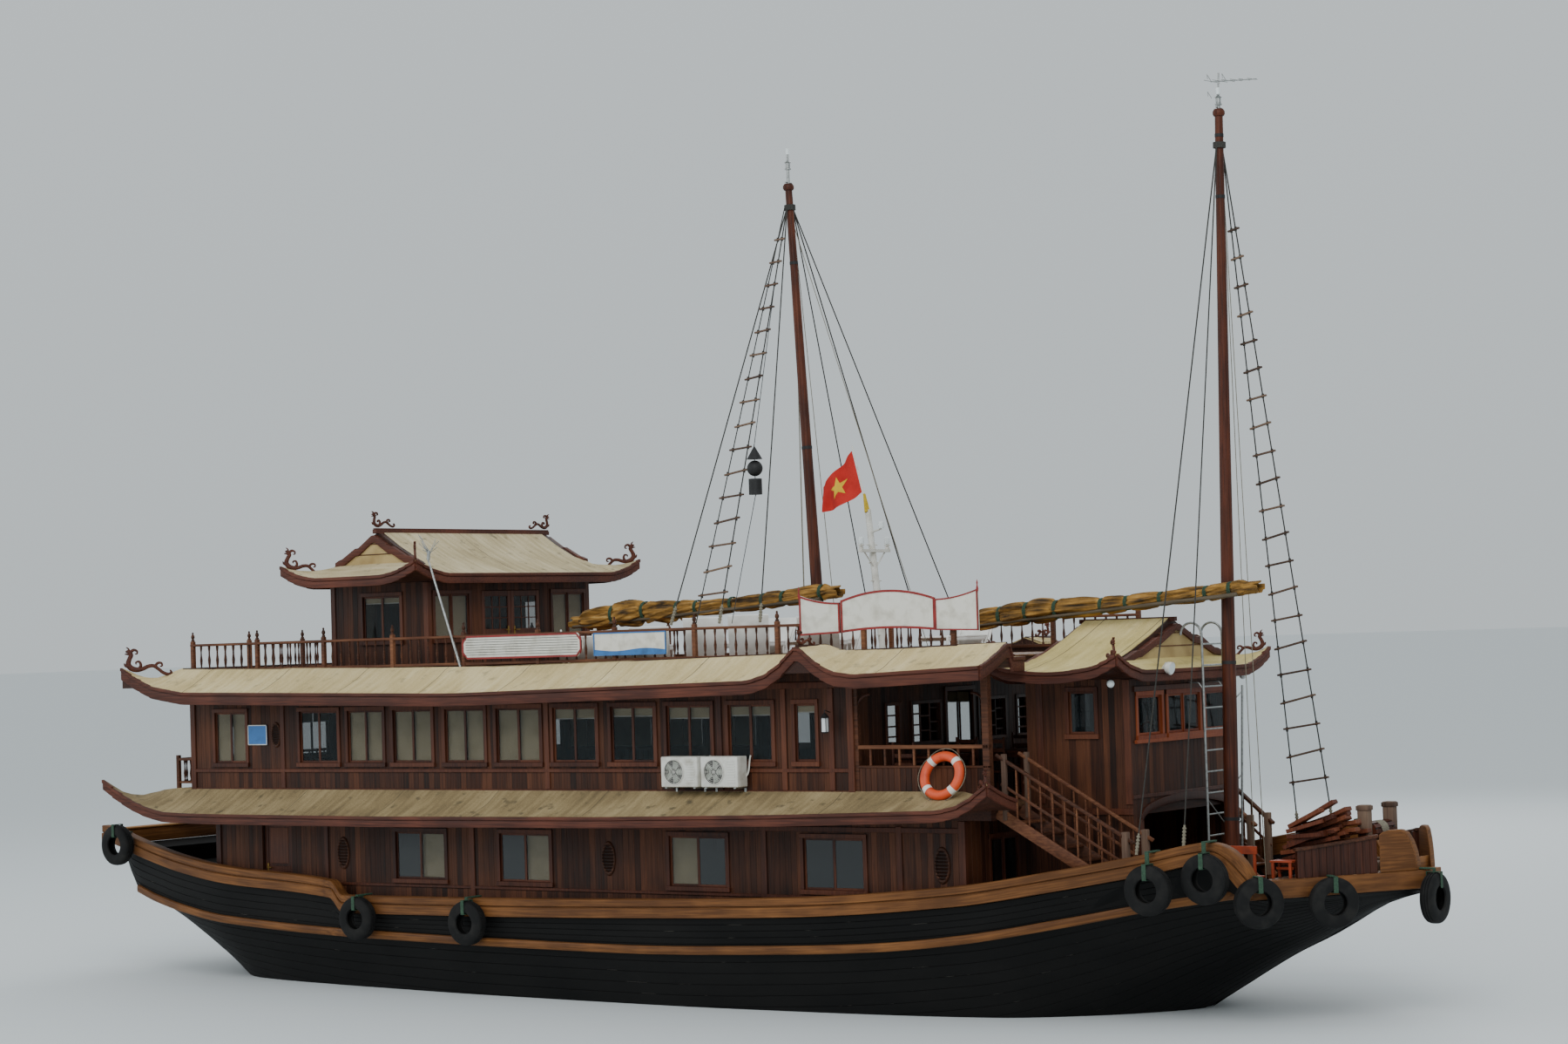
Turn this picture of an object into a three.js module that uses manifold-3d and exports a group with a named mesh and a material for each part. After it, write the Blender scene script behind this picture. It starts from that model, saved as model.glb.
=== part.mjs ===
// A two-masted wooden junk that carries day guests: a dark planked hull with raised ends, two cabin
// decks under tiled eaves, a small pavilion on the sun deck and a wheelhouse over the foredeck.
// Millimetres. +X is the bow, +Y is port, +Z is up. The origin is amidships on the waterline.
import * as THREE from 'three';
import { mergeVertices } from 'three/addons/utils/BufferGeometryUtils.js';
import Module from 'manifold-3d';

const wasm = await Module();
wasm.setup();

// Fits and timber sizes
const GAP = 0.3; // left between pieces that touch
const PIN_GAP = 0.4; // around a shaft that turns
const WALL = 60; // thickness of a cabin wall
const POST = 90; // side of a rail post
const RAIL = 60; // height of a hand rail

// Heights of the decks and roofs
const CABIN_FLOOR = 1100;
const FORE_DECK = 1720;
const STERN_DECK = 1620;
const UPPER_DECK = { bottom: 3050, top: 3200 };
const CEILING = 5350; // underside of the sun deck
const SUN_DECK = 5500;

// Lower cabin, upper cabin, pavilion and wheelhouse, as outer faces of their walls
const LOWER = { aft: -9700, fore: 6500, half: 3000 };
const UPPER = { aft: -10250, fore: 4530, half: 3050 };
const BALCONY_FORE = 7020;
const PAVILION = { aft: -7460, fore: -5100, half: 2200, ceiling: 7090 };
const WHEELHOUSE = { aft: 6830, fore: 8680, half: 1650, ceiling: 5120 };

// Hull sections from stern to bow. Each row gives the height of the keel line, the half width and
// height of the bilge, the half width and height at the rubbing strake, and those of the top edge.
const HULL_COLUMNS = ['x', 'keelZ', 'bilgeY', 'bilgeZ', 'strakeY', 'strakeZ', 'topY', 'topZ'];
const HULL = [
  [-12750, 2180, 1500, 2240, 2500, 2320, 2620, 2400],
  [-12200, 1250, 1450, 1340, 2650, 1580, 2800, 2280],
  [-11400, 450, 1450, 620, 2850, 1420, 2950, 2110],
  [-10600, -150, 1650, 160, 3000, 1270, 3070, 1960],
  [-9300, -750, 2100, -330, 3140, 1130, 3210, 1790],
  [-6540, -1180, 2350, -720, 3190, 1000, 3300, 1600],
  [-6230, -1200, 2380, -740, 3200, 990, 3310, 1350],
  [-3000, -1350, 2600, -880, 3300, 950, 3390, 1380],
  [500, -1400, 2650, -900, 3330, 935, 3420, 1450],
  [3500, -1350, 2480, -800, 3260, 1020, 3370, 1540],
  [6500, -1050, 2050, -480, 3120, 1260, 3260, 1770],
  [8200, -400, 1350, 60, 2720, 1550, 2960, 2030],
  [9400, 280, 900, 640, 2280, 1780, 2660, 2240],
  [10400, 860, 700, 1080, 1900, 1900, 2380, 2420],
  [11000, 1150, 700, 1300, 1700, 1800, 2190, 1880],
  [12000, 1690, 400, 1740, 820, 1850, 1040, 1908],
  [12650, 1880, 160, 1892, 235, 1908, 290, 1926],
].map((row) => Object.fromEntries(row.map((value, i) => [HULL_COLUMNS[i], value])));
const KEEL = { aft: -9600, fore: 6400, half: 125, bottom: -1750, top: -900 };
const SHOE = { aft: -11350, top: -1680, half: 90 };
const GUNWALE = { aft: -13150, scarf: -6540, height: 310, out: 90, inside: 140 };
const STRAKE = { height: 140, out: 90 };
// Height of the strake's middle along the side
const STRAKE_LINE = [
  { x: -12150, z: 1590 }, { x: -11400, z: 1420 }, { x: -9300, z: 1130 }, { x: -5930, z: 985 },
  { x: -40, z: 930 }, { x: 3500, z: 1020 }, { x: 5120, z: 1110 }, { x: 6500, z: 1260 },
  { x: 8130, z: 1530 }, { x: 9400, z: 1770 }, { x: 10650, z: 1950 },
];

// Tyres that hang as fenders, by the place of their middle. The first hangs to starboard only.
const TYRE = { radius: 375, tube: 105 };
const TYRES_STARBOARD = [
  { x: -12350, z: 2420 }, { x: -5730, z: 1280 }, { x: -3140, z: 1280 },
  { x: 9590, z: 2050 }, { x: 10410, z: 2210 },
];
// on the bow platform's starboard side, and ahead of its nose
const TYRES_BOW = [{ x: 11000, z: 1850 }, { x: 11760, z: 1800 }];
const TYRE_NOSE = { y: -220, z: 1790 };

// Windows, as spans along the wall, with the heights of sill and head
const LOWER_WINDOWS = {
  sill: 1920,
  head: 2770,
  spans: [[-5300, -4110], [-2900, -1750], [760, 1960], [3450, 4650]],
};
// Windows in the end walls of the lower cabin and the stern wall of the upper one, as spans across
const LOWER_END_WINDOWS = [[-2300, -1500, 2000, 2750], [1500, 2300, 2000, 2750]];
const STERN_WINDOWS = [[-2400, -1500], [-450, 450], [1500, 2400]];
const UPPER_WINDOWS = {
  sill: 3930,
  head: 4880,
  spans: [
    [-9660, -8830], [-7510, -6540], [-6330, -5450], [-5240, -4300], [-4030, -3090], [-2860, -1850],
    [-1600, -630], [-350, 600], [820, 1770], [2080, 2990], [3400, 3840],
  ],
};
const SIDE_DOOR = { aft: -8560, fore: -7820, sill: 1300, top: 2950 };
const SILL = 100; // a doorway starts this far above the foot of its wall
const FORE_DOOR = { half: 420, top: 2900 };
const PAVILION_SIDE_WINDOW = { sill: 6050, head: 6880, spans: [[-6700, -5750]] };
const WHEELHOUSE_SIDE_WINDOW = { sill: 4270, head: 4960, spans: [[7580, 8080]] };
const WHEELHOUSE_FRONT = { sill: 4230, head: 4870, spans: [[-1450, -680], [-520, 520], [680, 1450]] };
const ARCH = { half: 1450, spring: 2950, rise: 270 }; // way under the wheelhouse to the foredeck
const PARTITION = { sill: 4150, head: 4800, doorHalf: 380, doorTop: 4950 };
const PAVILION_DOORWAY = { half: 800, sill: 5560, top: 6920 };
const WHEELHOUSE_DOOR = { half: 350, sill: 3260, top: 4950 };
const PARTITION_SPANS = [[-2130, -1750], [-1400, -570], [570, 1400], [1750, 2130]];
const DOOR_GAP = 8;
const LEAF = 40; // thickness of a door

// Masts, booms and standing rigging
const SUNK = 10; // a leaning mast starts this far below its deck, and is squared off above it
const FORE_MAST = { foot: [9430, 0, FORE_DECK - SUNK], head: [9680, 0, 13800], rFoot: 125, rHead: 62 };
const MAIN_MAST = { foot: [1800, 0, SUN_DECK - SUNK], head: [1420, 0, 13550], rFoot: 105, rHead: 60 };
const FORE_BOOM = { heel: [10070, 0, 6440], tip: [5120, 0, 6060], r: 150 };
const MAIN_BOOM = { heel: [2260, 0, 6630], tip: [-3150, 0, 6290], r: 170 };
const BOOM_OFFSET = -330; // the furled sails lie on the starboard side of their masts
const STAY_RADIUS = 14;
const SUN_RAIL = { aft: -10450, fore: 6350, half: 2830, height: 620, posts: 10 };

const COLORS = {
  hull: [0x1d1a18, 0.75, 0], timber: [0x9a5e30, 0.55, 0], wall: [0x4d2218, 0.6, 0],
  frame: [0x6b2f1f, 0.5, 0], roof: [0xb9a98a, 0.9, 0], deck: [0x7a5236, 0.8, 0],
  mast: [0x5a3220, 0.6, 0], sail: [0xb3813f, 0.9, 0], rope: [0x8d8a80, 0.9, 0],
  steel: [0xa7a9a8, 0.45, 0.8], bronze: [0x9a7340, 0.4, 0.9], white: [0xe3e3de, 0.5, 0],
  red: [0xb81f1a, 0.9, 0], orange: [0xe2572b, 0.5, 0],
};

const group = new THREE.Group();

// Solids
function toSolid(geometry) {
  const bare = geometry.clone();
  bare.deleteAttribute('normal');
  bare.deleteAttribute('uv');
  const merged = mergeVertices(bare, 1e-3);
  return new wasm.Manifold(new wasm.Mesh({
    numProp: 3,
    vertProperties: new Float32Array(merged.attributes.position.array),
    triVerts: new Uint32Array(merged.index.array),
  }));
}

function toGeometry(solid) {
  const mesh = solid.getMesh();
  const geometry = new THREE.BufferGeometry();
  geometry.setAttribute('position', new THREE.BufferAttribute(mesh.vertProperties, mesh.numProp));
  geometry.setIndex(new THREE.BufferAttribute(mesh.triVerts, 1));
  return geometry;
}

function joined(solids) {
  return solids.reduce((whole, solid) => whole.add(solid));
}

function cutBy(solid, cutters) {
  return cutters.reduce((rest, cutter) => rest.subtract(cutter), solid);
}

function box([x0, y0, z0], [x1, y1, z1]) {
  const geometry = new THREE.BoxGeometry(x1 - x0, y1 - y0, z1 - z0);
  geometry.translate((x0 + x1) / 2, (y0 + y1) / 2, (z0 + z1) / 2);
  return toSolid(geometry);
}

// A round bar between two points, tapering from one radius to the other
function bar(from, to, r0, r1 = r0, sides = 8) {
  const a = new THREE.Vector3(...from);
  const b = new THREE.Vector3(...to);
  const along = new THREE.Vector3().subVectors(b, a);
  const geometry = new THREE.CylinderGeometry(r1, r0, along.length(), sides);
  geometry.applyQuaternion(
    new THREE.Quaternion().setFromUnitVectors(new THREE.Vector3(0, 1, 0), along.clone().normalize()),
  );
  geometry.translate((a.x + b.x) / 2, (a.y + b.y) / 2, (a.z + b.z) / 2);
  return toSolid(geometry);
}

// The hole that a round shaft turns in, with running clearance all round
function bearing(from, to, r0, r1 = r0) {
  const sides = 36;
  const fit = (r) => (r + PIN_GAP) / Math.cos(Math.PI / sides);
  return bar(from, to, fit(r0), fit(r1), sides);
}

// What is left of a solid above a level
function above(solid, z) {
  const reach = 20000;
  return solid.subtract(box([-reach, -reach, z - reach], [reach, reach, z]));
}

// A squared beam between two points, its depth measured upright
function beam(from, to, width, depth) {
  const [[x0, y0, z0], [x1, y1, z1]] = [from, to];
  const length = Math.hypot(x1 - x0, y1 - y0) || 1;
  const side = [(-(y1 - y0) / length) * (width / 2), ((x1 - x0) / length) * (width / 2)];
  const ring = (x, y, z) => [
    [x - side[0], y - side[1], z - depth / 2], [x + side[0], y + side[1], z - depth / 2],
    [x + side[0], y + side[1], z + depth / 2], [x - side[0], y - side[1], z + depth / 2],
  ];
  return loft([ring(x0, y0, z0), ring(x1, y1, z1)]);
}

// A closed body through rings of points that have the same count
function loft(rings) {
  const count = rings[0].length;
  const points = rings.flat();
  const faces = [];
  for (let r = 0; r + 1 < rings.length; r += 1) {
    for (let i = 0; i < count; i += 1) {
      const [a, b] = [r * count + i, r * count + ((i + 1) % count)];
      // the second half of a ring takes the other diagonal, so that a symmetric body stays symmetric
      if (i < count / 2) faces.push([a, b, b + count], [a, b + count, a + count]);
      else faces.push([a, b, a + count], [b, b + count, a + count]);
    }
  }
  const last = (rings.length - 1) * count;
  capFaces(rings[0]).forEach(([a, b, c]) => faces.push([a, c, b]));
  capFaces(rings[rings.length - 1]).forEach(([a, b, c]) => faces.push([last + a, last + b, last + c]));
  return facing(points, faces);
}

// Triangles of a flat ring, drawn on the plane that it faces most
function capFaces(ring) {
  const spread = [0, 1, 2].map((k) => Math.max(...ring.map((p) => p[k])) - Math.min(...ring.map((p) => p[k])));
  const drop = spread.indexOf(Math.min(...spread));
  const [u, v] = [0, 1, 2].filter((k) => k !== drop);
  const flat = ring.map((p) => new THREE.Vector2(p[u], p[v]));
  const turned = THREE.ShapeUtils.isClockWise(flat);
  const faces = THREE.ShapeUtils.triangulateShape(turned ? flat.slice().reverse() : flat, []);
  const index = (i) => (turned ? ring.length - 1 - i : i);
  return faces.map(([a, b, c]) => (turned ? [index(c), index(b), index(a)] : [a, b, c]));
}

// Turns a closed body the right way out
function facing(points, faces) {
  const volume = faces.reduce((sum, [a, b, c]) => {
    const [p, q, r] = [points[a], points[b], points[c]];
    return sum + p[0] * (q[1] * r[2] - q[2] * r[1]) + p[1] * (q[2] * r[0] - q[0] * r[2])
      + p[2] * (q[0] * r[1] - q[1] * r[0]);
  }, 0);
  const ordered = volume > 0 ? faces : faces.map(([a, b, c]) => [a, c, b]);
  return new wasm.Manifold(new wasm.Mesh({
    numProp: 3,
    vertProperties: new Float32Array(points.flat()),
    triVerts: new Uint32Array(ordered.flat()),
  }));
}

// A plate over a grid, between an upper and a lower height
function plate(xs, ys, top, bottom) {
  const grid = (height) => xs.flatMap((x) => ys.map((y) => [x, y, height(x, y)]));
  const points = [...grid(top), ...grid(bottom)];
  const under = xs.length * ys.length;
  const at = (i, j) => i * ys.length + j;
  const faces = [];
  for (let i = 0; i + 1 < xs.length; i += 1) {
    for (let j = 0; j + 1 < ys.length; j += 1) {
      const [a, b, c, d] = [at(i, j), at(i + 1, j), at(i + 1, j + 1), at(i, j + 1)];
      faces.push([a, b, c], [a, c, d]);
      faces.push([under + a, under + c, under + b], [under + a, under + d, under + c]);
    }
  }
  const edge = [];
  for (let i = 0; i + 1 < xs.length; i += 1) edge.push([at(i, 0), at(i + 1, 0)]);
  for (let j = 0; j + 1 < ys.length; j += 1) edge.push([at(xs.length - 1, j), at(xs.length - 1, j + 1)]);
  for (let i = xs.length - 1; i > 0; i -= 1) edge.push([at(i, ys.length - 1), at(i - 1, ys.length - 1)]);
  for (let j = ys.length - 1; j > 0; j -= 1) edge.push([at(0, j), at(0, j - 1)]);
  edge.forEach(([a, b]) => faces.push([a, under + a, under + b], [a, under + b, b]));
  return facing(points, faces);
}

// An outline in a plane, drawn out along the third axis
function prism(outline, from, to, place) {
  return loft([outline.map((p) => place(p, from)), outline.map((p) => place(p, to))]);
}
const alongY = ([x, z], y) => [x, y, z];
const alongX = ([y, z], x) => [x, y, z];

function add(name, solid, finish) {
  const [color, roughness, metalness] = COLORS[finish];
  const mesh = new THREE.Mesh(
    toGeometry(solid),
    new THREE.MeshStandardMaterial({ color, roughness, metalness }),
  );
  mesh.name = name;
  group.add(mesh);
}

// Shape of the hull
function between(table, x, key) {
  const last = table.length - 1;
  const i = Math.min(Math.max(table.findIndex((row) => row.x >= x), 1), last);
  const [a, b] = [table[i], table[x > table[last].x ? last : i - 1]];
  if (a === b) return a[key];
  const t = THREE.MathUtils.clamp((x - b.x) / (a.x - b.x), 0, 1);
  return b[key] + (a[key] - b[key]) * t;
}

// Half width of the hull's side at a place and height
function side(x, z) {
  const at = (key) => between(HULL, x, key);
  const line = [[at('bilgeY'), at('bilgeZ')], [at('strakeY'), at('strakeZ')], [at('topY'), at('topZ')]];
  if (z >= line[2][1]) return line[2][0];
  const [low, high] = z > line[1][1] ? [line[1], line[2]] : [line[0], line[1]];
  return low[0] + ((high[0] - low[0]) * (z - low[1])) / (high[1] - low[1]);
}

function hullRing(row, grow = 0) {
  const half = [
    [130, row.keelZ], [row.bilgeY, row.bilgeZ], [row.strakeY, row.strakeZ], [row.topY, row.topZ],
  ].map(([y, z]) => [y + grow, z]);
  return [
    ...half.map(([y, z]) => [row.x, y, z]),
    ...half.slice().reverse().map(([y, z]) => [row.x, -y, z]),
  ];
}

// The space above a deck, between the hull's sides
function well(stations, shell) {
  return loft(stations.map(({ x, floor }) => {
    const high = between(HULL, x, 'topZ') + 600;
    const [low, top] = [side(x, floor) - shell, between(HULL, x, 'topY') - shell];
    return [[x, low, floor], [x, top, high], [x, -top, high], [x, -low, floor]];
  }));
}

const RUDDER = { stockX: -10550, stockR: 75, tubeR: 92, top: 1900 };

// The decks step along the hull, which fills what is below them. The topsides stand on it along the
// sides, between the solid ends of the ship.
const ENDS = { aft: -12300, aftDeck: 2000, fore: 10750 };

// The space over the decks, right across the ship, drawn in from its borders by an inset
function overDecks(inset) {
  const [aft, fore] = [LOWER.aft - GAP + inset, LOWER.fore + GAP - inset];
  const [start, end] = [ENDS.aft + inset, ENDS.fore - inset];
  const high = 6000;
  const decks = [
    [start, ENDS.aftDeck], [-11500, STERN_DECK], [aft, STERN_DECK], [aft, CABIN_FLOOR],
    [fore, CABIN_FLOOR], [fore, FORE_DECK], [end, FORE_DECK],
  ].map(([x, z]) => [x, z + inset]);
  return prism([...decks, [end, high], [start, high]], -high, high, alongY);
}

function hullSolid() {
  const companion = box([LOWER.fore, -1100, CABIN_FLOOR], [8500, 1100, 4000]);
  const tube = bar([RUDDER.stockX, 0, -900], [RUDDER.stockX, 0, 3000], RUDDER.tubeR, RUDDER.tubeR, 16);
  return cutBy(loft(HULL.map((row) => hullRing(row))), [overDecks(0), companion, tube]);
}

// Keel, skeg ahead of the propeller and the shoe that carries the foot of the rudder
function keelSolid() {
  const keel = box([KEEL.aft, -KEEL.half, KEEL.bottom], [KEEL.fore, KEEL.half, KEEL.top]);
  const skeg = box([KEEL.aft, -KEEL.half, KEEL.top - 1], [KEEL.aft + 1400, KEEL.half, -500]);
  const shoe = box([SHOE.aft, -SHOE.half, KEEL.bottom], [KEEL.aft + 100, SHOE.half, SHOE.top]);
  const lowered = HULL.map((row) => ({ ...row, keelZ: row.keelZ - GAP, bilgeZ: row.bilgeZ - GAP }));
  return joined([keel, skeg, shoe]).subtract(loft(lowered.map((row) => hullRing(row, GAP))));
}

function topside(sign) {
  const shell = 110;
  const cabin = box(
    [LOWER.aft - GAP, -LOWER.half - GAP, CABIN_FLOOR],
    [LOWER.fore + GAP, LOWER.half + GAP, 4000],
  );
  const fore = well([LOWER.fore, 8200, 9400, 10400, ENDS.fore].map((x) => ({ x, floor: FORE_DECK })), shell);
  const stern = well([
    { x: ENDS.aft, floor: ENDS.aftDeck }, { x: -11500, floor: STERN_DECK }, { x: -10600, floor: STERN_DECK },
    { x: LOWER.aft, floor: STERN_DECK },
  ], shell);
  const reach = 20000;
  const other = box([-reach, Math.min(0, -sign * reach), -reach], [reach, Math.max(0, -sign * reach), reach]);
  const sides = loft(HULL.map((row) => hullRing(row))).intersect(overDecks(GAP));
  return cutBy(sides, [cabin, fore, stern, other]);
}

// The hull's timbers are scarfed ahead of the cabin, so it is made in two lengths
function hullLength(from, to) {
  const reach = 20000;
  return hullSolid().intersect(box([from, -reach, -reach], [to, reach, reach]));
}

function buildHull() {
  add('hull', hullLength(-20000, LOWER.fore), 'hull');
  add('hull_fore', hullLength(LOWER.fore + GAP, 20000), 'hull');
  add('keel', keelSolid(), 'hull');
  add('topside_starboard', topside(-1), 'hull');
  add('topside_port', topside(1), 'hull');
  const x = RUDDER.stockX;
  const blade = prism(
    [[x - 950, -1560], [x - 850, -330], [x + 90, -330], [x + 90, -1640], [x - 700, -1640]],
    -35, 35, alongY,
  );
  const stock = bar([x, 0, -1600], [x, 0, RUDDER.top], RUDDER.stockR, RUDDER.stockR, 12);
  const heel = bar([x, 0, SHOE.top + GAP], [x, 0, -1600], 40);
  const head = box([x - 130, -130, RUDDER.top - 120], [x + 130, 130, RUDDER.top]);
  add('rudder', joined([blade, stock, heel, head]), 'mast');
  buildPropeller();
}

const PROPELLER = { x: -9900, z: -1170, radius: 390, hub: 85, shaft: 40, blades: 4 };

function buildPropeller() {
  const { x, z, radius, hub, shaft, blades } = PROPELLER;
  const pieces = [
    bar([x - 130, 0, z], [x + 110, 0, z], hub * 0.7, hub, 16),
    bar([x, 0, z], [KEEL.aft - GAP, 0, z], shaft, shaft, 12),
  ];
  for (let i = 0; i < blades; i += 1) {
    const blade = new THREE.CylinderGeometry(1, 1, 16, 10);
    blade.scale(130, 1, radius / 2);
    blade.rotateX(Math.PI / 2);
    blade.rotateY(Math.PI / 2);
    blade.translate(0, 0, radius / 2);
    blade.rotateZ(0.6);
    blade.rotateX((i * 2 * Math.PI) / blades);
    blade.translate(x, 0, z);
    pieces.push(toSolid(blade));
  }
  add('propeller', joined(pieces), 'bronze');
}

function gunwaleRing(x, sign) {
  const outer = between(HULL, x, 'topY') + GUNWALE.out;
  const inner = between(HULL, x, 'topY') - GUNWALE.inside;
  const low = between(HULL, x, 'topZ') + GAP;
  const high = low + GUNWALE.height;
  const section = [
    [inner, low], [outer, low], [outer, high - 40], [outer - 50, high], [inner + 30, high], [inner, high - 30],
  ];
  return section.map(([y, z]) => [x, sign * y, z]);
}

// A ring that stands upright along the ship
function torus(radius, tube, sides, around) {
  const profile = [];
  for (let i = 0; i <= sides; i += 1) {
    const turn = ((i % sides) * 2 * Math.PI) / sides;
    profile.push(new THREE.Vector2(radius + Math.cos(turn) * tube, Math.sin(turn) * tube));
  }
  return new THREE.LatheGeometry(profile, around);
}

// A tyre on its strap, whose hook reaches in over a top edge. The turn lays it along a slanting side.
function hungTyre(x, y, z, sign, top, turn = 0) {
  const ring = torus(TYRE.radius - TYRE.tube, TYRE.tube, 6, 14);
  ring.rotateZ(turn);
  ring.translate(x, y, z);
  const strap = box([x - 30, y - 12, z + TYRE.radius - 60], [x + 30, y + 12, top + 30]);
  const [y0, y1] = [y, y - sign * 300].sort((a, b) => a - b);
  const hook = box([x - 30, y0, top - 30], [x + 30, y1, top + 30]);
  return joined([toSolid(ring), strap, hook]);
}

function tyreSolid(x, z, sign) {
  const reach = Math.max(side(x - 300, z + 300), side(x + 300, z + 300), side(x, z + 300)) + GUNWALE.out;
  const y = sign * (reach + TYRE.tube + 6);
  return hungTyre(x, y, z, sign, between(HULL, x, 'topZ') + GUNWALE.height);
}

// One length of the gunwale, with the tyres that hang on it
function gunwale(sign, from, to, tyres) {
  const stations = HULL.map((row) => row.x).filter((x) => x > from && x < to);
  const timber = loft([from, ...stations, to].map((x) => gunwaleRing(x, sign)));
  return joined([timber, ...tyres.map(({ x, z }) => tyreSolid(x, z, sign))]);
}

function strake(sign) {
  const cores = loft(STRAKE_LINE.map(({ x, z }) => {
    const y = side(x, z);
    const [low, high] = [z - STRAKE.height / 2, z + STRAKE.height / 2];
    return [[y - 60, low], [y + STRAKE.out, low + 20], [y + STRAKE.out, high - 20], [y - 60, high]]
      .map(([across, up]) => [x, sign * across, up]);
  }));
  const skin = loft(HULL.map((row) => hullRing(row, GAP)));
  const parts = cores.subtract(skin).decompose();
  return parts.sort((a, b) => b.volume() - a.volume())[0];
}

function buildSides() {
  const [scarf, end] = [GUNWALE.scarf, PLATFORM[0].x - 20];
  const [aft, low] = [-13000, 2400 + GAP];
  const inner = between(HULL, -12750, 'topY') - GUNWALE.inside;
  const beam = box([aft, -inner - 20, low], [-12750, inner - GAP, low + 260]);
  const horn = gunwale(-1, GUNWALE.aft, scarf, TYRES_STARBOARD.slice(0, 1));
  add('gunwale_aft_starboard', joined([horn, beam]), 'timber');
  add('gunwale_aft_port', gunwale(1, GUNWALE.aft, scarf, []), 'timber');
  add('gunwale_starboard', gunwale(-1, scarf + GAP, end, TYRES_STARBOARD.slice(1)), 'timber');
  add('gunwale_port', gunwale(1, scarf + GAP, end, TYRES_STARBOARD.slice(1)), 'timber');
  add('rub_strake_starboard', strake(-1), 'timber');
  add('rub_strake_port', strake(1), 'timber');
}

// Bow platform, which narrows to the stem head, by half width and top at each end
const PLATFORM = [{ x: 11000, half: 2240, top: 2150 }, { x: 12770, half: 200, top: 2200 }];
const PLATFORM_DEPTH = 270;
const PLATFORM_TURN = Math.atan2(PLATFORM[0].half - PLATFORM[1].half, PLATFORM[1].x - PLATFORM[0].x);

function platformAt(x) {
  return { half: between(PLATFORM, x, 'half'), top: between(PLATFORM, x, 'top') };
}

function bowPlatform() {
  const deck = loft(PLATFORM.map(({ x, half, top }) => {
    const low = top - PLATFORM_DEPTH + GAP;
    return [[x, -half, low], [x, half, low], [x, half, top], [x, -half, top]];
  }));
  return joined([deck, ...TYRES_BOW.map(bowTyre), noseTyre()]);
}

// A tyre that hangs from the platform's starboard edge, flat against it
function bowTyre({ x, z }) {
  const { half, top } = platformAt(x);
  const off = TYRE.tube + 8;
  const [ahead, across] = [off * Math.sin(PLATFORM_TURN), off * Math.cos(PLATFORM_TURN)];
  return hungTyre(x + ahead, -half - across, z, -1, top - 60, PLATFORM_TURN);
}

// The tyre that hangs ahead of the nose
function noseTyre() {
  const { x: nose, top } = PLATFORM[PLATFORM.length - 1];
  const { y, z } = TYRE_NOSE;
  const x = nose + TYRE.tube + 6;
  const ring = torus(TYRE.radius - TYRE.tube, TYRE.tube, 6, 14);
  ring.rotateZ(Math.PI / 2);
  ring.translate(x, y, z);
  const strap = box([x - 12, y - 30, z + TYRE.radius - 60], [x + 12, y + 30, top - 30]);
  const hook = box([nose - 100, y - 30, top - 90], [x + 12, y + 30, top - 30]);
  return joined([toSolid(ring), strap, hook]);
}

// Low planked side of the bow platform, with a rounded board at its end
const BULWARK = [
  { x: 11450, height: 430 }, { x: 12270, height: 540 }, { x: 12340, height: 610 }, { x: 12510, height: 600 },
  { x: 12650, height: 200 },
];

function bowBulwarkSide(sign) {
  const ring = (x, height) => {
    const { half, top } = platformAt(x);
    const [outer, inner] = [half - 60, half - 160];
    return [[outer, top - 20], [outer, top + height], [inner, top + height], [inner, top - 20]]
      .map(([y, z]) => [x, sign * y, z]);
  };
  return loft(BULWARK.map(({ x, height }) => ring(x, height)));
}

function buildBow() {
  const sillEnd = 12600;
  const { half, top } = platformAt(sillEnd);
  const sill = box([sillEnd - 60, 110 - half, top - 20], [sillEnd, half - 110, top + 180]);
  add('bow_platform', joined([bowPlatform(), bowBulwarkSide(-1), bowBulwarkSide(1), sill]), 'timber');
  buildWindlass();
}

const WINDLASS = { x: 11900, half: 430, z: 2760, drum: 130, head: 3180, axle: 50 };

function buildWindlass() {
  const { x, half, z, drum, head, axle: axleRadius } = WINDLASS;
  const deck = platformAt(x + 80).top + GAP;
  const cheeks = [-1, 1].map((sign) => box([x - 80, sign * half - 80, deck], [x + 80, sign * half + 80, head]));
  const foot = box([x - 80, -half, deck], [x + 80, half, deck + 120]);
  const hole = bearing([x, -half - 200, z], [x, half + 200, z], axleRadius);
  add('windlass_frame', joined([...cheeks, foot]).subtract(hole), 'mast');
  const barrel = bar([x, -half + 90, z], [x, half - 90, z], drum, drum, 12);
  const axle = bar([x, -half - 120, z], [x, half + 120, z], axleRadius, axleRadius, 12);
  const crank = box([x - 25, half + 100, z - 25], [x + 25, half + 150, z + 330]);
  add('windlass_drum', joined([barrel, axle, crank]), 'mast');
}

// Cabins
function sideWall(cabin, low, high, windows, sign, extra = []) {
  const y = sign * cabin.half;
  const inner = sign * (cabin.half - WALL);
  const [y0, y1] = [Math.min(y, inner), Math.max(y, inner)];
  const wall = box([cabin.aft, y0, low], [cabin.fore, y1, high]);
  const holes = windows.spans.map(([a, b]) => box([a, y0 - 50, windows.sill], [b, y1 + 50, windows.head]));
  return cutBy(wall, [...holes, ...extra]);
}

function crossWall(x, half, low, high, holes) {
  const wall = box([x, -half, low], [x + WALL, half, high]);
  return cutBy(wall, holes.map(([y0, y1, z0, z1]) => box([x - 50, y0, z0], [x + WALL + 50, y1, z1])));
}

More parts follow.
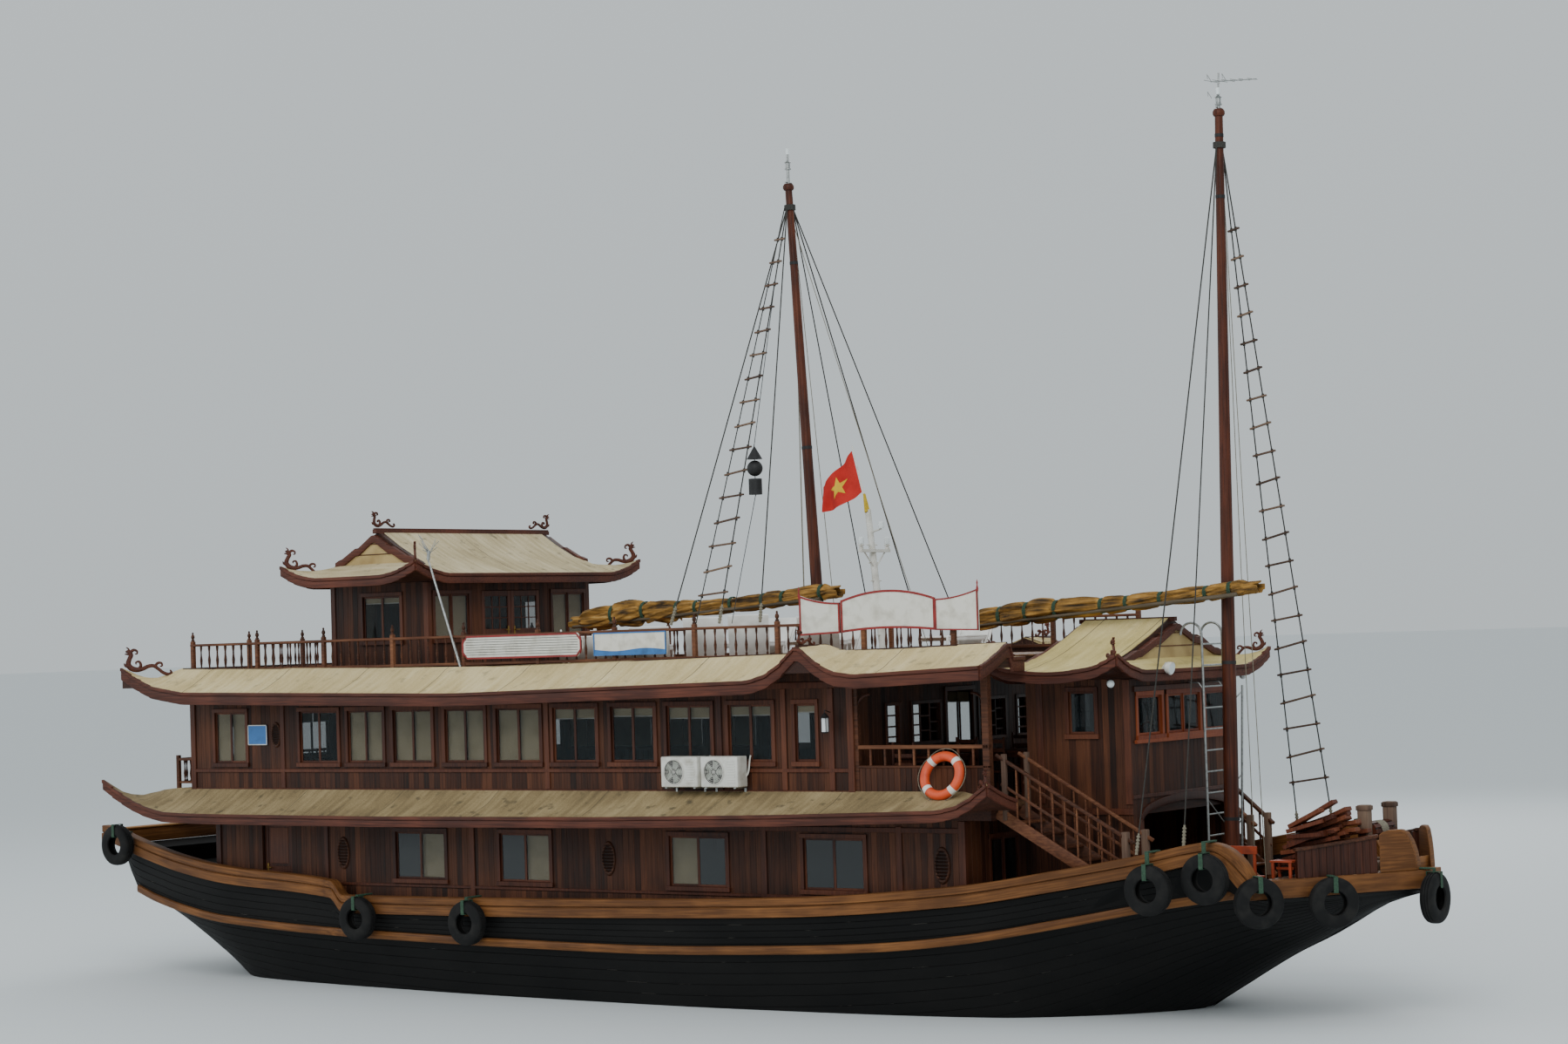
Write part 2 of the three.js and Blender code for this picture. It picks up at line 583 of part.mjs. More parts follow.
function buildLowerCabin() {
  const [low, high] = [CABIN_FLOOR + GAP, UPPER_DECK.bottom - GAP];
  const inner = LOWER.half - WALL - GAP;
  const door = box(
    [SIDE_DOOR.aft, -LOWER.half - 50, SIDE_DOOR.sill],
    [SIDE_DOOR.fore, -LOWER.half + 150, SIDE_DOOR.top],
  );
  add('lower_wall_starboard', sideWall(LOWER, low, high, LOWER_WINDOWS, -1, [door]), 'wall');
  add('lower_wall_port', sideWall(LOWER, low, high, LOWER_WINDOWS, 1), 'wall');
  add('lower_wall_aft', crossWall(LOWER.aft, inner, low, high, LOWER_END_WINDOWS), 'wall');
  const foreHoles = [[-FORE_DOOR.half, FORE_DOOR.half, low + SILL, FORE_DOOR.top], ...LOWER_END_WINDOWS];
  add('lower_wall_fore', crossWall(LOWER.fore - WALL, inner, low, high, foreHoles), 'wall');
  const innerFace = -LOWER.half + WALL - 2;
  add('side_door', doorLeaf(
    [SIDE_DOOR.fore - DOOR_GAP, innerFace], [SIDE_DOOR.aft + DOOR_GAP, innerFace - LEAF],
    SIDE_DOOR.sill + DOOR_GAP, SIDE_DOOR.top - DOOR_GAP,
  ), 'frame');
  const foreFace = LOWER.fore - WALL + 2;
  add('fore_door', doorLeaf(
    [foreFace, -FORE_DOOR.half + DOOR_GAP], [foreFace + LEAF, FORE_DOOR.half - DOOR_GAP],
    low + SILL + DOOR_GAP, FORE_DOOR.top - DOOR_GAP,
  ), 'frame');
}

// A door leaf whose hinge knuckle stands at the first corner, in line with the jamb
function doorLeaf([hx, hy], [x, y], low, high) {
  const leaf = box(
    [Math.min(hx, x), Math.min(hy, y), low],
    [Math.max(hx, x), Math.max(hy, y), high],
  );
  return joined([leaf, bar([hx, hy, low], [hx, hy, high], DOOR_GAP - GAP)]);
}

// Eaves: height of the edge along the side, with curls at its ends
function curl(distance, reach, rise) {
  const t = THREE.MathUtils.clamp(1 - distance / reach, 0, 1);
  return rise * t * t;
}

const SKIRT = { aft: -11800, fore: 7450, half: 3820, wallTop: 3480, depth: 150 };
const SKIRT_EDGE = [
  { x: -11800, z: 3080 }, { x: -9000, z: 3060 }, { x: -3000, z: 3050 }, { x: 2000, z: 3110 },
  { x: 5000, z: 3190 }, { x: 7450, z: 3270 },
];

function skirtTop(x, y) {
  const out = SKIRT.half - Math.abs(y);
  const inward = Math.min(out, x - SKIRT.aft, SKIRT.fore - x);
  const t = THREE.MathUtils.clamp(inward / (SKIRT.half - UPPER.half), 0, 1);
  const corners = curl(x - SKIRT.aft, 1900, 600) + curl(SKIRT.fore - x, 900, 380);
  const eave = between(SKIRT_EDGE, x, 'z') + corners * curl(out, 1600, 1);
  return eave + (Math.max(SKIRT.wallTop, eave + 60) - eave) * t * (0.7 + 0.3 * t);
}

function skirtRoof() {
  const xs = [
    SKIRT.aft, -11500, -11100, -10700, UPPER.aft, -9400, -8000, -5000, 0, 3500, 5500, 6550, 6900, 7200,
    SKIRT.fore,
  ];
  const halves = [0, 1600, 2600, UPPER.half, 3300, 3560, SKIRT.half];
  const ys = [...halves.slice(1).reverse().map((y) => -y), ...halves];
  const shell = plate(xs, ys, skirtTop, (x, y) => skirtTop(x, y) - SKIRT.depth);
  const hole = box([UPPER.aft - GAP, -UPPER.half - GAP, 2500], [9000, UPPER.half + GAP, 4500]);
  return shell.subtract(hole);
}

function upperDeck() {
  const main = box([UPPER.aft, -UPPER.half, UPPER_DECK.bottom], [BALCONY_FORE, UPPER.half, UPPER_DECK.top]);
  const nose = box(
    [BALCONY_FORE - 1, -WHEELHOUSE.half + WALL + GAP, UPPER_DECK.bottom],
    [WHEELHOUSE.fore - WALL - GAP, WHEELHOUSE.half - WALL - GAP, UPPER_DECK.top],
  );
  return joined([main, nose]);
}

function partitionHoles() {
  const { sill, head, doorHalf, doorTop } = PARTITION;
  const holes = PARTITION_SPANS.map(([a, b]) => [a, b, sill, head]);
  return [...holes, [-doorHalf, doorHalf, UPPER_DECK.top - 50, doorTop]];
}

function buildUpperCabin() {
  const [low, high] = [UPPER_DECK.top + GAP, CEILING - GAP];
  const inner = UPPER.half - WALL - GAP;
  add('upper_deck', upperDeck(), 'deck');
  add('skirt_roof', skirtRoof(), 'roof');
  add('upper_wall_starboard', sideWall(UPPER, low, high, UPPER_WINDOWS, -1), 'wall');
  add('upper_wall_port', sideWall(UPPER, low, high, UPPER_WINDOWS, 1), 'wall');
  const sternWindows = STERN_WINDOWS.map(([a, b]) => [a, b, UPPER_WINDOWS.sill, UPPER_WINDOWS.head]);
  add('upper_wall_aft', crossWall(UPPER.aft, inner, low, high, sternWindows), 'wall');
  add('upper_wall_fore', crossWall(UPPER.fore - WALL, inner, low, high, partitionHoles()), 'wall');
}

// Balcony beside the saloon: two posts to the roof, a panelled foot and a railing
function balcony(sign) {
  const y = UPPER.half;
  const place = (a, b) => [Math.min(sign * a, sign * b), Math.max(sign * a, sign * b)];
  const slab = (x0, x1, a, b, z0, z1) => {
    const [y0, y1] = place(a, b);
    return box([x0, y0, z0], [x1, y1, z1]);
  };
  const low = UPPER_DECK.top + GAP;
  const start = UPPER.fore + GAP;
  const pieces = [
    slab(start, BALCONY_FORE, y - 45, y, low, 3880),
    slab(start, BALCONY_FORE, y - 70, y, 4140, 4140 + RAIL),
    slab(BALCONY_FORE - 120, BALCONY_FORE, y - 120, y, low, CEILING - GAP),
    slab(start, start + 90, y - 90, y, low, CEILING - GAP),
  ];
  for (let x = start + 400; x < BALCONY_FORE - 200; x += 380) {
    pieces.push(slab(x - 20, x + 20, y - 50, y - 10, 3870, 4150));
  }
  return joined(pieces);
}

// Main roof, which carries the sun deck
const ROOF = { aft: -11300, fore: 7350, half: 3760, kerb: 2950, depth: 150, valley: 4010 };
const ROOF_EDGE = [
  { x: -11300, z: 5180 }, { x: -9730, z: 5130 }, { x: -3220, z: 5020 }, { x: 3050, z: 5130 },
  { x: 5060, z: 5190 }, { x: 7350, z: 5280 },
];

const KERB_EDGE = [{ x: -11300, z: 5700 }, { x: -3900, z: 5560 }, { x: 900, z: 5620 }, { x: 7350, z: 5740 }];

function roofEdge(x) {
  return between(ROOF_EDGE, x, 'z') + curl(Math.abs(x - ROOF.valley), 1000, 520) + 110;
}

function roofTop(x, y) {
  const kerb = between(KERB_EDGE, x, 'z');
  const inward = Math.min((ROOF.half - Math.abs(y)) / (ROOF.half - ROOF.kerb), (x - ROOF.aft) / 750);
  const corner = curl(x - ROOF.aft, 1500, 430) * curl(ROOF.half - Math.abs(y), 1500, 1);
  if (inward > 1.01) return SUN_DECK;
  const t = THREE.MathUtils.clamp(inward, 0, 1);
  const eave = roofEdge(x) + corner;
  return eave + (Math.max(kerb, eave) - eave) * t * (0.75 + 0.25 * t);
}

function roofUnder(x, y) {
  const inside = Math.abs(y) < 3260 && x > ROOF.aft + 500;
  return inside ? CEILING : Math.min(roofTop(x, y) - ROOF.depth, CEILING);
}

function mainRoof() {
  const xs = [
    ROOF.aft, -11000, -10550, -10490, -9730, -8000, -5500, -3220, 0, 2400, 3050, 3400, 3700, ROOF.valley, 4320,
    4650, 5060, 6200, ROOF.fore,
  ];
  const halves = [0, 1500, 2880, ROOF.kerb, 3250, 3270, 3500, ROOF.half];
  const ys = [...halves.slice(1).reverse().map((y) => -y), ...halves];
  const shell = plate(xs, ys, roofTop, roofUnder);
  return shell.subtract(box([6500, -2520, 4000], [9000, 2520, 7000]));
}

// Railing around the sun deck, with three blank boards fastened to its starboard side
function sunDeckRail() {
  const { aft, fore, half, height, posts } = SUN_RAIL;
  const low = SUN_DECK + GAP;
  const top = SUN_DECK + height;
  const pieces = [];
  [-1, 1].forEach((sign) => {
    pieces.push(box([aft, sign * half - 35, top - RAIL], [fore, sign * half + 35, top]));
    pieces.push(box([aft, sign * half - 25, low + 100], [fore, sign * half + 25, low + 150]));
    for (let i = 0; i <= posts; i += 1) {
      const x = aft + 45 + ((fore - aft - POST) * i) / posts;
      pieces.push(box([x - 40, sign * half - 40, low], [x + 40, sign * half + 40, top + 60]));
    }
  });
  pieces.push(box([aft, -half, top - RAIL], [aft + 70, half, top]));
  pieces.push(box([aft + 10, -half, low + 100], [aft + 60, half, low + 150]));
  [-1400, 0, 1400].forEach((y) => pieces.push(box([aft, y - 40, low], [aft + 80, y + 40, top + 60])));
  return joined([...pieces, ...signBoards(-half - 30)]);
}

// Outline of the largest board, which has wings at its sides
const WINGED_BOARD = [
  [3450, 5930], [6820, 5930], [6780, 6480], [6030, 6430], [5930, 6520], [5130, 6600], [4330, 6520], [4230, 6430],
  [3490, 6480],
];

function signBoards(y) {
  return [
    prism(WINGED_BOARD, y - 35, y + 5, alongY),
    box([-3700, y - 75, 5700], [-1000, y + 5, 6100]),
    box([-780, y - 35, 5700], [770, y + 5, 6080]),
  ];
}

// Pavilion on the sun deck and its two door leaves
function pavilionSide(sign) {
  const [low, high] = [SUN_DECK + GAP, PAVILION.ceiling - GAP];
  const inner = { aft: PAVILION.aft + WALL + GAP, fore: PAVILION.fore - WALL - GAP, half: PAVILION.half };
  return sideWall(inner, low, high, PAVILION_SIDE_WINDOW, sign);
}

function buildPavilion() {
  const [low, high] = [SUN_DECK + GAP, PAVILION.ceiling - GAP];
  add('pavilion_wall_starboard', pavilionSide(-1), 'wall');
  add('pavilion_wall_port', pavilionSide(1), 'wall');
  const { sill, head } = PAVILION_SIDE_WINDOW;
  const pairs = [[-2060, -1130, sill, head], [1130, 2060, sill, head]];
  add('pavilion_wall_aft', crossWall(PAVILION.aft, PAVILION.half, low, high, pairs), 'wall');
  const { half, sill: step, top } = PAVILION_DOORWAY;
  const foreHoles = [[-half, half, step, top], ...pairs];
  add('pavilion_wall_fore', crossWall(PAVILION.fore - WALL, PAVILION.half, low, high, foreHoles), 'wall');
  const face = PAVILION.fore - 2;
  [['starboard', -1], ['port', 1]].forEach(([name, sign]) => {
    add(`pavilion_door_${name}`, doorLeaf(
      [face, sign * (half - DOOR_GAP)], [face - LEAF, sign * (DOOR_GAP / 2)],
      step + DOOR_GAP, top - DOOR_GAP,
    ), 'frame');
  });
  add('pavilion_roof', hippedGable(PAVILION_ROOF), 'roof');
}

// Hip-and-gable roofs: half length along the ridge, half width across it, and heights of the eave, of
// the shoulder below the gable and of the ridge. Their corners rise by the tip.
const PAVILION_ROOF = {
  x: -6200, ridgeAcross: true, under: PAVILION.ceiling,
  long: 3070, wide: 1625, gable: 2330, eave: 7200, shoulder: 7430, ridge: 8010, tip: 250,
};
const WHEELHOUSE_ROOF = {
  x: 7740, ridgeAcross: false, under: WHEELHOUSE.ceiling,
  long: 1180, wide: 2430, gable: 830, eave: 5230, shoulder: 5400, ridge: 6030, tip: 280,
};

// u runs along the ridge and v across it
function hippedGable(roof) {
  const { x, ridgeAcross, under, long, wide, gable, eave, shoulder, ridge, tip } = roof;
  const rise = (u, v) => curl(Math.hypot(long - Math.abs(u), wide - Math.abs(v)), 900, tip);
  const slope = (v) => {
    const t = 1 - Math.abs(v) / wide;
    return eave + (ridge - eave) * t * (0.62 + 0.38 * t);
  };
  const top = (u, v) => {
    const out = (long - Math.abs(u)) / (long - gable);
    const skirt = Math.abs(u) < gable - 1 ? Infinity : eave + (shoulder - eave) * out;
    return Math.min(slope(v), skirt) + rise(u, v);
  };
  const halfU = [0, gable - 60, gable, (gable + long) / 2, long - 150, long];
  const halfV = [0, 0.25, 0.5, 0.7, 0.85, 0.94, 1].map((t) => t * wide);
  const both = (list) => [...list.slice(1).reverse().map((a) => -a), ...list];
  const [us, vs] = [both(halfU), both(halfV)];
  const low = (u, v) => under + rise(u, v);
  if (ridgeAcross) return plate(vs.map((v) => v + x), us, (a, b) => top(b, a - x), (a, b) => low(b, a - x));
  return plate(us.map((u) => u + x), vs, (a, b) => top(a - x, b), (a, b) => low(a - x, b));
}

function wheelhouseSide(sign) {
  const inner = { aft: WHEELHOUSE.aft, fore: WHEELHOUSE.fore - WALL - GAP, half: WHEELHOUSE.half };
  const high = WHEELHOUSE.ceiling - GAP;
  const wall = sideWall(inner, FORE_DECK + GAP, high, WHEELHOUSE_SIDE_WINDOW, sign);
  const slab = box(
    [6000, -UPPER.half, UPPER_DECK.bottom - GAP],
    [BALCONY_FORE + GAP, UPPER.half, UPPER_DECK.top + GAP],
  );
  return wall.subtract(slab);
}

function wheelhouseFront() {
  const arch = [];
  for (let i = 0; i <= 8; i += 1) {
    const turn = (i * Math.PI) / 8;
    arch.push([-Math.cos(turn) * ARCH.half, ARCH.spring + Math.sin(turn) * ARCH.rise]);
  }
  const opening = prism([[-ARCH.half, 1500], ...arch, [ARCH.half, 1500]], 8000, 9000, alongX);
  const windows = WHEELHOUSE_FRONT.spans.map(([a, b]) => [a, b, WHEELHOUSE_FRONT.sill, WHEELHOUSE_FRONT.head]);
  const [low, high] = [FORE_DECK + GAP, WHEELHOUSE.ceiling - GAP];
  return crossWall(WHEELHOUSE.fore - WALL, WHEELHOUSE.half, low, high, windows).subtract(opening);
}

const HELM = { x: 8020, z: 4130, radius: 380 };

function buildWheelhouse() {
  add('wheelhouse_wall_starboard', wheelhouseSide(-1), 'wall');
  add('wheelhouse_wall_port', wheelhouseSide(1), 'wall');
  add('wheelhouse_wall_fore', wheelhouseFront(), 'wall');
  const [low, high] = [UPPER_DECK.top + GAP, WHEELHOUSE.ceiling - GAP];
  const inner = WHEELHOUSE.half - WALL - GAP;
  const { half, sill, top } = WHEELHOUSE_DOOR;
  add('wheelhouse_wall_aft', crossWall(WHEELHOUSE.aft, inner, low, high, [[-half, half, sill, top]]), 'wall');
  const face = WHEELHOUSE.aft + 2;
  add('wheelhouse_door', doorLeaf(
    [face, -half + DOOR_GAP], [face + LEAF, half - DOOR_GAP],
    sill + DOOR_GAP, top - DOOR_GAP,
  ), 'frame');
  add('wheelhouse_roof', hippedGable(WHEELHOUSE_ROOF), 'roof');
  buildHelm(low);
}

function buildHelm(floor) {
  const { x, z, radius } = HELM;
  const desk = box([x + 130, -620, floor], [WHEELHOUSE.fore - WALL - GAP, 620, 3950]);
  const post = box([x + 130, -90, 3900], [x + 260, 90, z + 90]);
  const hole = bearing([x + 100, 0, z], [x + 200, 0, z], 20);
  add('helm_console', joined([desk, post]).subtract(hole), 'frame');
  const rim = torus(radius, 26, 4, 20);
  rim.rotateZ(Math.PI / 2);
  rim.translate(x, 0, z);
  const hub = bar([x - 40, 0, z], [x + 40, 0, z], 60, 60, 12);
  const pieces = [toSolid(rim), hub, bar([x, 0, z], [x + 190, 0, z], 20)];
  for (let i = 0; i < 4; i += 1) {
    const turn = (i * Math.PI) / 4;
    const [dy, dz] = [Math.cos(turn) * (radius + 110), Math.sin(turn) * (radius + 110)];
    pieces.push(bar([x, -dy, z - dz], [x, dy, z + dz], 14, 14, 6));
  }
  add('helm_wheel', joined(pieces), 'mast');
}

// Stairs from the balcony down to the foredeck, which draw in towards the bow
const STAIR = {
  top: [7030, 3080], foot: [9000, FORE_DECK + GAP],
  outer: [2880, 2230], inner: [2230, 1640], // sides, at the top and at the foot
  stringer: { lift: 90, width: 50, depth: 180 },
  rail: { lift: 960, width: 55, depth: 60 },
  treads: 6,
};

function stairs(sign) {
  const [[xTop, zTop], [xFoot, zFoot]] = [STAIR.top, STAIR.foot];
  const run = (lift, line) => [
    [xTop, sign * line[0], zTop + lift],
    [xFoot, sign * line[1], zFoot + lift],
  ];
  const pieces = [];
  [STAIR.outer, STAIR.inner].forEach((line) => {
    [STAIR.stringer, STAIR.rail].forEach(({ lift, width, depth }) => {
      pieces.push(beam(...run(lift, line), width, depth));
    });
    [0.06, 0.94].forEach((t) => {
      const at = [0, 1, 2].map((k) => THREE.MathUtils.lerp(run(0, line)[0][k], run(0, line)[1][k], t));
      pieces.push(box([at[0] - 35, at[1] - 35, at[2] + 100], [at[0] + 35, at[1] + 35, at[2] + 970]));
    });
  });
  for (let i = 1; i <= STAIR.treads; i += 1) {
    const t = i / (STAIR.treads + 1);
    const [outer, inner] = [STAIR.outer, STAIR.inner].map((line) => THREE.MathUtils.lerp(line[0], line[1], t));
    const [x, z] = [THREE.MathUtils.lerp(xTop, xFoot, t), THREE.MathUtils.lerp(zTop, zFoot, t) + 120];
    const [y0, y1] = [sign * outer, sign * inner].sort((a, b) => a - b);
    pieces.push(box([x - 120, y0, z - 20], [x + 120, y1, z + 20]));
  }
  return joined(pieces);
}

// Masts, booms, stays
function lineAt(mast, z) {
  const t = (z - mast.foot[2]) / (mast.head[2] - mast.foot[2]);
  return [0, 1].map((k) => THREE.MathUtils.lerp(mast.foot[k], mast.head[k], t));
}

function radiusAt(spar, z) {
  const t = (z - spar.foot[2]) / (spar.head[2] - spar.foot[2]);
  return THREE.MathUtils.lerp(spar.rFoot, spar.rHead, t);
}

function spine(spar, grow = 0) {
  return bar(spar.foot, spar.head, spar.rFoot + grow, spar.rHead + grow, 12);
}

function mast(spar, lamp) {
  const pole = above(spine(spar), spar.foot[2] + SUNK + GAP);
  const [x, y, z] = spar.head;
  const cap = bar([x, y, z - 40], [x, y, z + 60], 95, 95, 12);
  const light = bar([x, y, z], [x, y, z + lamp], 45, 45, 8);
  return joined([pole, cap, light]);
}

// A furled sail on its boom, with a collar that turns on the mast
function boom(spar, pole, z) {
  const lift = (p) => [p[0], p[1] + BOOM_OFFSET, p[2]];
  const bundle = bar(lift(spar.heel), lift(spar.tip), spar.r * 0.8, spar.r, 10);
  const [low, high] = [z - 60, z + 60].map((level) => [...lineAt(pole, level), level]);
  const radius = radiusAt(pole, z);
  const collar = bar(low, high, radius + 45, radius + 45, 16);
  const arm = box([low[0] - 50, BOOM_OFFSET, z - 45], [low[0] + 50, 0, z + 45]);
  const [under, over] = [z - 90, z + 90];
  const hole = bearing(
    [...lineAt(pole, under), under], [...lineAt(pole, over), over], radiusAt(pole, under), radiusAt(pole, over),
  );
  return joined([bundle, collar, arm]).subtract(hole);
}

function stays(spar, z, feet) {
  const [x, y] = lineAt(spar, z);
  const radius = radiusAt(spar, z);
  const lines = feet.flatMap(([fx, fy, fz]) => [-1, 1].map((sign) => bar(
    [x, sign * (radius + 20), z], [fx, sign * fy, fz], STAY_RADIUS, STAY_RADIUS, 6,
  )));
  const band = bar([x, y, z - 40], [x, y, z + 40], radius + 40, radius + 40, 16);
  return joined([...lines, band]).subtract(spine(spar, PIN_GAP));
}

function buildRigging() {
  add('fore_mast', mast(FORE_MAST, 330), 'mast');
  add('main_mast', mast(MAIN_MAST, 600), 'mast');
  add('fore_boom', boom(FORE_BOOM, FORE_MAST, 6390), 'sail');
  add('main_boom', boom(MAIN_BOOM, MAIN_MAST, 6590), 'sail');
  const foreFeet = [[9250, 2600, 2560], [9950, 2430, 2680]];
  const mainFeet = [[840, 2850, SUN_DECK + 690], [1830, 2850, SUN_DECK + 690], [2650, 2850, SUN_DECK + 690]];
  add('fore_stays', stays(FORE_MAST, 13300, foreFeet), 'rope');
  add('main_stays', stays(MAIN_MAST, 13200, mainFeet), 'rope');
}

// Signal mast, flag, life ring, outdoor units, ladder
const STAFF = { foot: [2845, 0, 7950], head: [2560, 0, 9080], radius: 16 };
function buildFittings() {
  const pole = above(bar([3080, 0, SUN_DECK - SUNK], [2840, 0, 7990], 70, 55, 10), SUN_DECK + GAP);
  const arm = box([2910, -420, 7270], [2990, 420, 7330]);
  const staff = bar(STAFF.foot, STAFF.head, STAFF.radius, STAFF.radius, 6);
  add('signal_mast', joined([pole, arm, staff]), 'white');
  const hoist = [8990, 8290].map((z) => [staffAt(z) - STAFF.radius * 1.03 - GAP, z]);
  add('flag', prism([...hoist, [1930, 7990], [1910, 8400]], -6, 6, alongY), 'red');
  add('life_ring', lifeRing(), 'orange');
  add('outdoor_units', outdoorUnits(), 'white');
  add('steel_ladder', steelLadder(), 'steel');
}

function staffAt(z) {
  const { foot, head } = STAFF;
  return THREE.MathUtils.lerp(foot[0], head[0], (z - foot[2]) / (head[2] - foot[2]));
}

const RING_LIFT = 5; // the roof slopes under the ring

function lifeRing() {
  const [radius, tube, lean, x] = [385, 75, 0.35, 6280];
  const middle = radius - tube;
  const y = -UPPER.half - GAP - tube - middle * Math.sin(lean);
  const z = skirtTop(x, y - middle * Math.sin(lean)) + tube + middle * Math.cos(lean) + RING_LIFT;
  const ring = torus(middle, tube, 8, 20);
  ring.rotateX(-lean);
  ring.translate(x, y, z);
  return toSolid(ring);
}

function outdoorUnits() {
  const wall = -UPPER.half - GAP;
  const cases = [[950, 1690], [1760, 2500]].map(([a, b]) => box([a, wall - 330, 3560], [b, wall - 60, 4050]));
  const shelf = box([1000, wall - 300, 3520], [2450, wall, 3562]);
  return joined([...cases, shelf]);
}

function steelLadder() {
  const [x, low, high, r, hoop] = [9010, FORE_DECK + GAP, 5750, 20, 185];
  const pieces = [];
  [60, 720].forEach((y) => {
    pieces.push(bar([x, y, low], [x, y, high], r, r, 6));
    const arc = [];
    for (let i = 0; i <= 4; i += 1) {
      const turn = (i * Math.PI) / 4;
      arc.push([x - hoop + Math.cos(turn) * hoop, y, high + Math.sin(turn) * hoop]);
    }
    arc.slice(1).forEach((p, i) => pieces.push(bar(arc[i], p, r, r, 6)));
  });
  for (let z = low + 250; z < high; z += 330) pieces.push(bar([x, 60, z], [x, 720, z], 16, 16, 5));
  return joined(pieces);
}

buildHull();
buildSides();
buildBow();
buildLowerCabin();
buildUpperCabin();
add('balcony_starboard', balcony(-1), 'frame');
add('balcony_port', balcony(1), 'frame');
add('main_roof', mainRoof(), 'roof');
add('sun_deck_rail', sunDeckRail(), 'frame');
buildPavilion();
buildWheelhouse();
add('stairs_starboard', stairs(-1), 'frame');
add('stairs_port', stairs(1), 'frame');
buildRigging();
buildFittings();

export default group;
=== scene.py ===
# %% [markdown]
# # A wooden junk, piece by piece
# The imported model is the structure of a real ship: hull, walls, roofs, masts and doors, at their real size
# and place in metres. The origin is amidships on the waterline, +X is the bow, +Y is port and +Z is up.
# This lesson gives each piece its finish and adds what a boatbuilder adds to the bare structure.

# %% Load the frame
import math
import random

import bpy
import numpy as np
from mathutils import Matrix, Vector


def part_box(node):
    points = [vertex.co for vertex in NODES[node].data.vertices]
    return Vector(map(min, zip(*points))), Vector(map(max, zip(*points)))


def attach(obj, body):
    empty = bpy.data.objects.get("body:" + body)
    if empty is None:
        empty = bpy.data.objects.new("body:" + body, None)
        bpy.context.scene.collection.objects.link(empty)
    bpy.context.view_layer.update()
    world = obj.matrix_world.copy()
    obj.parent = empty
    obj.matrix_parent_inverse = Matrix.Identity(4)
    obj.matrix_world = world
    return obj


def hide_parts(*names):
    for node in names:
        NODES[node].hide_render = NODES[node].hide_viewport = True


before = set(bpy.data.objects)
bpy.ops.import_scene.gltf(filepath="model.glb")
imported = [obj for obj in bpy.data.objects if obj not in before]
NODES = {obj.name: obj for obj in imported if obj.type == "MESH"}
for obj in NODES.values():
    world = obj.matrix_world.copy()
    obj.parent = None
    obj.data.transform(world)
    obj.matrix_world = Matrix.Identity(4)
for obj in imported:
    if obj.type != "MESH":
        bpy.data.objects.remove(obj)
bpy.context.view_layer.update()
SHIP = "ship"
random.seed(11)

# %% [markdown]
# ## Helpers for modelling
# Operators act on whatever is selected, so each helper first deselects everything. A piece could be written
# as bare lists of points, but it is started from a primitive and shaped, which shows how it comes about. At
# the end its place goes into its mesh, so that its object stays at the origin.

# %% Selection, modifiers and joining
def begin():
    """Leaves edit mode with nothing selected."""
    if bpy.context.mode != "OBJECT":
        bpy.ops.object.mode_set(mode="OBJECT")
    bpy.ops.object.select_all(action="DESELECT")


def pick(piece):
    """Makes a piece the only one selected, and the active one."""
    begin()
    piece.select_set(True)
    bpy.context.view_layer.objects.active = piece
    return piece


def settle(piece):
    """Puts a piece's place, turn and size into its mesh."""
    pick(piece)
    bpy.ops.object.transform_apply(location=True, rotation=True, scale=True)
    return piece


def modify(piece, kind, **settings):
    """Adds one modifier and applies it."""
    pick(piece)
    modifier = piece.modifiers.new(kind, kind)
    for key, value in settings.items():
        setattr(modifier, key, value)
    bpy.ops.object.modifier_apply(modifier=modifier.name)
    return piece


def eased(piece, width, segments=1):
    """Rounds off the arrises of a piece."""
    return modify(piece, "BEVEL", width=width, segments=segments, limit_method="ANGLE")


def bored(piece, drill):
    """Cuts the shape of a drill out of a piece. The drill is kept for the next cut."""
    return modify(piece, "BOOLEAN", operation="DIFFERENCE", object=drill, solver="EXACT")


def join(pieces):
    """Joins pieces into the first one, with their places in the mesh."""
    begin()
    for piece in pieces:
        piece.select_set(True)
    bpy.context.view_layer.objects.active = pieces[0]
    if len(pieces) > 1:
        bpy.ops.object.join()
    bpy.ops.object.transform_apply(location=True, rotation=True, scale=True)
    return pieces[0]


def copy_at(piece, place=(0, 0, 0), turn=(0, 0, 0), size=(1, 1, 1)):
    """A copy of a settled piece with its own mesh."""
    twin = piece.copy()
    twin.data = piece.data.copy()
    bpy.context.scene.collection.objects.link(twin)
    twin.location, twin.rotation_euler, twin.scale = place, turn, size
    return twin


def repeat(piece, places, turns=None):
    """One joined piece made of copies of a settled piece. The first one is used up."""
    twins = [copy_at(piece, place, turns[i] if turns else (0, 0, 0)) for i, place in enumerate(places)]
    bpy.data.objects.remove(piece)
    return join(twins)


def recalculate(piece, merge=0.0001, fill=False):
    """Merges doubles, closes the open ends if asked to, and turns every face outwards."""
    pick(piece)
    bpy.ops.object.mode_set(mode="EDIT")
    bpy.ops.mesh.select_all(action="SELECT")
    bpy.ops.mesh.remove_doubles(threshold=merge)
    if fill:
        bpy.ops.mesh.fill_holes(sides=0)
    bpy.ops.mesh.normals_make_consistent(inside=False)
    bpy.ops.object.mode_set(mode="OBJECT")
    return piece


def mirror_port(piece):
    """Adds the port half of a piece that was made to starboard."""
    twin = copy_at(piece, size=(1, -1, 1))
    return recalculate(join([piece, settle(twin)]))


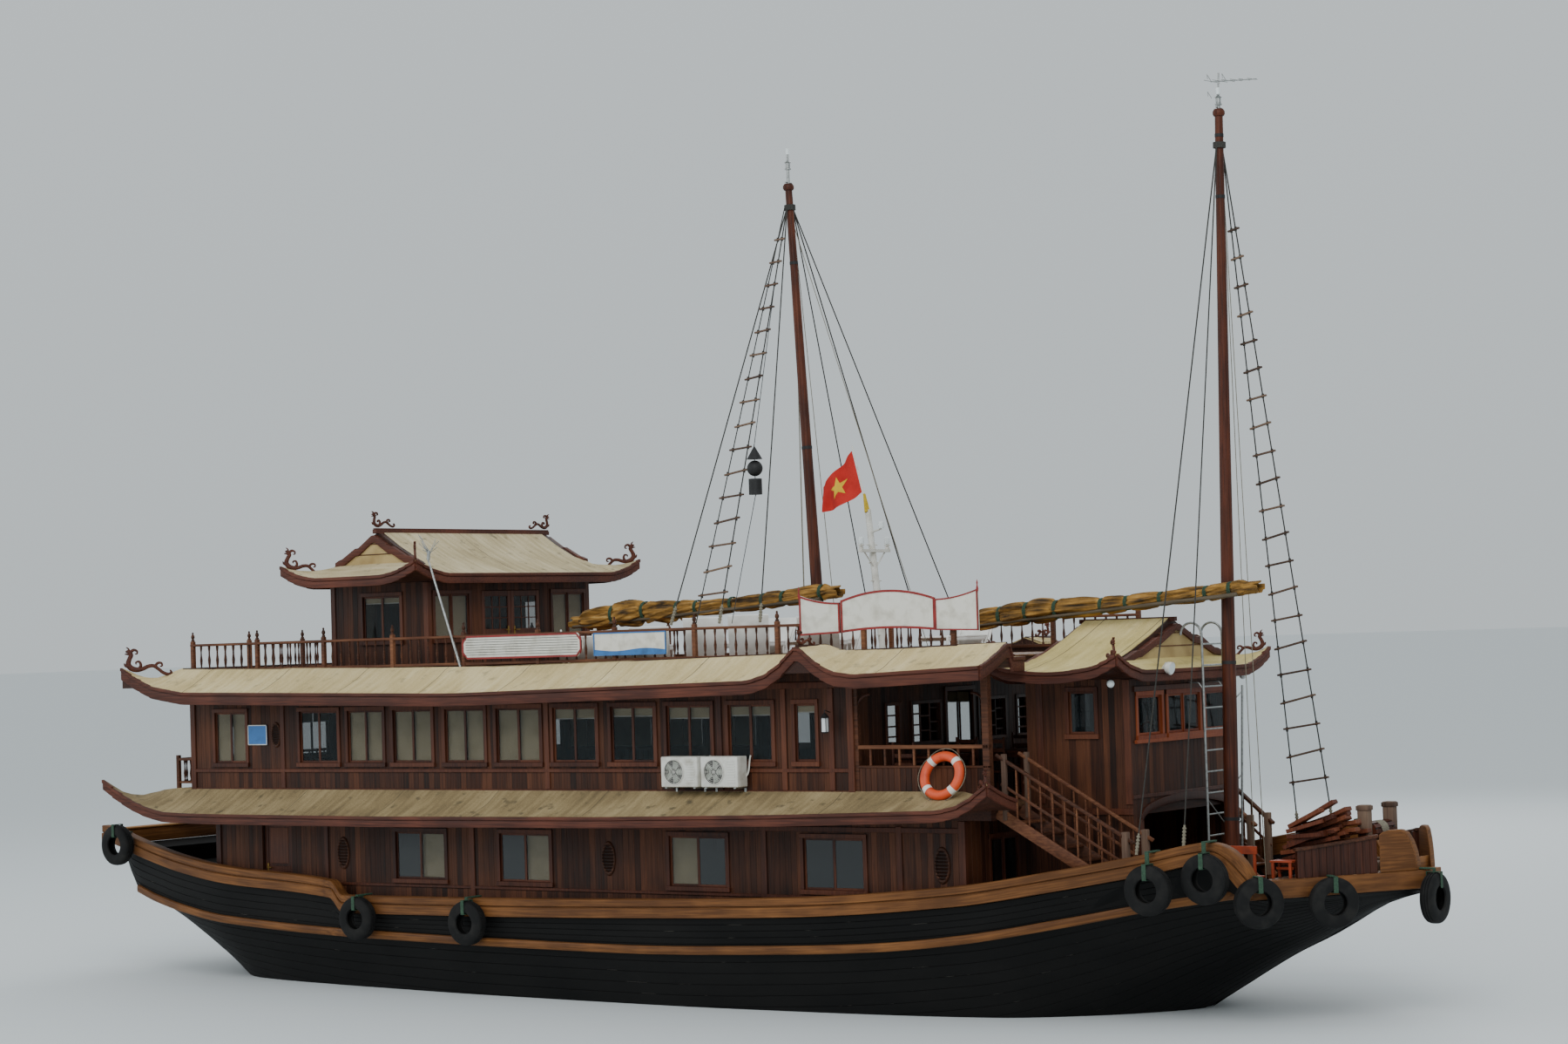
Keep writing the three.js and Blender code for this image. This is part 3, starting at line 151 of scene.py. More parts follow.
def done(piece, name, material, body=SHIP, smooth=35, stands_for=()):
    """Puts a piece's place in its mesh, gives it its name and finish and ties it to its body."""
    settle(piece)
    piece.name = piece.data.name = name
    piece.data.materials.clear()
    piece.data.materials.append(material)
    bpy.ops.object.shade_smooth_by_angle(angle=math.radians(smooth))
    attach(piece, body)
    if stands_for:
        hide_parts(*stands_for)
    print(name, len(piece.data.polygons), "faces")
    return piece


# %% Primitives at their size and place
def block(low, high):
    """A cube between two corners."""
    begin()
    low, high = Vector(low), Vector(high)
    bpy.ops.mesh.primitive_cube_add(size=1, location=(low + high) / 2, scale=high - low)
    return bpy.context.object


BOX_FACES = 6


def toned(piece):
    """Gives each squared board of a piece a random tone between 0 and 1."""
    tones = piece.data.attributes.new("tone", "FLOAT", "FACE")
    count = len(piece.data.polygons)
    chosen = np.random.default_rng(count).random(count // BOX_FACES + 1)
    tones.data.foreach_set("value", np.repeat(chosen, BOX_FACES)[:count].astype(np.float32))
    return piece


def timbers(boards, bevel, segments=1):
    """Squared boards joined in one piece, each with its own tone, their arrises eased."""
    made = toned(join(boards))
    return eased(made, bevel, segments) if bevel else made


def blocks(corners, bevel=0.006, segments=1):
    """Squared boards between pairs of corners, in one piece."""
    unit = settle(block((-0.5, -0.5, -0.5), (0.5, 0.5, 0.5)))
    twins = []
    for low, high in corners:
        low, high = Vector(low), Vector(high)
        twins.append(copy_at(unit, (low + high) / 2, size=high - low))
    bpy.data.objects.remove(unit)
    return timbers(twins, bevel, segments)


def facing_from(piece, inside):
    """Turns an open sheet so that it faces away from a place inside the ship."""
    total = 0.0
    for face in list(piece.data.polygons)[:: max(1, len(piece.data.polygons) // 400)]:
        total += face.normal.dot(face.center - Vector(inside(face.center)))
    if total < 0:
        pick(piece)
        bpy.ops.object.mode_set(mode="EDIT")
        bpy.ops.mesh.select_all(action="SELECT")
        bpy.ops.mesh.flip_normals()
        bpy.ops.object.mode_set(mode="OBJECT")
    return piece


def rod(start, end, radius, tip=None, sides=12):
    """A round bar between two points, tapering if the tip has its own radius."""
    begin()
    start, end = Vector(start), Vector(end)
    along = end - start
    bpy.ops.mesh.primitive_cone_add(
        vertices=sides, radius1=radius, radius2=radius if tip is None else tip, depth=along.length,
        location=(start + end) / 2, rotation=along.to_track_quat("Z", "Y").to_euler(),
    )
    return bpy.context.object


def spar(start, end, width, depth):
    """A squared bar between two points, its width level across."""
    begin()
    start, end = Vector(start), Vector(end)
    along = end - start
    bpy.ops.mesh.primitive_cube_add(
        size=1, location=(start + end) / 2, rotation=along.to_track_quat("X", "Z").to_euler(),
        scale=(along.length, width, depth),
    )
    return bpy.context.object


def turned(profile, steps=16):
    """A turned shape: the profile of (radius, height) points is spun round the upright axis."""
    mesh = bpy.data.meshes.new("profile")
    mesh.from_pydata([(r, 0, z) for r, z in profile], [(i, i + 1) for i in range(len(profile) - 1)], [])
    piece = bpy.data.objects.new("profile", mesh)
    bpy.context.scene.collection.objects.link(piece)
    modify(piece, "SCREW", steps=steps, render_steps=steps, use_merge_vertices=True, merge_threshold=0.0002)
    return recalculate(piece)


def grid(columns, rows, place, size=None):
    """A grid primitive whose points go to place(u, v), u and v from 0 to 1. Its UV map is in metres."""
    begin()
    bpy.ops.mesh.primitive_grid_add(x_subdivisions=columns, y_subdivisions=rows, size=2)
    piece = bpy.context.object
    for vertex in piece.data.vertices:
        vertex.co = place((vertex.co.x + 1) / 2, (vertex.co.y + 1) / 2)
    if size:
        for loop in piece.data.uv_layers[0].data:
            loop.uv = (loop.uv[0] * size[0], loop.uv[1] * size[1])
    return piece


def rope(points, radius, resolution=2, smooth=False):
    """A rope or tube along points, made as a curve with a round section and turned into a mesh."""
    begin()
    curve = bpy.data.curves.new("rope", "CURVE")
    curve.dimensions = "3D"
    curve.bevel_depth = radius
    curve.bevel_resolution = resolution
    curve.use_fill_caps = True
    curve.resolution_u = 4
    line = curve.splines.new("NURBS" if smooth else "POLY")
    line.points.add(len(points) - 1)
    for i, point in enumerate(points):
        line.points[i].co = (*point, 1)
    if smooth:
        line.order_u = 3
        line.use_endpoint_u = True
    piece = bpy.data.objects.new("rope", curve)
    bpy.context.scene.collection.objects.link(piece)
    pick(piece)
    bpy.ops.object.convert(target="MESH")
    return bpy.context.object


def grain_along(piece, heading):
    """Gives a piece a UV map in metres whose U runs along the grain, for timber that lies askew."""
    mesh = piece.data
    layer = mesh.uv_layers[0] if mesh.uv_layers else mesh.uv_layers.new(name="UVMap")
    along = Vector(heading).normalized()
    for face in mesh.polygons:
        across = along.cross(face.normal)
        across = across.normalized() if across.length > 0.2 else along.orthogonal()
        for loop in face.loop_indices:
            point = mesh.vertices[mesh.loops[loop].vertex_index].co
            layer.data[loop].uv = (point.dot(along), point.dot(across))
    return piece


def between(stops, t):
    """Reads a value from a short list of (place, value) stops."""
    return float(np.interp(t, [s[0] for s in stops], [s[1] for s in stops]))


print("helpers ready")

# %% [markdown]
# ## Helpers for materials
# Colours are written as sRGB hex values and turned to linear ones. A picture could colour a surface, but a
# pattern made by nodes stays sharp from close by and needs no file. One function adds a node with its
# settings and links, and each material is named for what the real surface is.

# %% Colour and nodes
def linear(code):
    """Turns an sRGB hex colour to the linear RGBA that a socket takes."""
    values = [int(code[i : i + 2], 16) / 255 for i in (1, 3, 5)]
    return (*[v / 12.92 if v <= 0.04045 else ((v + 0.055) / 1.055) ** 2.4 for v in values], 1.0)


def node(tree, kind, links=None, stops=None, **settings):
    """Adds a node. links gives inputs a value or another node's output; stops are a ramp's colours."""
    made = tree.nodes.new("ShaderNode" + kind)
    for key, value in settings.items():
        setattr(made, key, value)
    for key, value in (links or {}).items():
        if isinstance(value, bpy.types.NodeSocket):
            tree.links.new(value, made.inputs[key])
        else:
            made.inputs[key].default_value = value
    if stops:
        ramp = made.color_ramp.elements
        while len(ramp) < len(stops):
            ramp.new(0.5)
        for element, (place, code) in zip(ramp, stops):
            element.position = place
            element.color = linear(code)
    return made


def blank(name, roughness=0.5, metallic=0.0, color="#808080"):
    """A new material with its shader's plain values set."""
    material = bpy.data.materials.new(name)
    material.use_nodes = True
    tree = material.node_tree
    shader = tree.nodes["Principled BSDF"]
    shader.inputs["Roughness"].default_value = roughness
    shader.inputs["Metallic"].default_value = metallic
    shader.inputs["Base Color"].default_value = linear(color)
    return material, tree, shader


def bump(tree, shader, height, millimetres, strength=0.6):
    """Gives a shader a relief of a real depth."""
    made = node(tree, "Bump", {"Strength": strength, "Distance": millimetres / 1000, "Height": height})
    tree.links.new(made.outputs["Normal"], shader.inputs["Normal"])


def cloudy(tree, source, scale, detail=3.0, stretch=(1, 1, 1)):
    """Noise in object space, stretched along an axis. The scale is in features per metre."""
    spread = node(tree, "Mapping", {"Vector": source, "Scale": [scale * s for s in stretch]})
    settings = {"Vector": spread.outputs[0], "Scale": 1.0, "Detail": detail}
    return node(tree, "TexNoise", settings).outputs["Fac"]


def blend(tree, parts):
    """Adds up values, each times its own weight."""
    total = 0.0
    for value, weight in parts:
        total = node(tree, "Math", {0: value, 1: weight, 2: total}, operation="MULTIPLY_ADD").outputs[0]
    return total


# %% [markdown]
# ## Timber finishes
# Nearly everything is tropical hardwood. A picture of a board would repeat, so the grain is noise stretched
# along the board, 20 to 40 times as long as wide. Each board has its own tone, a random number kept with its
# faces, as boards from several trees have.

# %% Boards, beams and poles
TIMBER_SHINE = 0.25  # oiled and weathered wood gives back little light
GRAIN_DEPTH = 0.6  # millimetres


def timber(name, tones, grain, rough=(0.45, 0.7), own=0.45, space="Object"):
    """Hardwood. tones run from dark to light, grain is the noise's features per metre along x, y and z,
    and own tells how much each board's own tone counts. Bent timber has its grain in the UV space."""
    material, tree, shader = blank(name)
    shader.inputs["Specular IOR Level"].default_value = TIMBER_SHINE
    place = node(tree, "TexCoord").outputs[space]
    tone = node(tree, "Attribute", attribute_name="tone").outputs["Fac"]
    shifted = node(tree, "VectorMath", {0: place, 1: tone}, operation="ADD").outputs[0]
    fine = cloudy(tree, shifted, 1.0, 4.0, grain)
    patch = cloudy(tree, place, 1.1, 3.0)
    mixed = blend(tree, [(fine, 0.45), (tone, own * 0.5), (patch, 0.4)])
    color = node(tree, "ValToRGB", {"Fac": mixed}, [(0.36, tones[0]), (0.54, tones[1]), (0.78, tones[2])])
    tree.links.new(color.outputs["Color"], shader.inputs["Base Color"])
    gloss = node(tree, "MapRange", {"Value": patch, "To Min": rough[0], "To Max": rough[1]})
    tree.links.new(gloss.outputs["Result"], shader.inputs["Roughness"])
    bump(tree, shader, fine, GRAIN_DEPTH)
    return material


UPRIGHT, ALONG, ACROSS = (38, 38, 1.6), (1.6, 38, 38), (38, 1.6, 38)  # which way the grain runs
wall_boards = timber("oiled_hardwood_boards", ("#1e0f09", "#3b1f12", "#603822"), UPRIGHT, own=0.5)
frame_wood = timber("varnished_red_hardwood", ("#2e160e", "#4c281a", "#6b3d28"), UPRIGHT, (0.35, 0.55))
fascia_wood = timber("stained_fascia_board", ("#43231a", "#663829", "#82503c"), ALONG)
honey_wood = timber("weathered_honey_timber", ("#573519", "#84562d", "#ab7c43"), ALONG, space="UV")
orange_wood = timber("varnished_orange_timber", ("#58240f", "#76361c", "#904c2c"), UPRIGHT, (0.35, 0.55))
mast_wood = timber("oiled_pine_pole", ("#3a1a0f", "#5f2f1c", "#7d482e"), UPRIGHT, (0.4, 0.6))
rail_wood = timber("weathered_rail_timber", ("#331c11", "#5c3622", "#87593b"), ALONG)
deck_wood = timber("scrubbed_deck_boards", ("#4a3021", "#7a573d", "#a07c5a"), ALONG)
ceiling_wood = timber("ceiling_boards", ("#2c1811", "#4a2a1d", "#6a402c"), ACROSS)

# %% [markdown]
# ## Paint, metal, rubber, cloth and glass
# These are simpler: one colour with the dirt, scuffs or weave that each real surface shows. One flat colour
# would look like new plastic, so most of them drift to a worn colour in cloudy patches.

# %% Other finishes
def coated(name, color, worn, rough, metallic=0.0, scale=6.0, relief=0.2, shine=0.5):
    """A painted, moulded or metal surface whose colour drifts to a worn one in cloudy patches."""
    material, tree, shader = blank(name, rough, metallic)
    shader.inputs["Specular IOR Level"].default_value = shine
    place = node(tree, "TexCoord").outputs["Object"]
    cloud = cloudy(tree, place, scale, 5.0)
    color_ramp = node(tree, "ValToRGB", {"Fac": cloud}, [(0.45, color), (0.75, worn)])
    tree.links.new(color_ramp.outputs["Color"], shader.inputs["Base Color"])
    gloss = node(tree, "MapRange", {"Value": cloud, "To Min": rough - 0.08, "To Max": rough + 0.15})
    tree.links.new(gloss.outputs["Result"], shader.inputs["Roughness"])
    bump(tree, shader, cloudy(tree, place, scale * 14), relief)
    return material


white_resin = coated("moulded_white_polypropylene", "#f4f4f0", "#dcdbd4", 0.4, 0.0, 4.0, shine=0.4)
white_enamel = coated("white_enamel_paint", "#d9d8d0", "#b3afa2", 0.4)
grey_sheet = coated("grey_green_sheet_metal", "#8f948a", "#6d7167", 0.5)
galvanised = coated("galvanised_steel", "#a7aaa8", "#7e8180", 0.45, 0.85, 18.0)
bronze = coated("cast_bronze", "#9c7440", "#5f5636", 0.4, 0.9, 10.0)
rubber = coated("vulcanised_rubber", "#111111", "#252422", 0.75, 0.0, 5.0, relief=0.6, shine=0.25)
black_paint = coated("matt_black_paint", "#0d0d0e", "#242424", 0.6)
bottom_paint = coated("antifouling_paint", "#171616", "#292522", 0.65, 0.0, 3.0, shine=0.2)
tarred_side = coated("tarred_hull_timber", "#0b0b0b", "#191817", 0.65, 0.0, 1.5, shine=0.15)
green_rope = coated("green_nylon_rope", "#24402f", "#3c5c45", 0.8, 0.0, 40.0, relief=1.5)
grey_rope = coated("laid_hemp_rope", "#86806f", "#5c574a", 0.9, 0.0, 60.0, relief=1.5)
dark_rope = coated("tarred_rope", "#2b2a27", "#45423b", 0.85, 0.0, 50.0, relief=1.5)
bright_orange = coated("orange_polyethylene", "#e0562c", "#c6421d", 0.45, 0.0, 5.0)
white_band = coated("white_reflective_tape", "#e8e6df", "#cfccc2", 0.5)
red_paint = coated("red_gloss_paint", "#8e1f1b", "#6c1613", 0.4)
white_board = coated("white_sign_paint", "#dfddd3", "#c2beb0", 0.5)
blue_paint = coated("blue_gloss_paint", "#2f6fb0", "#28598c", 0.4)
bench_orange = coated("orange_varnished_pine", "#9c3a17", "#6b280f", 0.5)
blind_cloth = coated("cream_roller_blind", "#c9bb98", "#b3a583", 0.85, 0.0, 3.0, relief=0.02)
tan_board = coated("tan_gable_board", "#b79f6c", "#93794a", 0.7, 0.0, 2.0)
brass_lamp = coated("lacquered_brass", "#8c6f37", "#6a5127", 0.35, 0.9, 12.0)

window_glass, _, shader = blank("float_glass", 0.04, 0.0, "#1a2224")
shader.inputs["Alpha"].default_value = 0.3
shader.inputs["Specular IOR Level"].default_value = 0.6
# Dark, nearly opaque glass for windows with no blind: painted shade of the unlit cabin behind it
cabin_shade_glass, _, shader = blank("float_glass_with_painted_cabin_shade", 0.05, 0.0, "#171d1f")
shader.inputs["Alpha"].default_value = 0.82
shader.inputs["Specular IOR Level"].default_value = 0.6
lamp_glass, _, shader = blank("frosted_lamp_glass", 0.25, 0.0, "#dfe6e6")
grey_boards = ("#3a2c25", "#5d483c", "#7c6655")
weathered_wood = timber("weathered_grey_brown_boards", grey_boards, UPRIGHT, (0.7, 0.9), own=0.6)
grey_pole = timber("weathered_bamboo_pole", ("#4c4336", "#6b6050", "#877a66"), ALONG, (0.7, 0.9))
red_cloth = coated("red_bunting", "#c2261c", "#a51c15", 0.85, 0.0, 3.0, relief=0.05)
gold_cloth = coated("yellow_bunting", "#dcb52c", "#c9a022", 0.85, 0.0, 5.0, relief=0.05)
tassel_yellow = coated("yellow_silk_cord", "#c9ab2b", "#a88c1f", 0.8, 0.0, 20.0)
print("finishes", len(bpy.data.materials))

# %% [markdown]
# ## Camera, floor and light
# The view is the photograph's: from starboard, ahead of the bow, a little above the water. The pale floor
# lies at the waterline. A pale sky gives the even light of an overcast day, and three large lamps add shape
# to it, because their side and softness are easy to set.

# %% Camera
IMAGE_WIDTH = 1800
FOCAL_PIXELS = 3611.4  # found with the ship's own plumb and level lines
SENSOR = 36.0
EYE = Vector((32.68, -43.18, 5.98))
YAW, PITCH, ROLL = (math.radians(a) for a in (36.18, 2.019, -1.838))

forward = Vector((-math.sin(YAW) * math.cos(PITCH), math.cos(YAW) * math.cos(PITCH), math.sin(PITCH)))
level = Vector((math.cos(YAW), math.sin(YAW), 0))
upward = level.cross(forward)
right = level * math.cos(ROLL) + upward * math.sin(ROLL)
top = upward * math.cos(ROLL) - level * math.sin(ROLL)
lens = bpy.data.cameras.new("camera")
lens.lens = FOCAL_PIXELS * SENSOR / IMAGE_WIDTH
lens.sensor_width = SENSOR
lens.clip_end = 2000
camera = bpy.data.objects.new("camera", lens)
bpy.context.scene.collection.objects.link(camera)
turn = Matrix((right, top, -forward)).transposed().to_4x4()
camera.matrix_world = Matrix.Translation(EYE) @ turn
bpy.context.scene.camera = camera
print("lens", round(lens.lens, 1), "mm")

# %% Floor and light
FLOOR_HALF = 900.0
begin()
bpy.ops.mesh.primitive_plane_add(size=2 * FLOOR_HALF, location=(0, 0, 0))
floor = bpy.context.object
floor.name = "floor"
floor_finish, _, _ = blank("pale_studio_floor", 0.75, 0.0, "#dde3e5")
floor.data.materials.append(floor_finish)

world = bpy.data.worlds.new("studio")
bpy.context.scene.world = world
world.use_nodes = True
sky = world.node_tree.nodes["Background"]
sky.inputs["Strength"].default_value = 1.0
heading = node(world.node_tree, "TexCoord").outputs["Generated"]
height = node(world.node_tree, "SeparateXYZ", {0: heading}).outputs["Z"]
fade = [(0.0, "#ccd4d7"), (0.06, "#cfd7da"), (0.3, "#d8dfe2")]
haze = node(world.node_tree, "ValToRGB", {"Fac": height}, fade)
world.node_tree.links.new(haze.outputs["Color"], sky.inputs["Color"])


def lamp(name, place, aim, size, watts):
    """A square soft lamp that points at a place on the ship."""
    data = bpy.data.lights.new(name, "AREA")
    data.shape, data.size, data.energy = "SQUARE", size, watts
    made = bpy.data.objects.new(name, data)
    bpy.context.scene.collection.objects.link(made)
    made.location = place
    made.rotation_euler = (Vector(aim) - Vector(place)).to_track_quat("-Z", "Y").to_euler()


lamp("key", (24, -38, 34), (0, 0, 3), 26, 11000)
lamp("fill", (-34, -30, 20), (0, 0, 3), 24, 3500)
lamp("back", (-10, 40, 30), (0, 0, 4), 26, 5000)
print("camera, floor and light ready")

# %% [markdown]
# ## The hull's lines
# A wooden hull is drawn as sections from stern to bow. Each row below gives the place along the ship and, in
# metres, the keel line, the bilge, the rubbing strake and the top edge. Between the sections the lines run
# fair, without bumps, as a batten bends. A box with a subdivision modifier would be quicker, but it doesn't
# keep to measured lines. Carvel planks then follow these lines with a caulked seam between.

# %% Lines
LINES = np.array([  # x, keel z, bilge y, bilge z, strake y, strake z, top y, top z
    (-12.75, 2.18, 1.50, 2.24, 2.50, 2.32, 2.62, 2.40),
    (-12.20, 1.25, 1.45, 1.34, 2.65, 1.58, 2.80, 2.28),
    (-11.40, 0.45, 1.45, 0.62, 2.85, 1.42, 2.95, 2.11),
    (-10.60, -0.15, 1.65, 0.16, 3.00, 1.27, 3.07, 1.96),
    (-9.30, -0.75, 2.10, -0.33, 3.14, 1.13, 3.21, 1.79),
    (-6.54, -1.18, 2.35, -0.72, 3.19, 1.00, 3.30, 1.60),
    (-6.23, -1.20, 2.38, -0.74, 3.20, 0.99, 3.31, 1.35),
    (-3.00, -1.35, 2.60, -0.88, 3.30, 0.95, 3.39, 1.38),
    (0.50, -1.40, 2.65, -0.90, 3.33, 0.935, 3.42, 1.45),
    (3.50, -1.35, 2.48, -0.80, 3.26, 1.02, 3.37, 1.54),
    (6.50, -1.05, 2.05, -0.48, 3.12, 1.26, 3.26, 1.77),
    (8.20, -0.40, 1.35, 0.06, 2.72, 1.55, 2.96, 2.03),
    (9.40, 0.28, 0.90, 0.64, 2.28, 1.78, 2.66, 2.24),
    (10.40, 0.86, 0.70, 1.08, 1.90, 1.90, 2.38, 2.42),
    (11.00, 1.15, 0.70, 1.30, 1.70, 1.80, 2.19, 1.88),
    (11.30, 1.312, 0.61, 1.432, 1.436, 1.815, 1.845, 1.888),
    (12.00, 1.69, 0.40, 1.74, 0.82, 1.85, 1.04, 1.908),
    (12.65, 1.88, 0.16, 1.892, 0.235, 1.908, 0.29, 1.926),
])
STERN, STEM = LINES[0, 0], LINES[-1, 0]
KEEL_HALF = 0.13
PLATE = {"aft": 11.0, "fore": 12.77, "half": (2.24, 0.2), "top": (2.15, 2.2), "depth": 0.27}
PLATE_TURN = math.atan2(PLATE["half"][0] - PLATE["half"][1], PLATE["fore"] - PLATE["aft"])


def fair(xs, values, x):
    """A fair line through stations, which never swings past them."""
    i = int(np.clip(np.searchsorted(xs, x) - 1, 0, len(xs) - 2))
    steps, rises = np.diff(xs), np.diff(values) / np.diff(xs)

    def slope(k):
        if k in (0, len(xs) - 1):
            return rises[min(k, len(rises) - 1)]
        a, b = rises[k - 1], rises[k]
        return 0.0 if a * b <= 0 else 2 * a * b / (a + b)

    h = steps[i]
    t = float(np.clip((x - xs[i]) / h, 0, 1))
    a, b = values[i], values[i + 1]
    return float(
        a * (1 + 2 * t) * (1 - t) ** 2 + b * t * t * (3 - 2 * t)
        + h * (slope(i) * t * (1 - t) ** 2 - slope(i + 1) * t * t * (1 - t))
    )


def section(x):
    """The four corners of the hull's section, as (y, z) to port."""
    row = [fair(LINES[:, 0], LINES[:, k], x) for k in range(1, 8)]
    return [(KEEL_HALF, row[0]), (row[1], row[2]), (row[3], row[4]), (row[5], row[6])]


def side_at(x, z):
    """Half width of the hull's side at a height."""
    _, low, middle, high = section(x)
    a, b = (middle, high) if z > middle[1] else (low, middle)
    return a[0] + (b[0] - a[0]) * float(np.clip((z - a[1]) / (b[1] - a[1]), 0, 1))


def platform_at(x):
    """Half breadth and top of the bow platform."""
    t = (x - PLATE["aft"]) / (PLATE["fore"] - PLATE["aft"])
    return [a + (b - a) * t for a, b in (PLATE["half"], PLATE["top"])]


def platform_out(sign):
    """The way out from the platform's edge, square to it."""
    return Vector((math.sin(PLATE_TURN), sign * math.cos(PLATE_TURN), 0))


def platform_edge(x, sign, inset=0.0, lift=0.0):
    """A point on the platform's edge, or so far inside it and over it."""
    half, top = platform_at(x)
    return Vector((x, sign * half, top + lift)) - platform_out(sign) * inset


def stations(start, end, step=0.2, close=((-6.7, -6.05), (10.2, 11.5))):
    """Places along the ship, closer together where the lines bend sharply."""
    places = list(np.arange(start, end, step)) + [end]
    for a, b in close:
        places += [x for x in np.arange(a, b, 0.05) if start < x < end]
    return sorted({round(float(x), 4) for x in places})


print("hull lines ready")

# %% Planking
PLANKS = (6, 10, 5)  # from keel to bilge, to the strake and to the top edge
SKIN = 0.014
SEAM, CHAMFER = 0.004, 0.009
ROUND_OUT = [
    (-12.75, 0.0), (-11.0, 0.03), (4.5, 0.025), (7.0, 0.06), (10.0, 0.06), (12.0, 0.01), (12.65, 0.0),
]


def plank_points(corners, round_out):
    """Points round a section, four to a plank: its two seams lie back and its face stands proud. Below the
    strake the section rounds out between its corners, as bent planks do."""
    points = []
    for (y0, z0), (y1, z1), count in zip(corners[:-1], corners[1:], PLANKS):
        full = round_out if count != PLANKS[2] else 0.0
        length = math.hypot(y1 - y0, z1 - z0) or 1
        ny, nz = (z1 - z0) / length, -(y1 - y0) / length
        for k in range(count):
            width = length / count
            for edge, lift in ((SEAM, SEAM), (CHAMFER, SKIN), (width - CHAMFER, SKIN), (width - SEAM, SEAM)):
                t = (k * width + edge) / length
                out = lift + full * math.sin(math.pi * t)
                points.append((y0 + (y1 - y0) * t + ny * out, z0 + (z1 - z0) * t + nz * out))
    return points


def planking(name):
    """The planks of both sides, as two open sheets that follow the hull's lines."""
    places = stations(STERN, STEM, 0.26)
    rings = [plank_points(section(x), between(ROUND_OUT, x)) for x in places]
    rows = len(rings[0]) - 1
    last = len(places) - 1

    def place(u, v):
        i = round(u * last)
        y, z = rings[i][round(v * rows)]
        return Vector((places[i], -y, z))

    skin = grid(last, rows, place, (STEM - STERN, sum(PLANKS)))
    port = settle(copy_at(skin, size=(1, -1, 1)))
    for sheet in (skin, port):
        facing_from(sheet, lambda c: (c.x, 0, max(c.z, 0.6)))
    return done(join([skin, port]), name, hull_paint, smooth=25)


def hull_finish():
    """Black paint over planks: cloudy, with pale caulking that shows here and there in the seams."""
    material, tree, shader = blank("black_hull_paint", 0.62)
    shader.inputs["Specular IOR Level"].default_value = 0.15
    coord = node(tree, "TexCoord")
    place, uv = coord.outputs["Object"], node(tree, "SeparateXYZ", {0: coord.outputs["UV"]}).outputs
    cloud = cloudy(tree, place, 0.7, 6.0, (0.6, 1, 1.6))
    base = node(tree, "ValToRGB", {"Fac": cloud}, [(0.3, "#0b0b0b"), (0.75, "#191817")]).outputs["Color"]
    across = node(tree, "Math", {0: uv["Y"]}, operation="FRACT").outputs[0]
    edge = node(tree, "Math", {0: across, 1: 0.5}, operation="SUBTRACT").outputs[0]
    edge = node(tree, "Math", {0: edge}, operation="ABSOLUTE").outputs[0]
    seam = node(tree, "MapRange", {"Value": edge, "From Min": 0.44, "From Max": 0.49}).outputs["Result"]
    dashes = cloudy(tree, place, 1.0, 5.0, (1.7, 3, 9))
    patchy = node(tree, "MapRange", {"Value": dashes, "From Min": 0.62, "From Max": 0.66}).outputs["Result"]
    pale = node(tree, "Math", {0: seam, 1: patchy}, operation="MULTIPLY").outputs[0]
    painted = node(tree, "Mix", {"Factor": pale, 6: base, 7: linear("#86827a")}, data_type="RGBA")
    tree.links.new(painted.outputs[2], shader.inputs["Base Color"])
    bump(tree, shader, cloudy(tree, place, 1.0, 4.0, (3, 40, 40)), 0.8)
    return material


hull_paint = hull_finish()
planking("hull_planking")

# %% [markdown]
# ## Gunwale and rubbing strake
# The gunwale is two timbers, a deep wale with a rail on it, and both drop in an S where the low waist
# begins. At the bow they curve down to the platform. The strake is one rounded timber along the side. All
# three are mouldings carried along the hull's lines. A curve with a bevel profile could carry them too, but
# it tilts its section in the bends, and these stay upright.

# %% Gunwale and strake
GUNWALE_HEIGHT = 0.31
GUNWALE_ENDS = (-13.15, 10.98)
BOW_ROUND = {"start": 10.35, "long": 0.66, "foot": 1.9, "tall": 0.83}


def gunwale_height(x):
    """Height of the gunwale over the top edge: at the bow its top falls in a quarter round."""
    if x <= BOW_ROUND["start"]:
        return GUNWALE_HEIGHT
    share = (x - BOW_ROUND["start"]) / BOW_ROUND["long"]
    round_top = BOW_ROUND["foot"] + BOW_ROUND["tall"] * math.sqrt(max(0.0, 1 - share ** 2))
    return max(0.05, round_top - section(x)[3][1])


def rounded(a0, a1, b0, b1, r):
    """A rectangle with its corners cut twice."""
    s = 0.3 * r
    return [
        (a0 + r, b0), (a1 - r, b0), (a1 - s, b0 + s), (a1, b0 + r), (a1, b1 - r), (a1 - s, b1 - s),
        (a1 - r, b1), (a0 + r, b1), (a0 + s, b1 - s), (a0, b1 - r), (a0, b0 + r), (a0 + s, b0 + s),
    ]


def moulding(places, frame_at, profile):
    """Carries a profile along places. frame_at gives the point, the outward way and the profile's scale."""
    last, count = len(places) - 1, len(profile)
    frames = [frame_at(x) for x in places]

    def place(u, v):
        point, out, (wide, high) = frames[round(u * last)]
        a, b = profile[round(v * count) % count]
        return point + out * (a * wide) + Vector((0, 0, b * high))

    length = sum((b[0] - a[0]).length for a, b in zip(frames, frames[1:]))
    girth = sum(math.dist(a, b) for a, b in zip(profile, profile[1:] + profile[:1]))
    return recalculate(grid(last, count, place, (length, girth)), fill=True)


def gunwale_frame(x):
    """Where the gunwale stands. Past the hull's last section it goes on level and rises a little."""
    y, z = section(max(x, STERN))[3]
    rise = 0.12 * max(0.0, STERN - x)
    return Vector((x, -y, z + rise)), Vector((0, -1, 0)), (1, gunwale_height(x))


def strake_frame(x):
    """Where the rubbing strake lies on the side."""
    z = fair(STRAKE_X, STRAKE_Z, x)
    return Vector((x, -side_at(x, z), z)), Vector((0, -1, 0)), (1, 1)


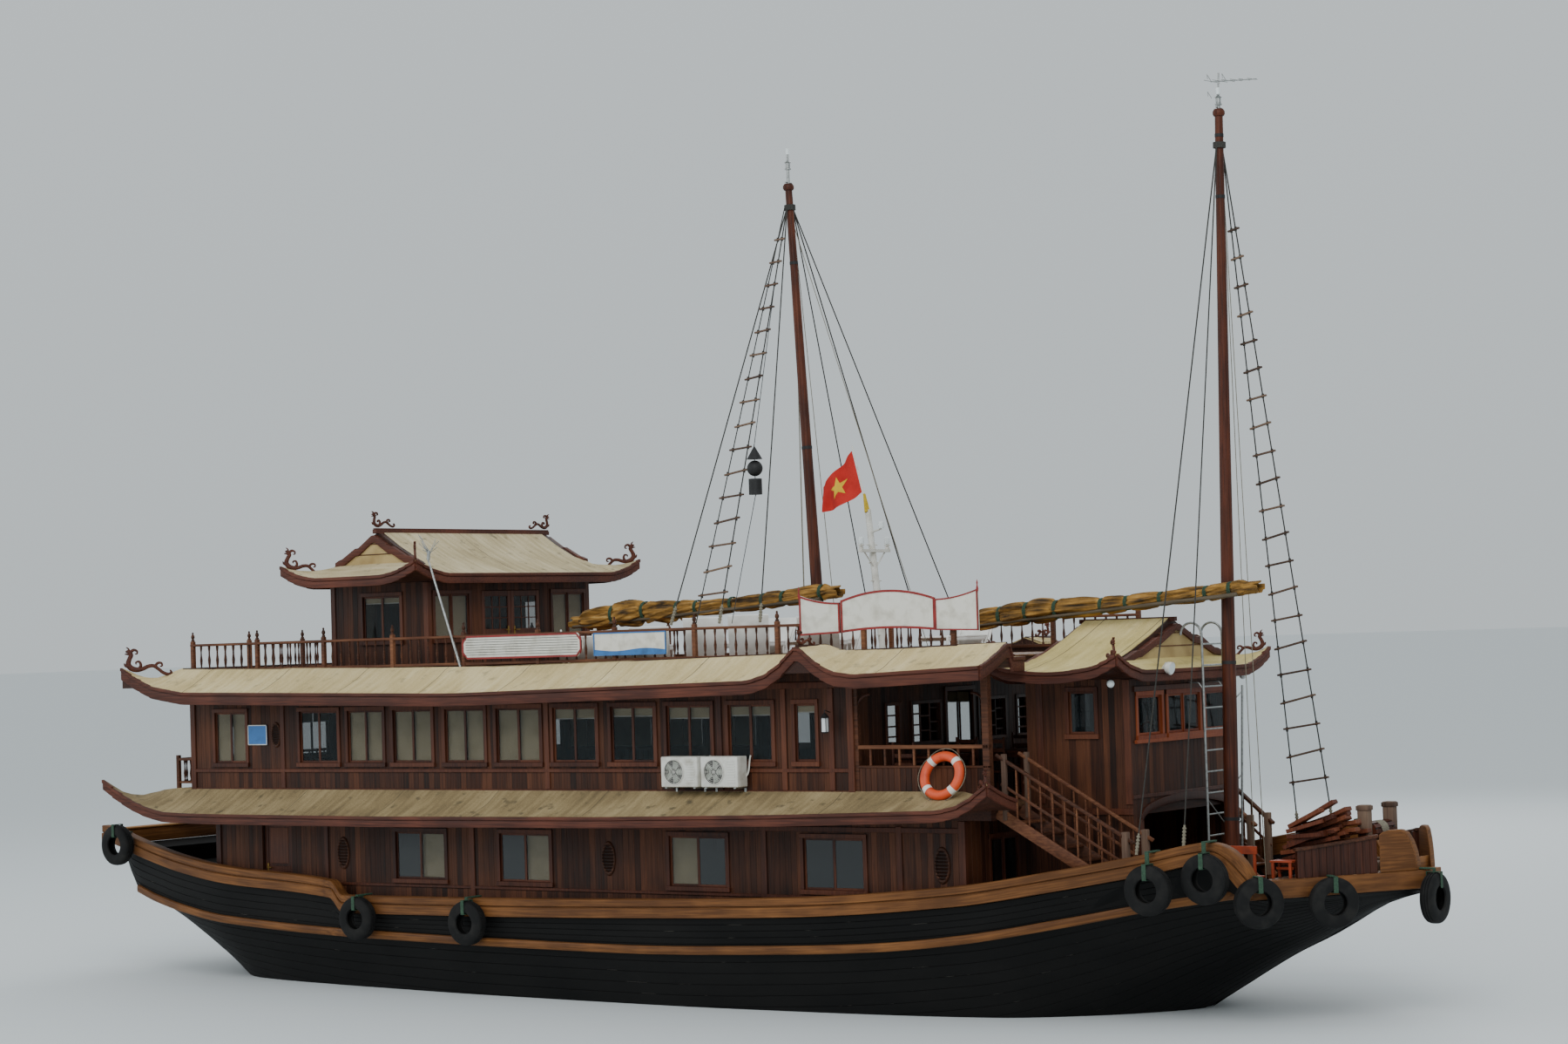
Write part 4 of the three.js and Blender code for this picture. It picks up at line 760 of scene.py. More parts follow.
STRAKE_X = np.array((-12.15, -11.4, -9.3, -5.93, -0.04, 3.5, 5.12, 6.5, 8.13, 9.4, 10.65))
STRAKE_Z = np.array((1.59, 1.42, 1.13, 0.985, 0.93, 1.02, 1.11, 1.26, 1.53, 1.77, 1.95))

WALE_OUT = 0.09
WALE = rounded(-0.14, WALE_OUT, 0.0, 0.54, 0.03)
RAIL = rounded(-0.125, 0.075, 0.58, 1.0, 0.035)
CORE = rounded(-0.12, 0.05, 0.4, 0.7, 0.01)
places = stations(*GUNWALE_ENDS, 0.3)
gunwale = join([moulding(places, gunwale_frame, profile) for profile in (WALE, RAIL, CORE)])
done(mirror_port(gunwale), "gunwale_timbers", honey_wood, smooth=30,
     stands_for=("gunwale_starboard", "gunwale_port", "gunwale_aft_starboard", "gunwale_aft_port"))

strake = moulding(stations(-12.15, 10.65, 0.3), strake_frame, rounded(-0.05, 0.09, -0.07, 0.07, 0.035))
done(mirror_port(strake), "rubbing_strakes", honey_wood, smooth=40,
     stands_for=("rub_strake_starboard", "rub_strake_port"))

# The cross beam between the stern horns, with a cap over it
STERN_BEAM = [((-13.0, -2.45, 2.4), (-12.76, 2.45, 2.66)), ((-13.04, -2.47, 2.665), (-12.72, 2.47, 2.7))]
beam = grain_along(blocks(STERN_BEAM, 0.02, 2), (0, 1, 0))
done(beam, "stern_cross_beam", honey_wood)

# %% [markdown]
# ## Tyre fenders
# Old car tyres hang along the side on green straps. A tyre is a hollow carcass with two beads, a rounded
# wall and a tread with grooves round it. A torus has none of these, so the tyre's section is spun as a
# closed loop.

# %% Tyres
TYRES_SIDE = [(-5.73, 1.28), (-3.14, 1.28), (9.59, 2.05), (10.41, 2.21)]  # place along the ship and height
TYRE_STERN = (-12.35, 2.42)
TYRES_BOW = [(11.0, 1.85), (11.76, 1.8)]  # place along the platform's starboard edge and height
TYRE_NOSE = (12.881, -0.22, 1.79)

TYRE_HALF = 0.105
TYRE_SECTION = [
    (0.176, 0.07), (0.186, 0.096), (0.25, 0.105), (0.32, 0.1), (0.352, 0.086), (0.366, 0.07), (0.372, 0.05),
    (0.362, 0.047), (0.362, 0.037), (0.374, 0.034), (0.375, 0.008), (0.364, 0.005), (0.364, -0.005),
    (0.375, -0.008), (0.374, -0.034), (0.362, -0.037), (0.362, -0.047), (0.372, -0.05), (0.366, -0.07),
    (0.352, -0.086), (0.32, -0.1), (0.25, -0.105), (0.186, -0.096), (0.176, -0.07), (0.19, -0.062),
    (0.26, -0.086), (0.33, -0.076), (0.345, 0.0), (0.33, 0.076), (0.26, 0.086), (0.19, 0.062), (0.176, 0.07),
]


def tyre():
    """One tyre with its axle across the ship."""
    piece = turned(TYRE_SECTION, 40)
    piece.rotation_euler = (math.pi / 2, 0, 0)
    return settle(piece)


def fender_y(x, z):
    """How far out a tyre hangs beside the gunwale."""
    reach = max(side_at(x - 0.3, z + 0.3), side_at(x + 0.3, z + 0.3), side_at(x, z + 0.3))
    return reach + WALE_OUT + TYRE_HALF + 0.006


def strap(x, y, z, sign, top):
    """A band from the tyre up over the gunwale, with a turn round the tyre."""
    low, high = z + 0.16, z + 0.39
    half, wide, reach, thick = 0.032, 0.036, 0.12, 0.012
    inboard = sorted((y, y - sign * 0.36))
    band = [
        ((x - half, y - 0.014, z + 0.3), (x + half, y + 0.014, top + 0.03)),
        ((x - half, inboard[0], top + 0.006), (x + half, inboard[1], top + 0.03)),
        ((x - wide, y - reach, low), (x + wide, y - 0.108, high)),
        ((x - wide, y + 0.108, low), (x + wide, y + reach, high)),
        ((x - wide, y - reach, z + 0.378), (x + wide, y + reach, high)),
        ((x - wide, y - reach, low - thick), (x + wide, y + reach, low)),
    ]
    return blocks(band, 0.004)


spots, bands = [], []
for sign in (-1, 1):
    for x, z in TYRES_SIDE + ([TYRE_STERN] if sign < 0 else []):
        y = sign * fender_y(x, z)
        spots.append((x, y, z))
        bands.append(strap(x, y, z, sign, section(x)[3][1] + GUNWALE_HEIGHT))
for x, z in TYRES_BOW:
    edge = platform_edge(x, -1, -0.113)
    spots.append((edge.x, edge.y, z))
    band = strap(0, 0, z, -1, edge.z - 0.004)
    band.rotation_euler = (0, 0, PLATE_TURN)
    band.location = (edge.x, edge.y, 0)
    bands.append(settle(band))
aims = [0.0] * (len(spots) - len(TYRES_BOW)) + [PLATE_TURN] * len(TYRES_BOW)
turns = []
for aim in aims:
    turns.append((random.uniform(-0.05, 0.05), random.uniform(0, 6), aim + random.uniform(-0.04, 0.04)))
nose = tyre()
nose.rotation_euler = (0, 0, math.pi / 2)
nose.location = TYRE_NOSE
fenders = join([repeat(tyre(), spots, turns), settle(nose)])
done(fenders, "tyre_fenders", rubber, smooth=40)

x, y, z = TYRE_NOSE
nose_top = PLATE["top"][1]
nose_band = blocks([((x - 0.014, y - 0.03, z + 0.3), (x + 0.014, y + 0.03, nose_top + 0.02)),
                    ((x - 0.25, y - 0.03, nose_top + 0.012), (x + 0.014, y + 0.03, nose_top + 0.036)),
                    ((x - 0.12, y - 0.034, z + 0.378), (x + 0.12, y + 0.034, z + 0.39)),
                    ((x - 0.12, y - 0.034, z + 0.15), (x - 0.108, y + 0.034, z + 0.39)),
                    ((x + 0.108, y - 0.034, z + 0.15), (x + 0.12, y + 0.034, z + 0.39))], 0.004)
done(join(bands + [nose_band]), "fender_straps", green_rope)

# %% [markdown]
# ## Decks
# Deck boards run along the ship, butted end to end with staggered joints, and stop at the hull's curved
# side. Lines drawn on one sheet would vanish in a low view, so each board is a piece of timber with its own
# tone.

# %% Deck boards
DECK_PITCH, DECK_THICK = 0.14, 0.022
LONGEST_BOARD = 3.6


def deck_boards(name, x0, x1, half, z, gaps=()):
    """Boards between two places. half is the deck's half width at x; gaps are hatches as (x0, x1, half)."""
    boards = []
    rows = int(max(half(x0), half(x1), half((x0 + x1) / 2)) / DECK_PITCH) + 1
    for row in range(-rows, rows):
        low, high = row * DECK_PITCH + 0.002, (row + 1) * DECK_PITCH - 0.002
        edge = max(abs(low), abs(high))
        inside = [x for x in np.linspace(x0, x1, 60) if half(x) >= edge]
        if not inside:
            continue
        runs = [(min(inside), max(inside))]
        for a, b, reach in gaps:
            if edge <= reach + DECK_PITCH:
                runs = [r for s, e in runs for r in ((s, min(e, a)), (max(s, b), e)) if r[1] - r[0] > 0.05]
        for start, end in runs:
            joint = start + 1.2 + 2.6 * random.random()
            while start < end - 0.01:
                stop = end if joint > end - 0.5 else joint
                boards.append(((start + 0.001, low, z), (stop - 0.001, high, z + DECK_THICK)))
                start, joint = stop, joint + LONGEST_BOARD
    return done(blocks(boards, 0.003), name, deck_wood)


deck_boards("foredeck_boards", 6.53, 10.72, lambda x: side_at(x, 1.72) - 0.13, 1.722, [(6.5, 8.5, 1.1)])
deck_boards("stern_deck_boards", -11.5, -9.72, lambda x: side_at(x, 1.62) - 0.13, 1.622)
deck_boards("upper_deck_boards", -10.17, 6.98, lambda x: 2.96, 3.202)
deck_boards("cabin_floor_boards", -9.6, 6.4, lambda x: 2.9, 1.102)
deck_boards("sun_deck_boards", -10.4, 7.2, lambda x: 2.8, 5.502, [(-7.4, -5.16, 2.14), (6.5, 7.3, 2.6)])

# %% [markdown]
# ## Board walls
# The cabin walls are upright boards, each a little different in tone, with a V where two meet. A flat wall
# with drawn lines would do from afar, but the edges of real boards catch the light. They are laid out
# between the edges of the windows, so that no board is cut by one. A wall is written as its kind (side or
# end), the place of its outer face, and which way out is.

# %% Walls
BOARD = 0.118
THICK = 0.06


def slab(wall, t0, t1, n0, n1, z0, z1):
    """Corners of a box on a wall: along it from t0 to t1, outward from n0 to n1, and upward from z0 to z1."""
    kind, face, sign = wall
    t0, t1 = sorted((t0, t1))
    if kind == "side":
        y0, y1 = sorted((sign * (face + n0), sign * (face + n1)))
        return (t0, y0, z0), (t1, y1, z1)
    x0, x1 = sorted((face + sign * n0, face + sign * n1))
    return (x0, t0, z0), (x1, t1, z1)


def wall_runs(a, b, low, high, holes):
    """Boards of a wall as (start, end, low, high), laid out between the edges of its holes."""
    edges = sorted({a, b, *[t for h in holes for t in h[:2] if a < t < b]})
    runs = []
    for start, end in zip(edges[:-1], edges[1:]):
        count = max(1, round((end - start) / BOARD))
        cuts = sorted((h[2], h[3]) for h in holes if h[0] < end - 0.001 and h[1] > start + 0.001)
        spans, z = [], low
        for z0, z1 in cuts:
            if z0 > z + 0.01:
                spans.append((z, z0))
            z = max(z, z1)
        if z < high - 0.01:
            spans.append((z, high))
        for k in range(count):
            t0, t1 = start + (end - start) * k / count, start + (end - start) * (k + 1) / count
            runs += [(t0, t1, z0, z1) for z0, z1 in spans]
    return runs


def board_wall(wall, a, b, low, high, holes=()):
    """Boxes of all the boards of a wall."""
    return [slab(wall, t0, t1, -THICK, 0, z0, z1) for t0, t1, z0, z1 in wall_runs(a, b, low, high, holes)]


def laid_boards(node_name, boxes):
    """The boards that stand for a structural wall."""
    done(blocks(boxes, 0.004), node_name + "_boards", wall_boards,
         stands_for=(node_name,))


def finish_wall(node_name, wall, room, holes):
    """Lays the boards of a wall. A room gives the reach of its side and end walls, its floor and its top."""
    laid_boards(node_name, board_wall(wall, *room[wall[0]], room["low"], room["high"], holes))


LOWER = {"side": (-9.7, 6.5), "end": (-2.94, 2.94), "low": 1.1, "high": 3.05}
UPPER = {"side": (-10.25, 4.53), "end": (-2.99, 2.99), "low": 3.2, "high": 5.35}
LOWER_WINDOWS = [(a, b, 1.92, 2.77) for a, b in ((-5.3, -4.11), (-2.9, -1.75), (0.76, 1.96), (3.45, 4.65))]
LOWER_ENDS = [(-2.3, -1.5, 2.0, 2.75), (1.5, 2.3, 2.0, 2.75)]
UPPER_WINDOWS = [(a, b, 3.93, 4.88) for a, b in (
    (-9.66, -8.83), (-7.51, -6.54), (-6.33, -5.45), (-5.24, -4.3), (-4.03, -3.09), (-2.86, -1.85),
    (-1.6, -0.63), (-0.35, 0.6), (0.82, 1.77), (2.08, 2.99), (3.4, 3.84))]
STERN_WINDOWS = [(a, b, 3.93, 4.88) for a, b in ((-2.4, -1.5), (-0.45, 0.45), (1.5, 2.4))]
PARTITION = [(a, b, 4.15, 4.8) for a, b in ((-2.13, -1.75), (-1.4, -0.57), (0.57, 1.4), (1.75, 2.13))]
SIDE_DOOR = (-8.56, -7.82, 1.3, 2.95)
FORE_DOOR = (-0.42, 0.42, 1.2, 2.9)
PARTITION_DOOR = (-0.38, 0.38, 3.15, 4.95)

STARBOARD_LOWER, PORT_LOWER = ("side", 3.0, -1), ("side", 3.0, 1)
STARBOARD_UPPER, PORT_UPPER = ("side", 3.05, -1), ("side", 3.05, 1)
LOWER_AFT, LOWER_FORE = ("end", -9.7, -1), ("end", 6.5, 1)
UPPER_AFT, UPPER_FORE = ("end", -10.25, -1), ("end", 4.53, 1)

finish_wall("lower_wall_starboard", STARBOARD_LOWER, LOWER, LOWER_WINDOWS + [SIDE_DOOR])
finish_wall("lower_wall_port", PORT_LOWER, LOWER, LOWER_WINDOWS)
finish_wall("lower_wall_aft", LOWER_AFT, LOWER, LOWER_ENDS)
finish_wall("lower_wall_fore", LOWER_FORE, LOWER, LOWER_ENDS + [FORE_DOOR])
finish_wall("upper_wall_starboard", STARBOARD_UPPER, UPPER, UPPER_WINDOWS)
finish_wall("upper_wall_port", PORT_UPPER, UPPER, UPPER_WINDOWS)
finish_wall("upper_wall_aft", UPPER_AFT, UPPER, STERN_WINDOWS)
finish_wall("upper_wall_fore", UPPER_FORE, UPPER, PARTITION + [PARTITION_DOOR])

# %% Pavilion and wheelhouse walls
PAVILION = {"side": (-7.4, -5.16), "end": (-2.2, 2.2), "low": 5.5, "high": 7.09}
HOUSE = {"side": (6.83, 8.62), "end": (-1.65, 1.65), "low": 1.72, "high": 5.12}
HOUSE_UP = {"end": (-1.59, 1.59), "low": 3.2, "high": 5.12}
PAVILION_SIDE = [(-6.7, -5.75, 6.05, 6.88)]
PAVILION_ENDS = [(-2.06, -1.13, 6.05, 6.88), (1.13, 2.06, 6.05, 6.88)]
PAVILION_DOOR = (-0.8, 0.8, 5.56, 6.92)
HOUSE_SIDE = [(7.58, 8.08, 4.27, 4.96)]
HOUSE_FRONT = [(a, b, 4.23, 4.87) for a, b in ((-1.45, -0.68), (-0.52, 0.52), (0.68, 1.45))]
HOUSE_DOOR = (-0.35, 0.35, 3.26, 4.95)
HOUSE_SLOT = (6.83, 7.02, 3.04, 3.21)  # where the upper deck's edge goes through
ARCH = (1.45, 2.95, 0.27)  # half width, spring and rise

PAVILION_WALLS = {"starboard": ("side", 2.2, -1), "port": ("side", 2.2, 1), "aft": ("end", -7.46, -1),
                  "fore": ("end", -5.1, 1)}
HOUSE_WALLS = {"starboard": ("side", 1.65, -1), "port": ("side", 1.65, 1), "aft": ("end", 6.89, 1),
               "fore": ("end", 8.68, 1)}
HOUSE_FORE = HOUSE_WALLS["fore"]
for side in ("starboard", "port"):
    finish_wall(f"pavilion_wall_{side}", PAVILION_WALLS[side], PAVILION, PAVILION_SIDE)
    finish_wall(f"wheelhouse_wall_{side}", HOUSE_WALLS[side], HOUSE, HOUSE_SIDE + [HOUSE_SLOT])
finish_wall("pavilion_wall_aft", PAVILION_WALLS["aft"], PAVILION, PAVILION_ENDS)
finish_wall("pavilion_wall_fore", PAVILION_WALLS["fore"], PAVILION, PAVILION_ENDS + [PAVILION_DOOR])
finish_wall("wheelhouse_wall_aft", HOUSE_WALLS["aft"], HOUSE_UP, [HOUSE_DOOR])


def arch_at(y):
    """Height of the arched way under the wheelhouse."""
    half, spring, rise = ARCH
    return spring + rise * math.sqrt(max(0.0, 1 - (y / half) ** 2))


front = []
for t0, t1, z0, z1 in wall_runs(*HOUSE["end"], 1.72, 5.12, HOUSE_FRONT + [(-ARCH[0], ARCH[0], 1.0, 1.73)]):
    if abs(t0 + t1) / 2 < ARCH[0] and z0 < 3:
        z0 = max(arch_at(t0), arch_at(t1)) - 0.02
    front.append(slab(HOUSE_FORE, t0, t1, -THICK, 0, z0, z1))
laid_boards("wheelhouse_wall_fore", front)

# The arch has a bent trim board, and its foot posts stand on the deck
ARCH_STEPS = 28
arch_trim = moulding(
    [-ARCH[0] + 2 * ARCH[0] * k / ARCH_STEPS for k in range(ARCH_STEPS + 1)],
    lambda y: (Vector((HOUSE_FORE[1], y, arch_at(y))), Vector((1, 0, 0)), (1, 1)),
    rounded(-0.075, 0.03, -0.03, 0.1, 0.012),
)
posts = [slab(HOUSE_FORE, sign * 1.39, sign * 1.52, -0.075, 0.03, 1.74, 2.98) for sign in (-1, 1)]
done(join([arch_trim, blocks(posts, 0.01)]), "foredeck_arch_trim", frame_wood)

# %% [markdown]
# ## Windows
# A window is a frame let into the boards, with two sashes in it. Each sash has its own stiles and a pane,
# and most have a cream blind behind the glass, drawn down on some windows and rolled up on others. The
# openings could be cut out of one panel, but a joiner sets squared pieces together, and so does this
# function.

# %% Window joinery
frames, panes, cabin_shade_panes, blinds, rollers = [], [], [], [], []


def window(wall, hole, drawn=0.0, sashes=2, store=None, each=None, dim=False):
    """Frame, sashes, panes and blinds. drawn is the share of the height that the blind covers, or one
    value for each sash. Where no blind is drawn, a dim window has dark glass: painted shade of its cabin."""
    a, b, low, high = hole
    out = frames if store is None else store
    out += [
        slab(wall, a - 0.04, a + 0.022, -0.07, 0.022, low - 0.05, high + 0.045),
        slab(wall, b - 0.022, b + 0.04, -0.07, 0.022, low - 0.05, high + 0.045),
        slab(wall, a - 0.04, b + 0.04, -0.07, 0.026, high - 0.022, high + 0.05),
        slab(wall, a - 0.05, b + 0.05, -0.07, 0.045, low - 0.055, low + 0.02),
    ]
    width = (b - a - 0.044) / sashes
    for k in range(sashes):
        t0 = a + 0.022 + k * width
        t1 = t0 + width
        n = -0.012 if k % 2 else -0.03
        z0, z1 = low + 0.02, high - 0.022
        out += [
            slab(wall, t0, t0 + 0.032, n - 0.012, n + 0.012, z0, z1),
            slab(wall, t1 - 0.032, t1, n - 0.012, n + 0.012, z0, z1),
            slab(wall, t0 + 0.032, t1 - 0.032, n - 0.012, n + 0.012, z0, z0 + 0.036),
            slab(wall, t0 + 0.032, t1 - 0.032, n - 0.012, n + 0.012, z1 - 0.032, z1),
        ]
        share = each[k] if each else drawn
        pane = slab(wall, t0 + 0.03, t1 - 0.03, n - 0.003, n + 0.003, z0 + 0.034, z1 - 0.03)
        (cabin_shade_panes if dim and share == 0 else panes).append(pane)
        if share > 0:
            foot = z1 - (z1 - z0) * share
            blinds.append(slab(wall, t0 + 0.01, t1 - 0.01, -0.062, -0.059, foot, z1 + 0.01))
            rollers.append(slab(wall, t0 + 0.01, t1 - 0.01, -0.068, -0.053, foot - 0.016, foot + 0.004))


DRAWN = (1, 0, 1, 1, 1, 1, 0.2, 0.17, 0.22, 0.18, 0.14)  # for the eleven windows along each side
DRAWN_LOWER = ((0, 1), (0, 1), (1, 0), (0, 0))  # for the two sashes of each lower window
NARROWEST_PAIR = 0.5
for wall in (STARBOARD_UPPER, PORT_UPPER):
    for hole, share in zip(UPPER_WINDOWS, DRAWN):
        window(wall, hole, share, 1 if hole[1] - hole[0] < NARROWEST_PAIR else 2)
for hole in STERN_WINDOWS:
    window(UPPER_AFT, hole, 0.3)
done(blocks(frames, 0.004), "upper_window_frames", frame_wood)
frames = []
for wall in (STARBOARD_LOWER, PORT_LOWER):
    for hole, each in zip(LOWER_WINDOWS, DRAWN_LOWER):
        window(wall, hole, each=each, dim=True)
for wall in (LOWER_AFT, LOWER_FORE):
    for hole in LOWER_ENDS:
        window(wall, hole, dim=True)
for side in ("starboard", "port"):
    window(PAVILION_WALLS[side], PAVILION_SIDE[0], 0.15)
    window(HOUSE_WALLS[side], HOUSE_SIDE[0], 0, 1, dim=True)
for side in ("aft", "fore"):
    for hole in PAVILION_ENDS:
        window(PAVILION_WALLS[side], hole, 1)
# The top rail over the wheelhouse's front windows takes the darker frame wood, as painted shade under the
# eave
frames.append(slab(HOUSE_FORE, -1.55, 1.55, 0.0, 0.03, 4.92, 5.0))
done(blocks(frames, 0.004), "lower_window_frames", frame_wood)
bright = []
for hole, sashes in zip(HOUSE_FRONT, (1, 2, 1)):
    window(HOUSE_FORE, hole, 0, sashes, store=bright)
bright.append(slab(HOUSE_FORE, -1.55, 1.55, 0.0, 0.05, 4.13, 4.185))
done(blocks(bright, 0.004), "wheelhouse_window_frames", orange_wood)
done(blocks(panes, 0), "window_panes", window_glass)
# These dark panes carry painted shade of the cabins behind them
done(blocks(cabin_shade_panes, 0), "window_panes_with_painted_cabin_shade", cabin_shade_glass)
done(blocks(blinds, 0), "window_blinds", blind_cloth)
done(blocks(rollers, 0.003), "blind_rollers", white_board)

# %% [markdown]
# ## Doors
# Each door is a framed leaf: stiles, rails and raised panels, the upper one glazed on some, with a lever
# handle. Grooves in one box could stand for them, but separate timbers show the joints. The leaf turns with
# its own body.

# %% Door leaves
def door(wall, a, b, low, high, n0, n1, name, glazed=False, handle_at=0.9):
    """A framed leaf from t = a to t = b, on the body of its own name. The handle is at a share of the way."""
    body = name + "_body"
    middle = low + (high - low) * 0.45
    n = (n0 + n1) / 2
    left, right = a + STILE, b - STILE
    leaf = [
        slab(wall, a, left, n0, n1, low, high), slab(wall, right, b, n0, n1, low, high),
        slab(wall, left, right, n0, n1, low, low + 0.14),
        slab(wall, left, right, n0, n1, middle - 0.05, middle + 0.05),
        slab(wall, left, right, n0, n1, high - 0.1, high),
        slab(wall, left - 0.01, right + 0.01, n - 0.008, n + 0.008, low + 0.12, middle - 0.04),
        slab(wall, left + 0.05, right - 0.05, n - 0.014, n + 0.014, low + 0.2, middle - 0.1),
    ]
    if glazed:
        for k in (1, 2):
            t = left + (b - a - 2 * STILE) * k / 3
            leaf.append(slab(wall, t - 0.009, t + 0.009, n - 0.012, n + 0.012, middle + 0.05, high - 0.1))
            z = middle + 0.05 + (high - middle - 0.15) * k / 3
            leaf.append(slab(wall, left, right, n - 0.012, n + 0.012, z - 0.009, z + 0.009))
        pane = slab(wall, left - 0.01, right + 0.01, n - 0.003, n + 0.003, middle + 0.04, high - 0.09)
        done(blocks([pane], 0), name + "_pane", window_glass, body)
    else:
        leaf += [
            slab(wall, left - 0.01, right + 0.01, n - 0.008, n + 0.008, middle + 0.04, high - 0.09),
            slab(wall, left + 0.05, right - 0.05, n - 0.014, n + 0.014, middle + 0.1, high - 0.16),
        ]
    t = a + (b - a) * handle_at
    lever = blocks([
        slab(wall, t - 0.02, t + 0.02, n1 - 0.001, n1 + 0.006, middle - 0.08, middle + 0.1),
        slab(wall, t - 0.01, t + 0.01, n1, n1 + 0.045, middle + 0.02, middle + 0.04),
        slab(wall, t - 0.01 - 0.1 * (handle_at > 0.5), t + 0.01 + 0.1 * (handle_at <= 0.5),
             n1 + 0.03, n1 + 0.045, middle + 0.02, middle + 0.04),
    ], 0.003)
    done(lever, name + "_handle", brass_lamp, body)
    done(blocks(leaf, 0.004), name + "_leaf", frame_wood, body, stands_for=(name,))


STILE = 0.085
PAVILION_FORE = PAVILION_WALLS["fore"]
door(STARBOARD_LOWER, -8.552, -7.838, 1.308, 2.942, -0.098, -0.058, "side_door", handle_at=0.1)
door(LOWER_FORE, -0.412, 0.412, 1.2083, 2.892, -0.058, -0.018, "fore_door")
door(PAVILION_FORE, -0.792, -0.004, 5.568, 6.912, -0.042, -0.002, "pavilion_door_starboard", True)
door(PAVILION_FORE, 0.004, 0.792, 5.568, 6.912, -0.042, -0.002, "pavilion_door_port", True, handle_at=0.1)
door(HOUSE_WALLS["aft"], -0.342, 0.342, 3.268, 4.942, -0.058, -0.018, "wheelhouse_door", True)

# %% [markdown]
# ## Posts, rails and louvres on the walls
# Corner posts close the walls, and a moulded rail runs along the boards under the windows. The lower cabin
# breathes through small oval louvres. The rim of one is a torus drawn out to an oval, because a cut plate
# would lack its round edge.

# %% Trim
trim = []
for sign in (-1, 1):
    upper, lower, pavilion, house = (("side", half, sign) for half in (3.05, 3.0, 2.2, 1.65))
    trim += [slab(upper, -10.27, 4.55, 0.0, 0.026, 3.78, 3.84)]
    trim += [slab(upper, -10.27, 4.55, 0.0, 0.02, z0, z1) for z0, z1 in ((3.42, 3.5), (5.1, 5.2))]
    trim += [slab(lower, -9.72, 6.52, 0.0, 0.022, 1.8, 1.85), slab(lower, -9.72, 6.52, 0.0, 0.02, 2.85, 2.93)]
    trim += [slab(upper, x - 0.06, x + 0.06, -0.07, 0.03, 3.21, 5.34) for x in (-10.21, 4.49)]
    trim += [slab(upper, x - 0.05, x + 0.05, 0.0, 0.024, 3.5, 5.1) for x in (-7.92, -1.72, 1.92, 3.2, 4.12)]
    trim += [slab(lower, x - 0.06, x + 0.06, -0.07, 0.03, 1.45, 3.04) for x in (-9.66, 6.46)]
    trim += [slab(lower, x - 0.05, x + 0.05, 0.0, 0.024, 1.5, 2.95) for x in (-6.95, -3.5, 2.7, 5.3)]
    trim += [slab(pavilion, x - 0.055, x + 0.055, -0.08, 0.02, 5.53, 7.08) for x in (-7.41, -5.15)]
    trim += [slab(house, x - 0.055, x + 0.055, -0.08, 0.02, 3.22, 5.11) for x in (8.62, 7.08)]
    trim += [slab(house, 6.83, 8.68, 0.0, 0.024, 3.06, 3.16)]
trim += [slab(UPPER_AFT, -3.0, 3.0, 0.0, 0.026, 3.78, 3.84), slab(UPPER_AFT, -3.0, 3.0, 0.0, 0.02, 5.1, 5.2)]
trim += [slab(HOUSE_FORE, -1.67, 1.67, 0.0, 0.022, 3.3, 3.36)]
done(blocks(trim, 0.006), "wall_posts_and_rails", frame_wood)


louvre_rims, louvre_slats = [], []


def louvre(wall, t, z, half=0.125, tall=0.25):
    """An oval rim round slanting slats, on a dark backing."""
    begin()
    bpy.ops.mesh.primitive_torus_add(major_segments=32, minor_segments=8, major_radius=1, minor_radius=0.15)
    rim = bpy.context.object
    rim.scale = (half, tall, 0.16)
    begin()
    bpy.ops.mesh.primitive_cylinder_add(vertices=32, radius=1, depth=0.01)
    back = bpy.context.object
    back.scale = (half, tall, 1)
    slats = [settle(back)]
    for k in range(9):
        y = tall * (-0.84 + 0.21 * k)
        reach = half * math.sqrt(1 - (y / tall) ** 2)
        slat = block((-reach, y - 0.016, -0.003), (reach, y + 0.016, 0.003))
        slat.rotation_euler = (0.7, 0, 0)
        slat.location.z = 0.018
        slats.append(settle(slat))
    stand = Matrix.Rotation(math.pi / 2 if wall[2] < 0 else -math.pi / 2, 4, "X")
    for piece, store in ((settle(rim), louvre_rims), (join(slats), louvre_slats)):
        piece.matrix_world = Matrix.Translation((t, wall[2] * (wall[1] + 0.004), z)) @ stand
        store.append(settle(piece))


for sign in (-1, 1):
    for x in (-6.54, -0.5, 6.08):
        louvre(("side", 3.0, sign), x, 2.36)
    louvre(("side", 3.05, sign), -8.08, 4.45, 0.1, 0.2)
done(join(louvre_rims), "oval_louvre_rims", rail_wood, smooth=50)
done(join(louvre_slats), "oval_louvre_slats", wall_boards)

# %% [markdown]
# ## Roofs
# The eaves sweep up at the corners, as on a temple. A skin could be bent with a lattice, but it is laid on
# the structure, so that the two agree: each point of a sheet is found by looking straight down on the roof
# below it. Cream panels meet at narrow dark seams, and a red-brown fascia in two steps runs along the edge
# under them.

# %% Laying a sheet on a roof
def height_over(node_name, x, y, fallback=None):
    """Height of the top of a structural piece at a place, or None beside it."""
    hit, spot, _, _ = NODES[node_name].ray_cast(Vector((x, y, 20)), Vector((0, 0, -1)))
    return spot.z if hit else fallback


def roof_sheet(node_name, x0, x1, y0, y1, columns, rows, lift):
    """A sheet over part of a roof. Points just off the edge take the height at the edge."""
    inset = 0.004

    def place(u, v):
        x, y = x0 + (x1 - x0) * u, y0 + (y1 - y0) * v
        cx = min(max(x, min(x0, x1) + inset), max(x0, x1) - inset)
        cy = min(max(y, min(y0, y1) + inset), max(y0, y1) - inset)
        return Vector((x, y, height_over(node_name, cx, cy, 5.0) + lift))

    return grid(columns, rows, place, (abs(x1 - x0), abs(y1 - y0)))


def shell(piece):
    """Gives the open sheet of a roof a thickness below it."""
    facing_from(piece, lambda c: c - Vector((0, 0, 5)))
    return modify(piece, "SOLIDIFY", thickness=0.03, offset=-1)


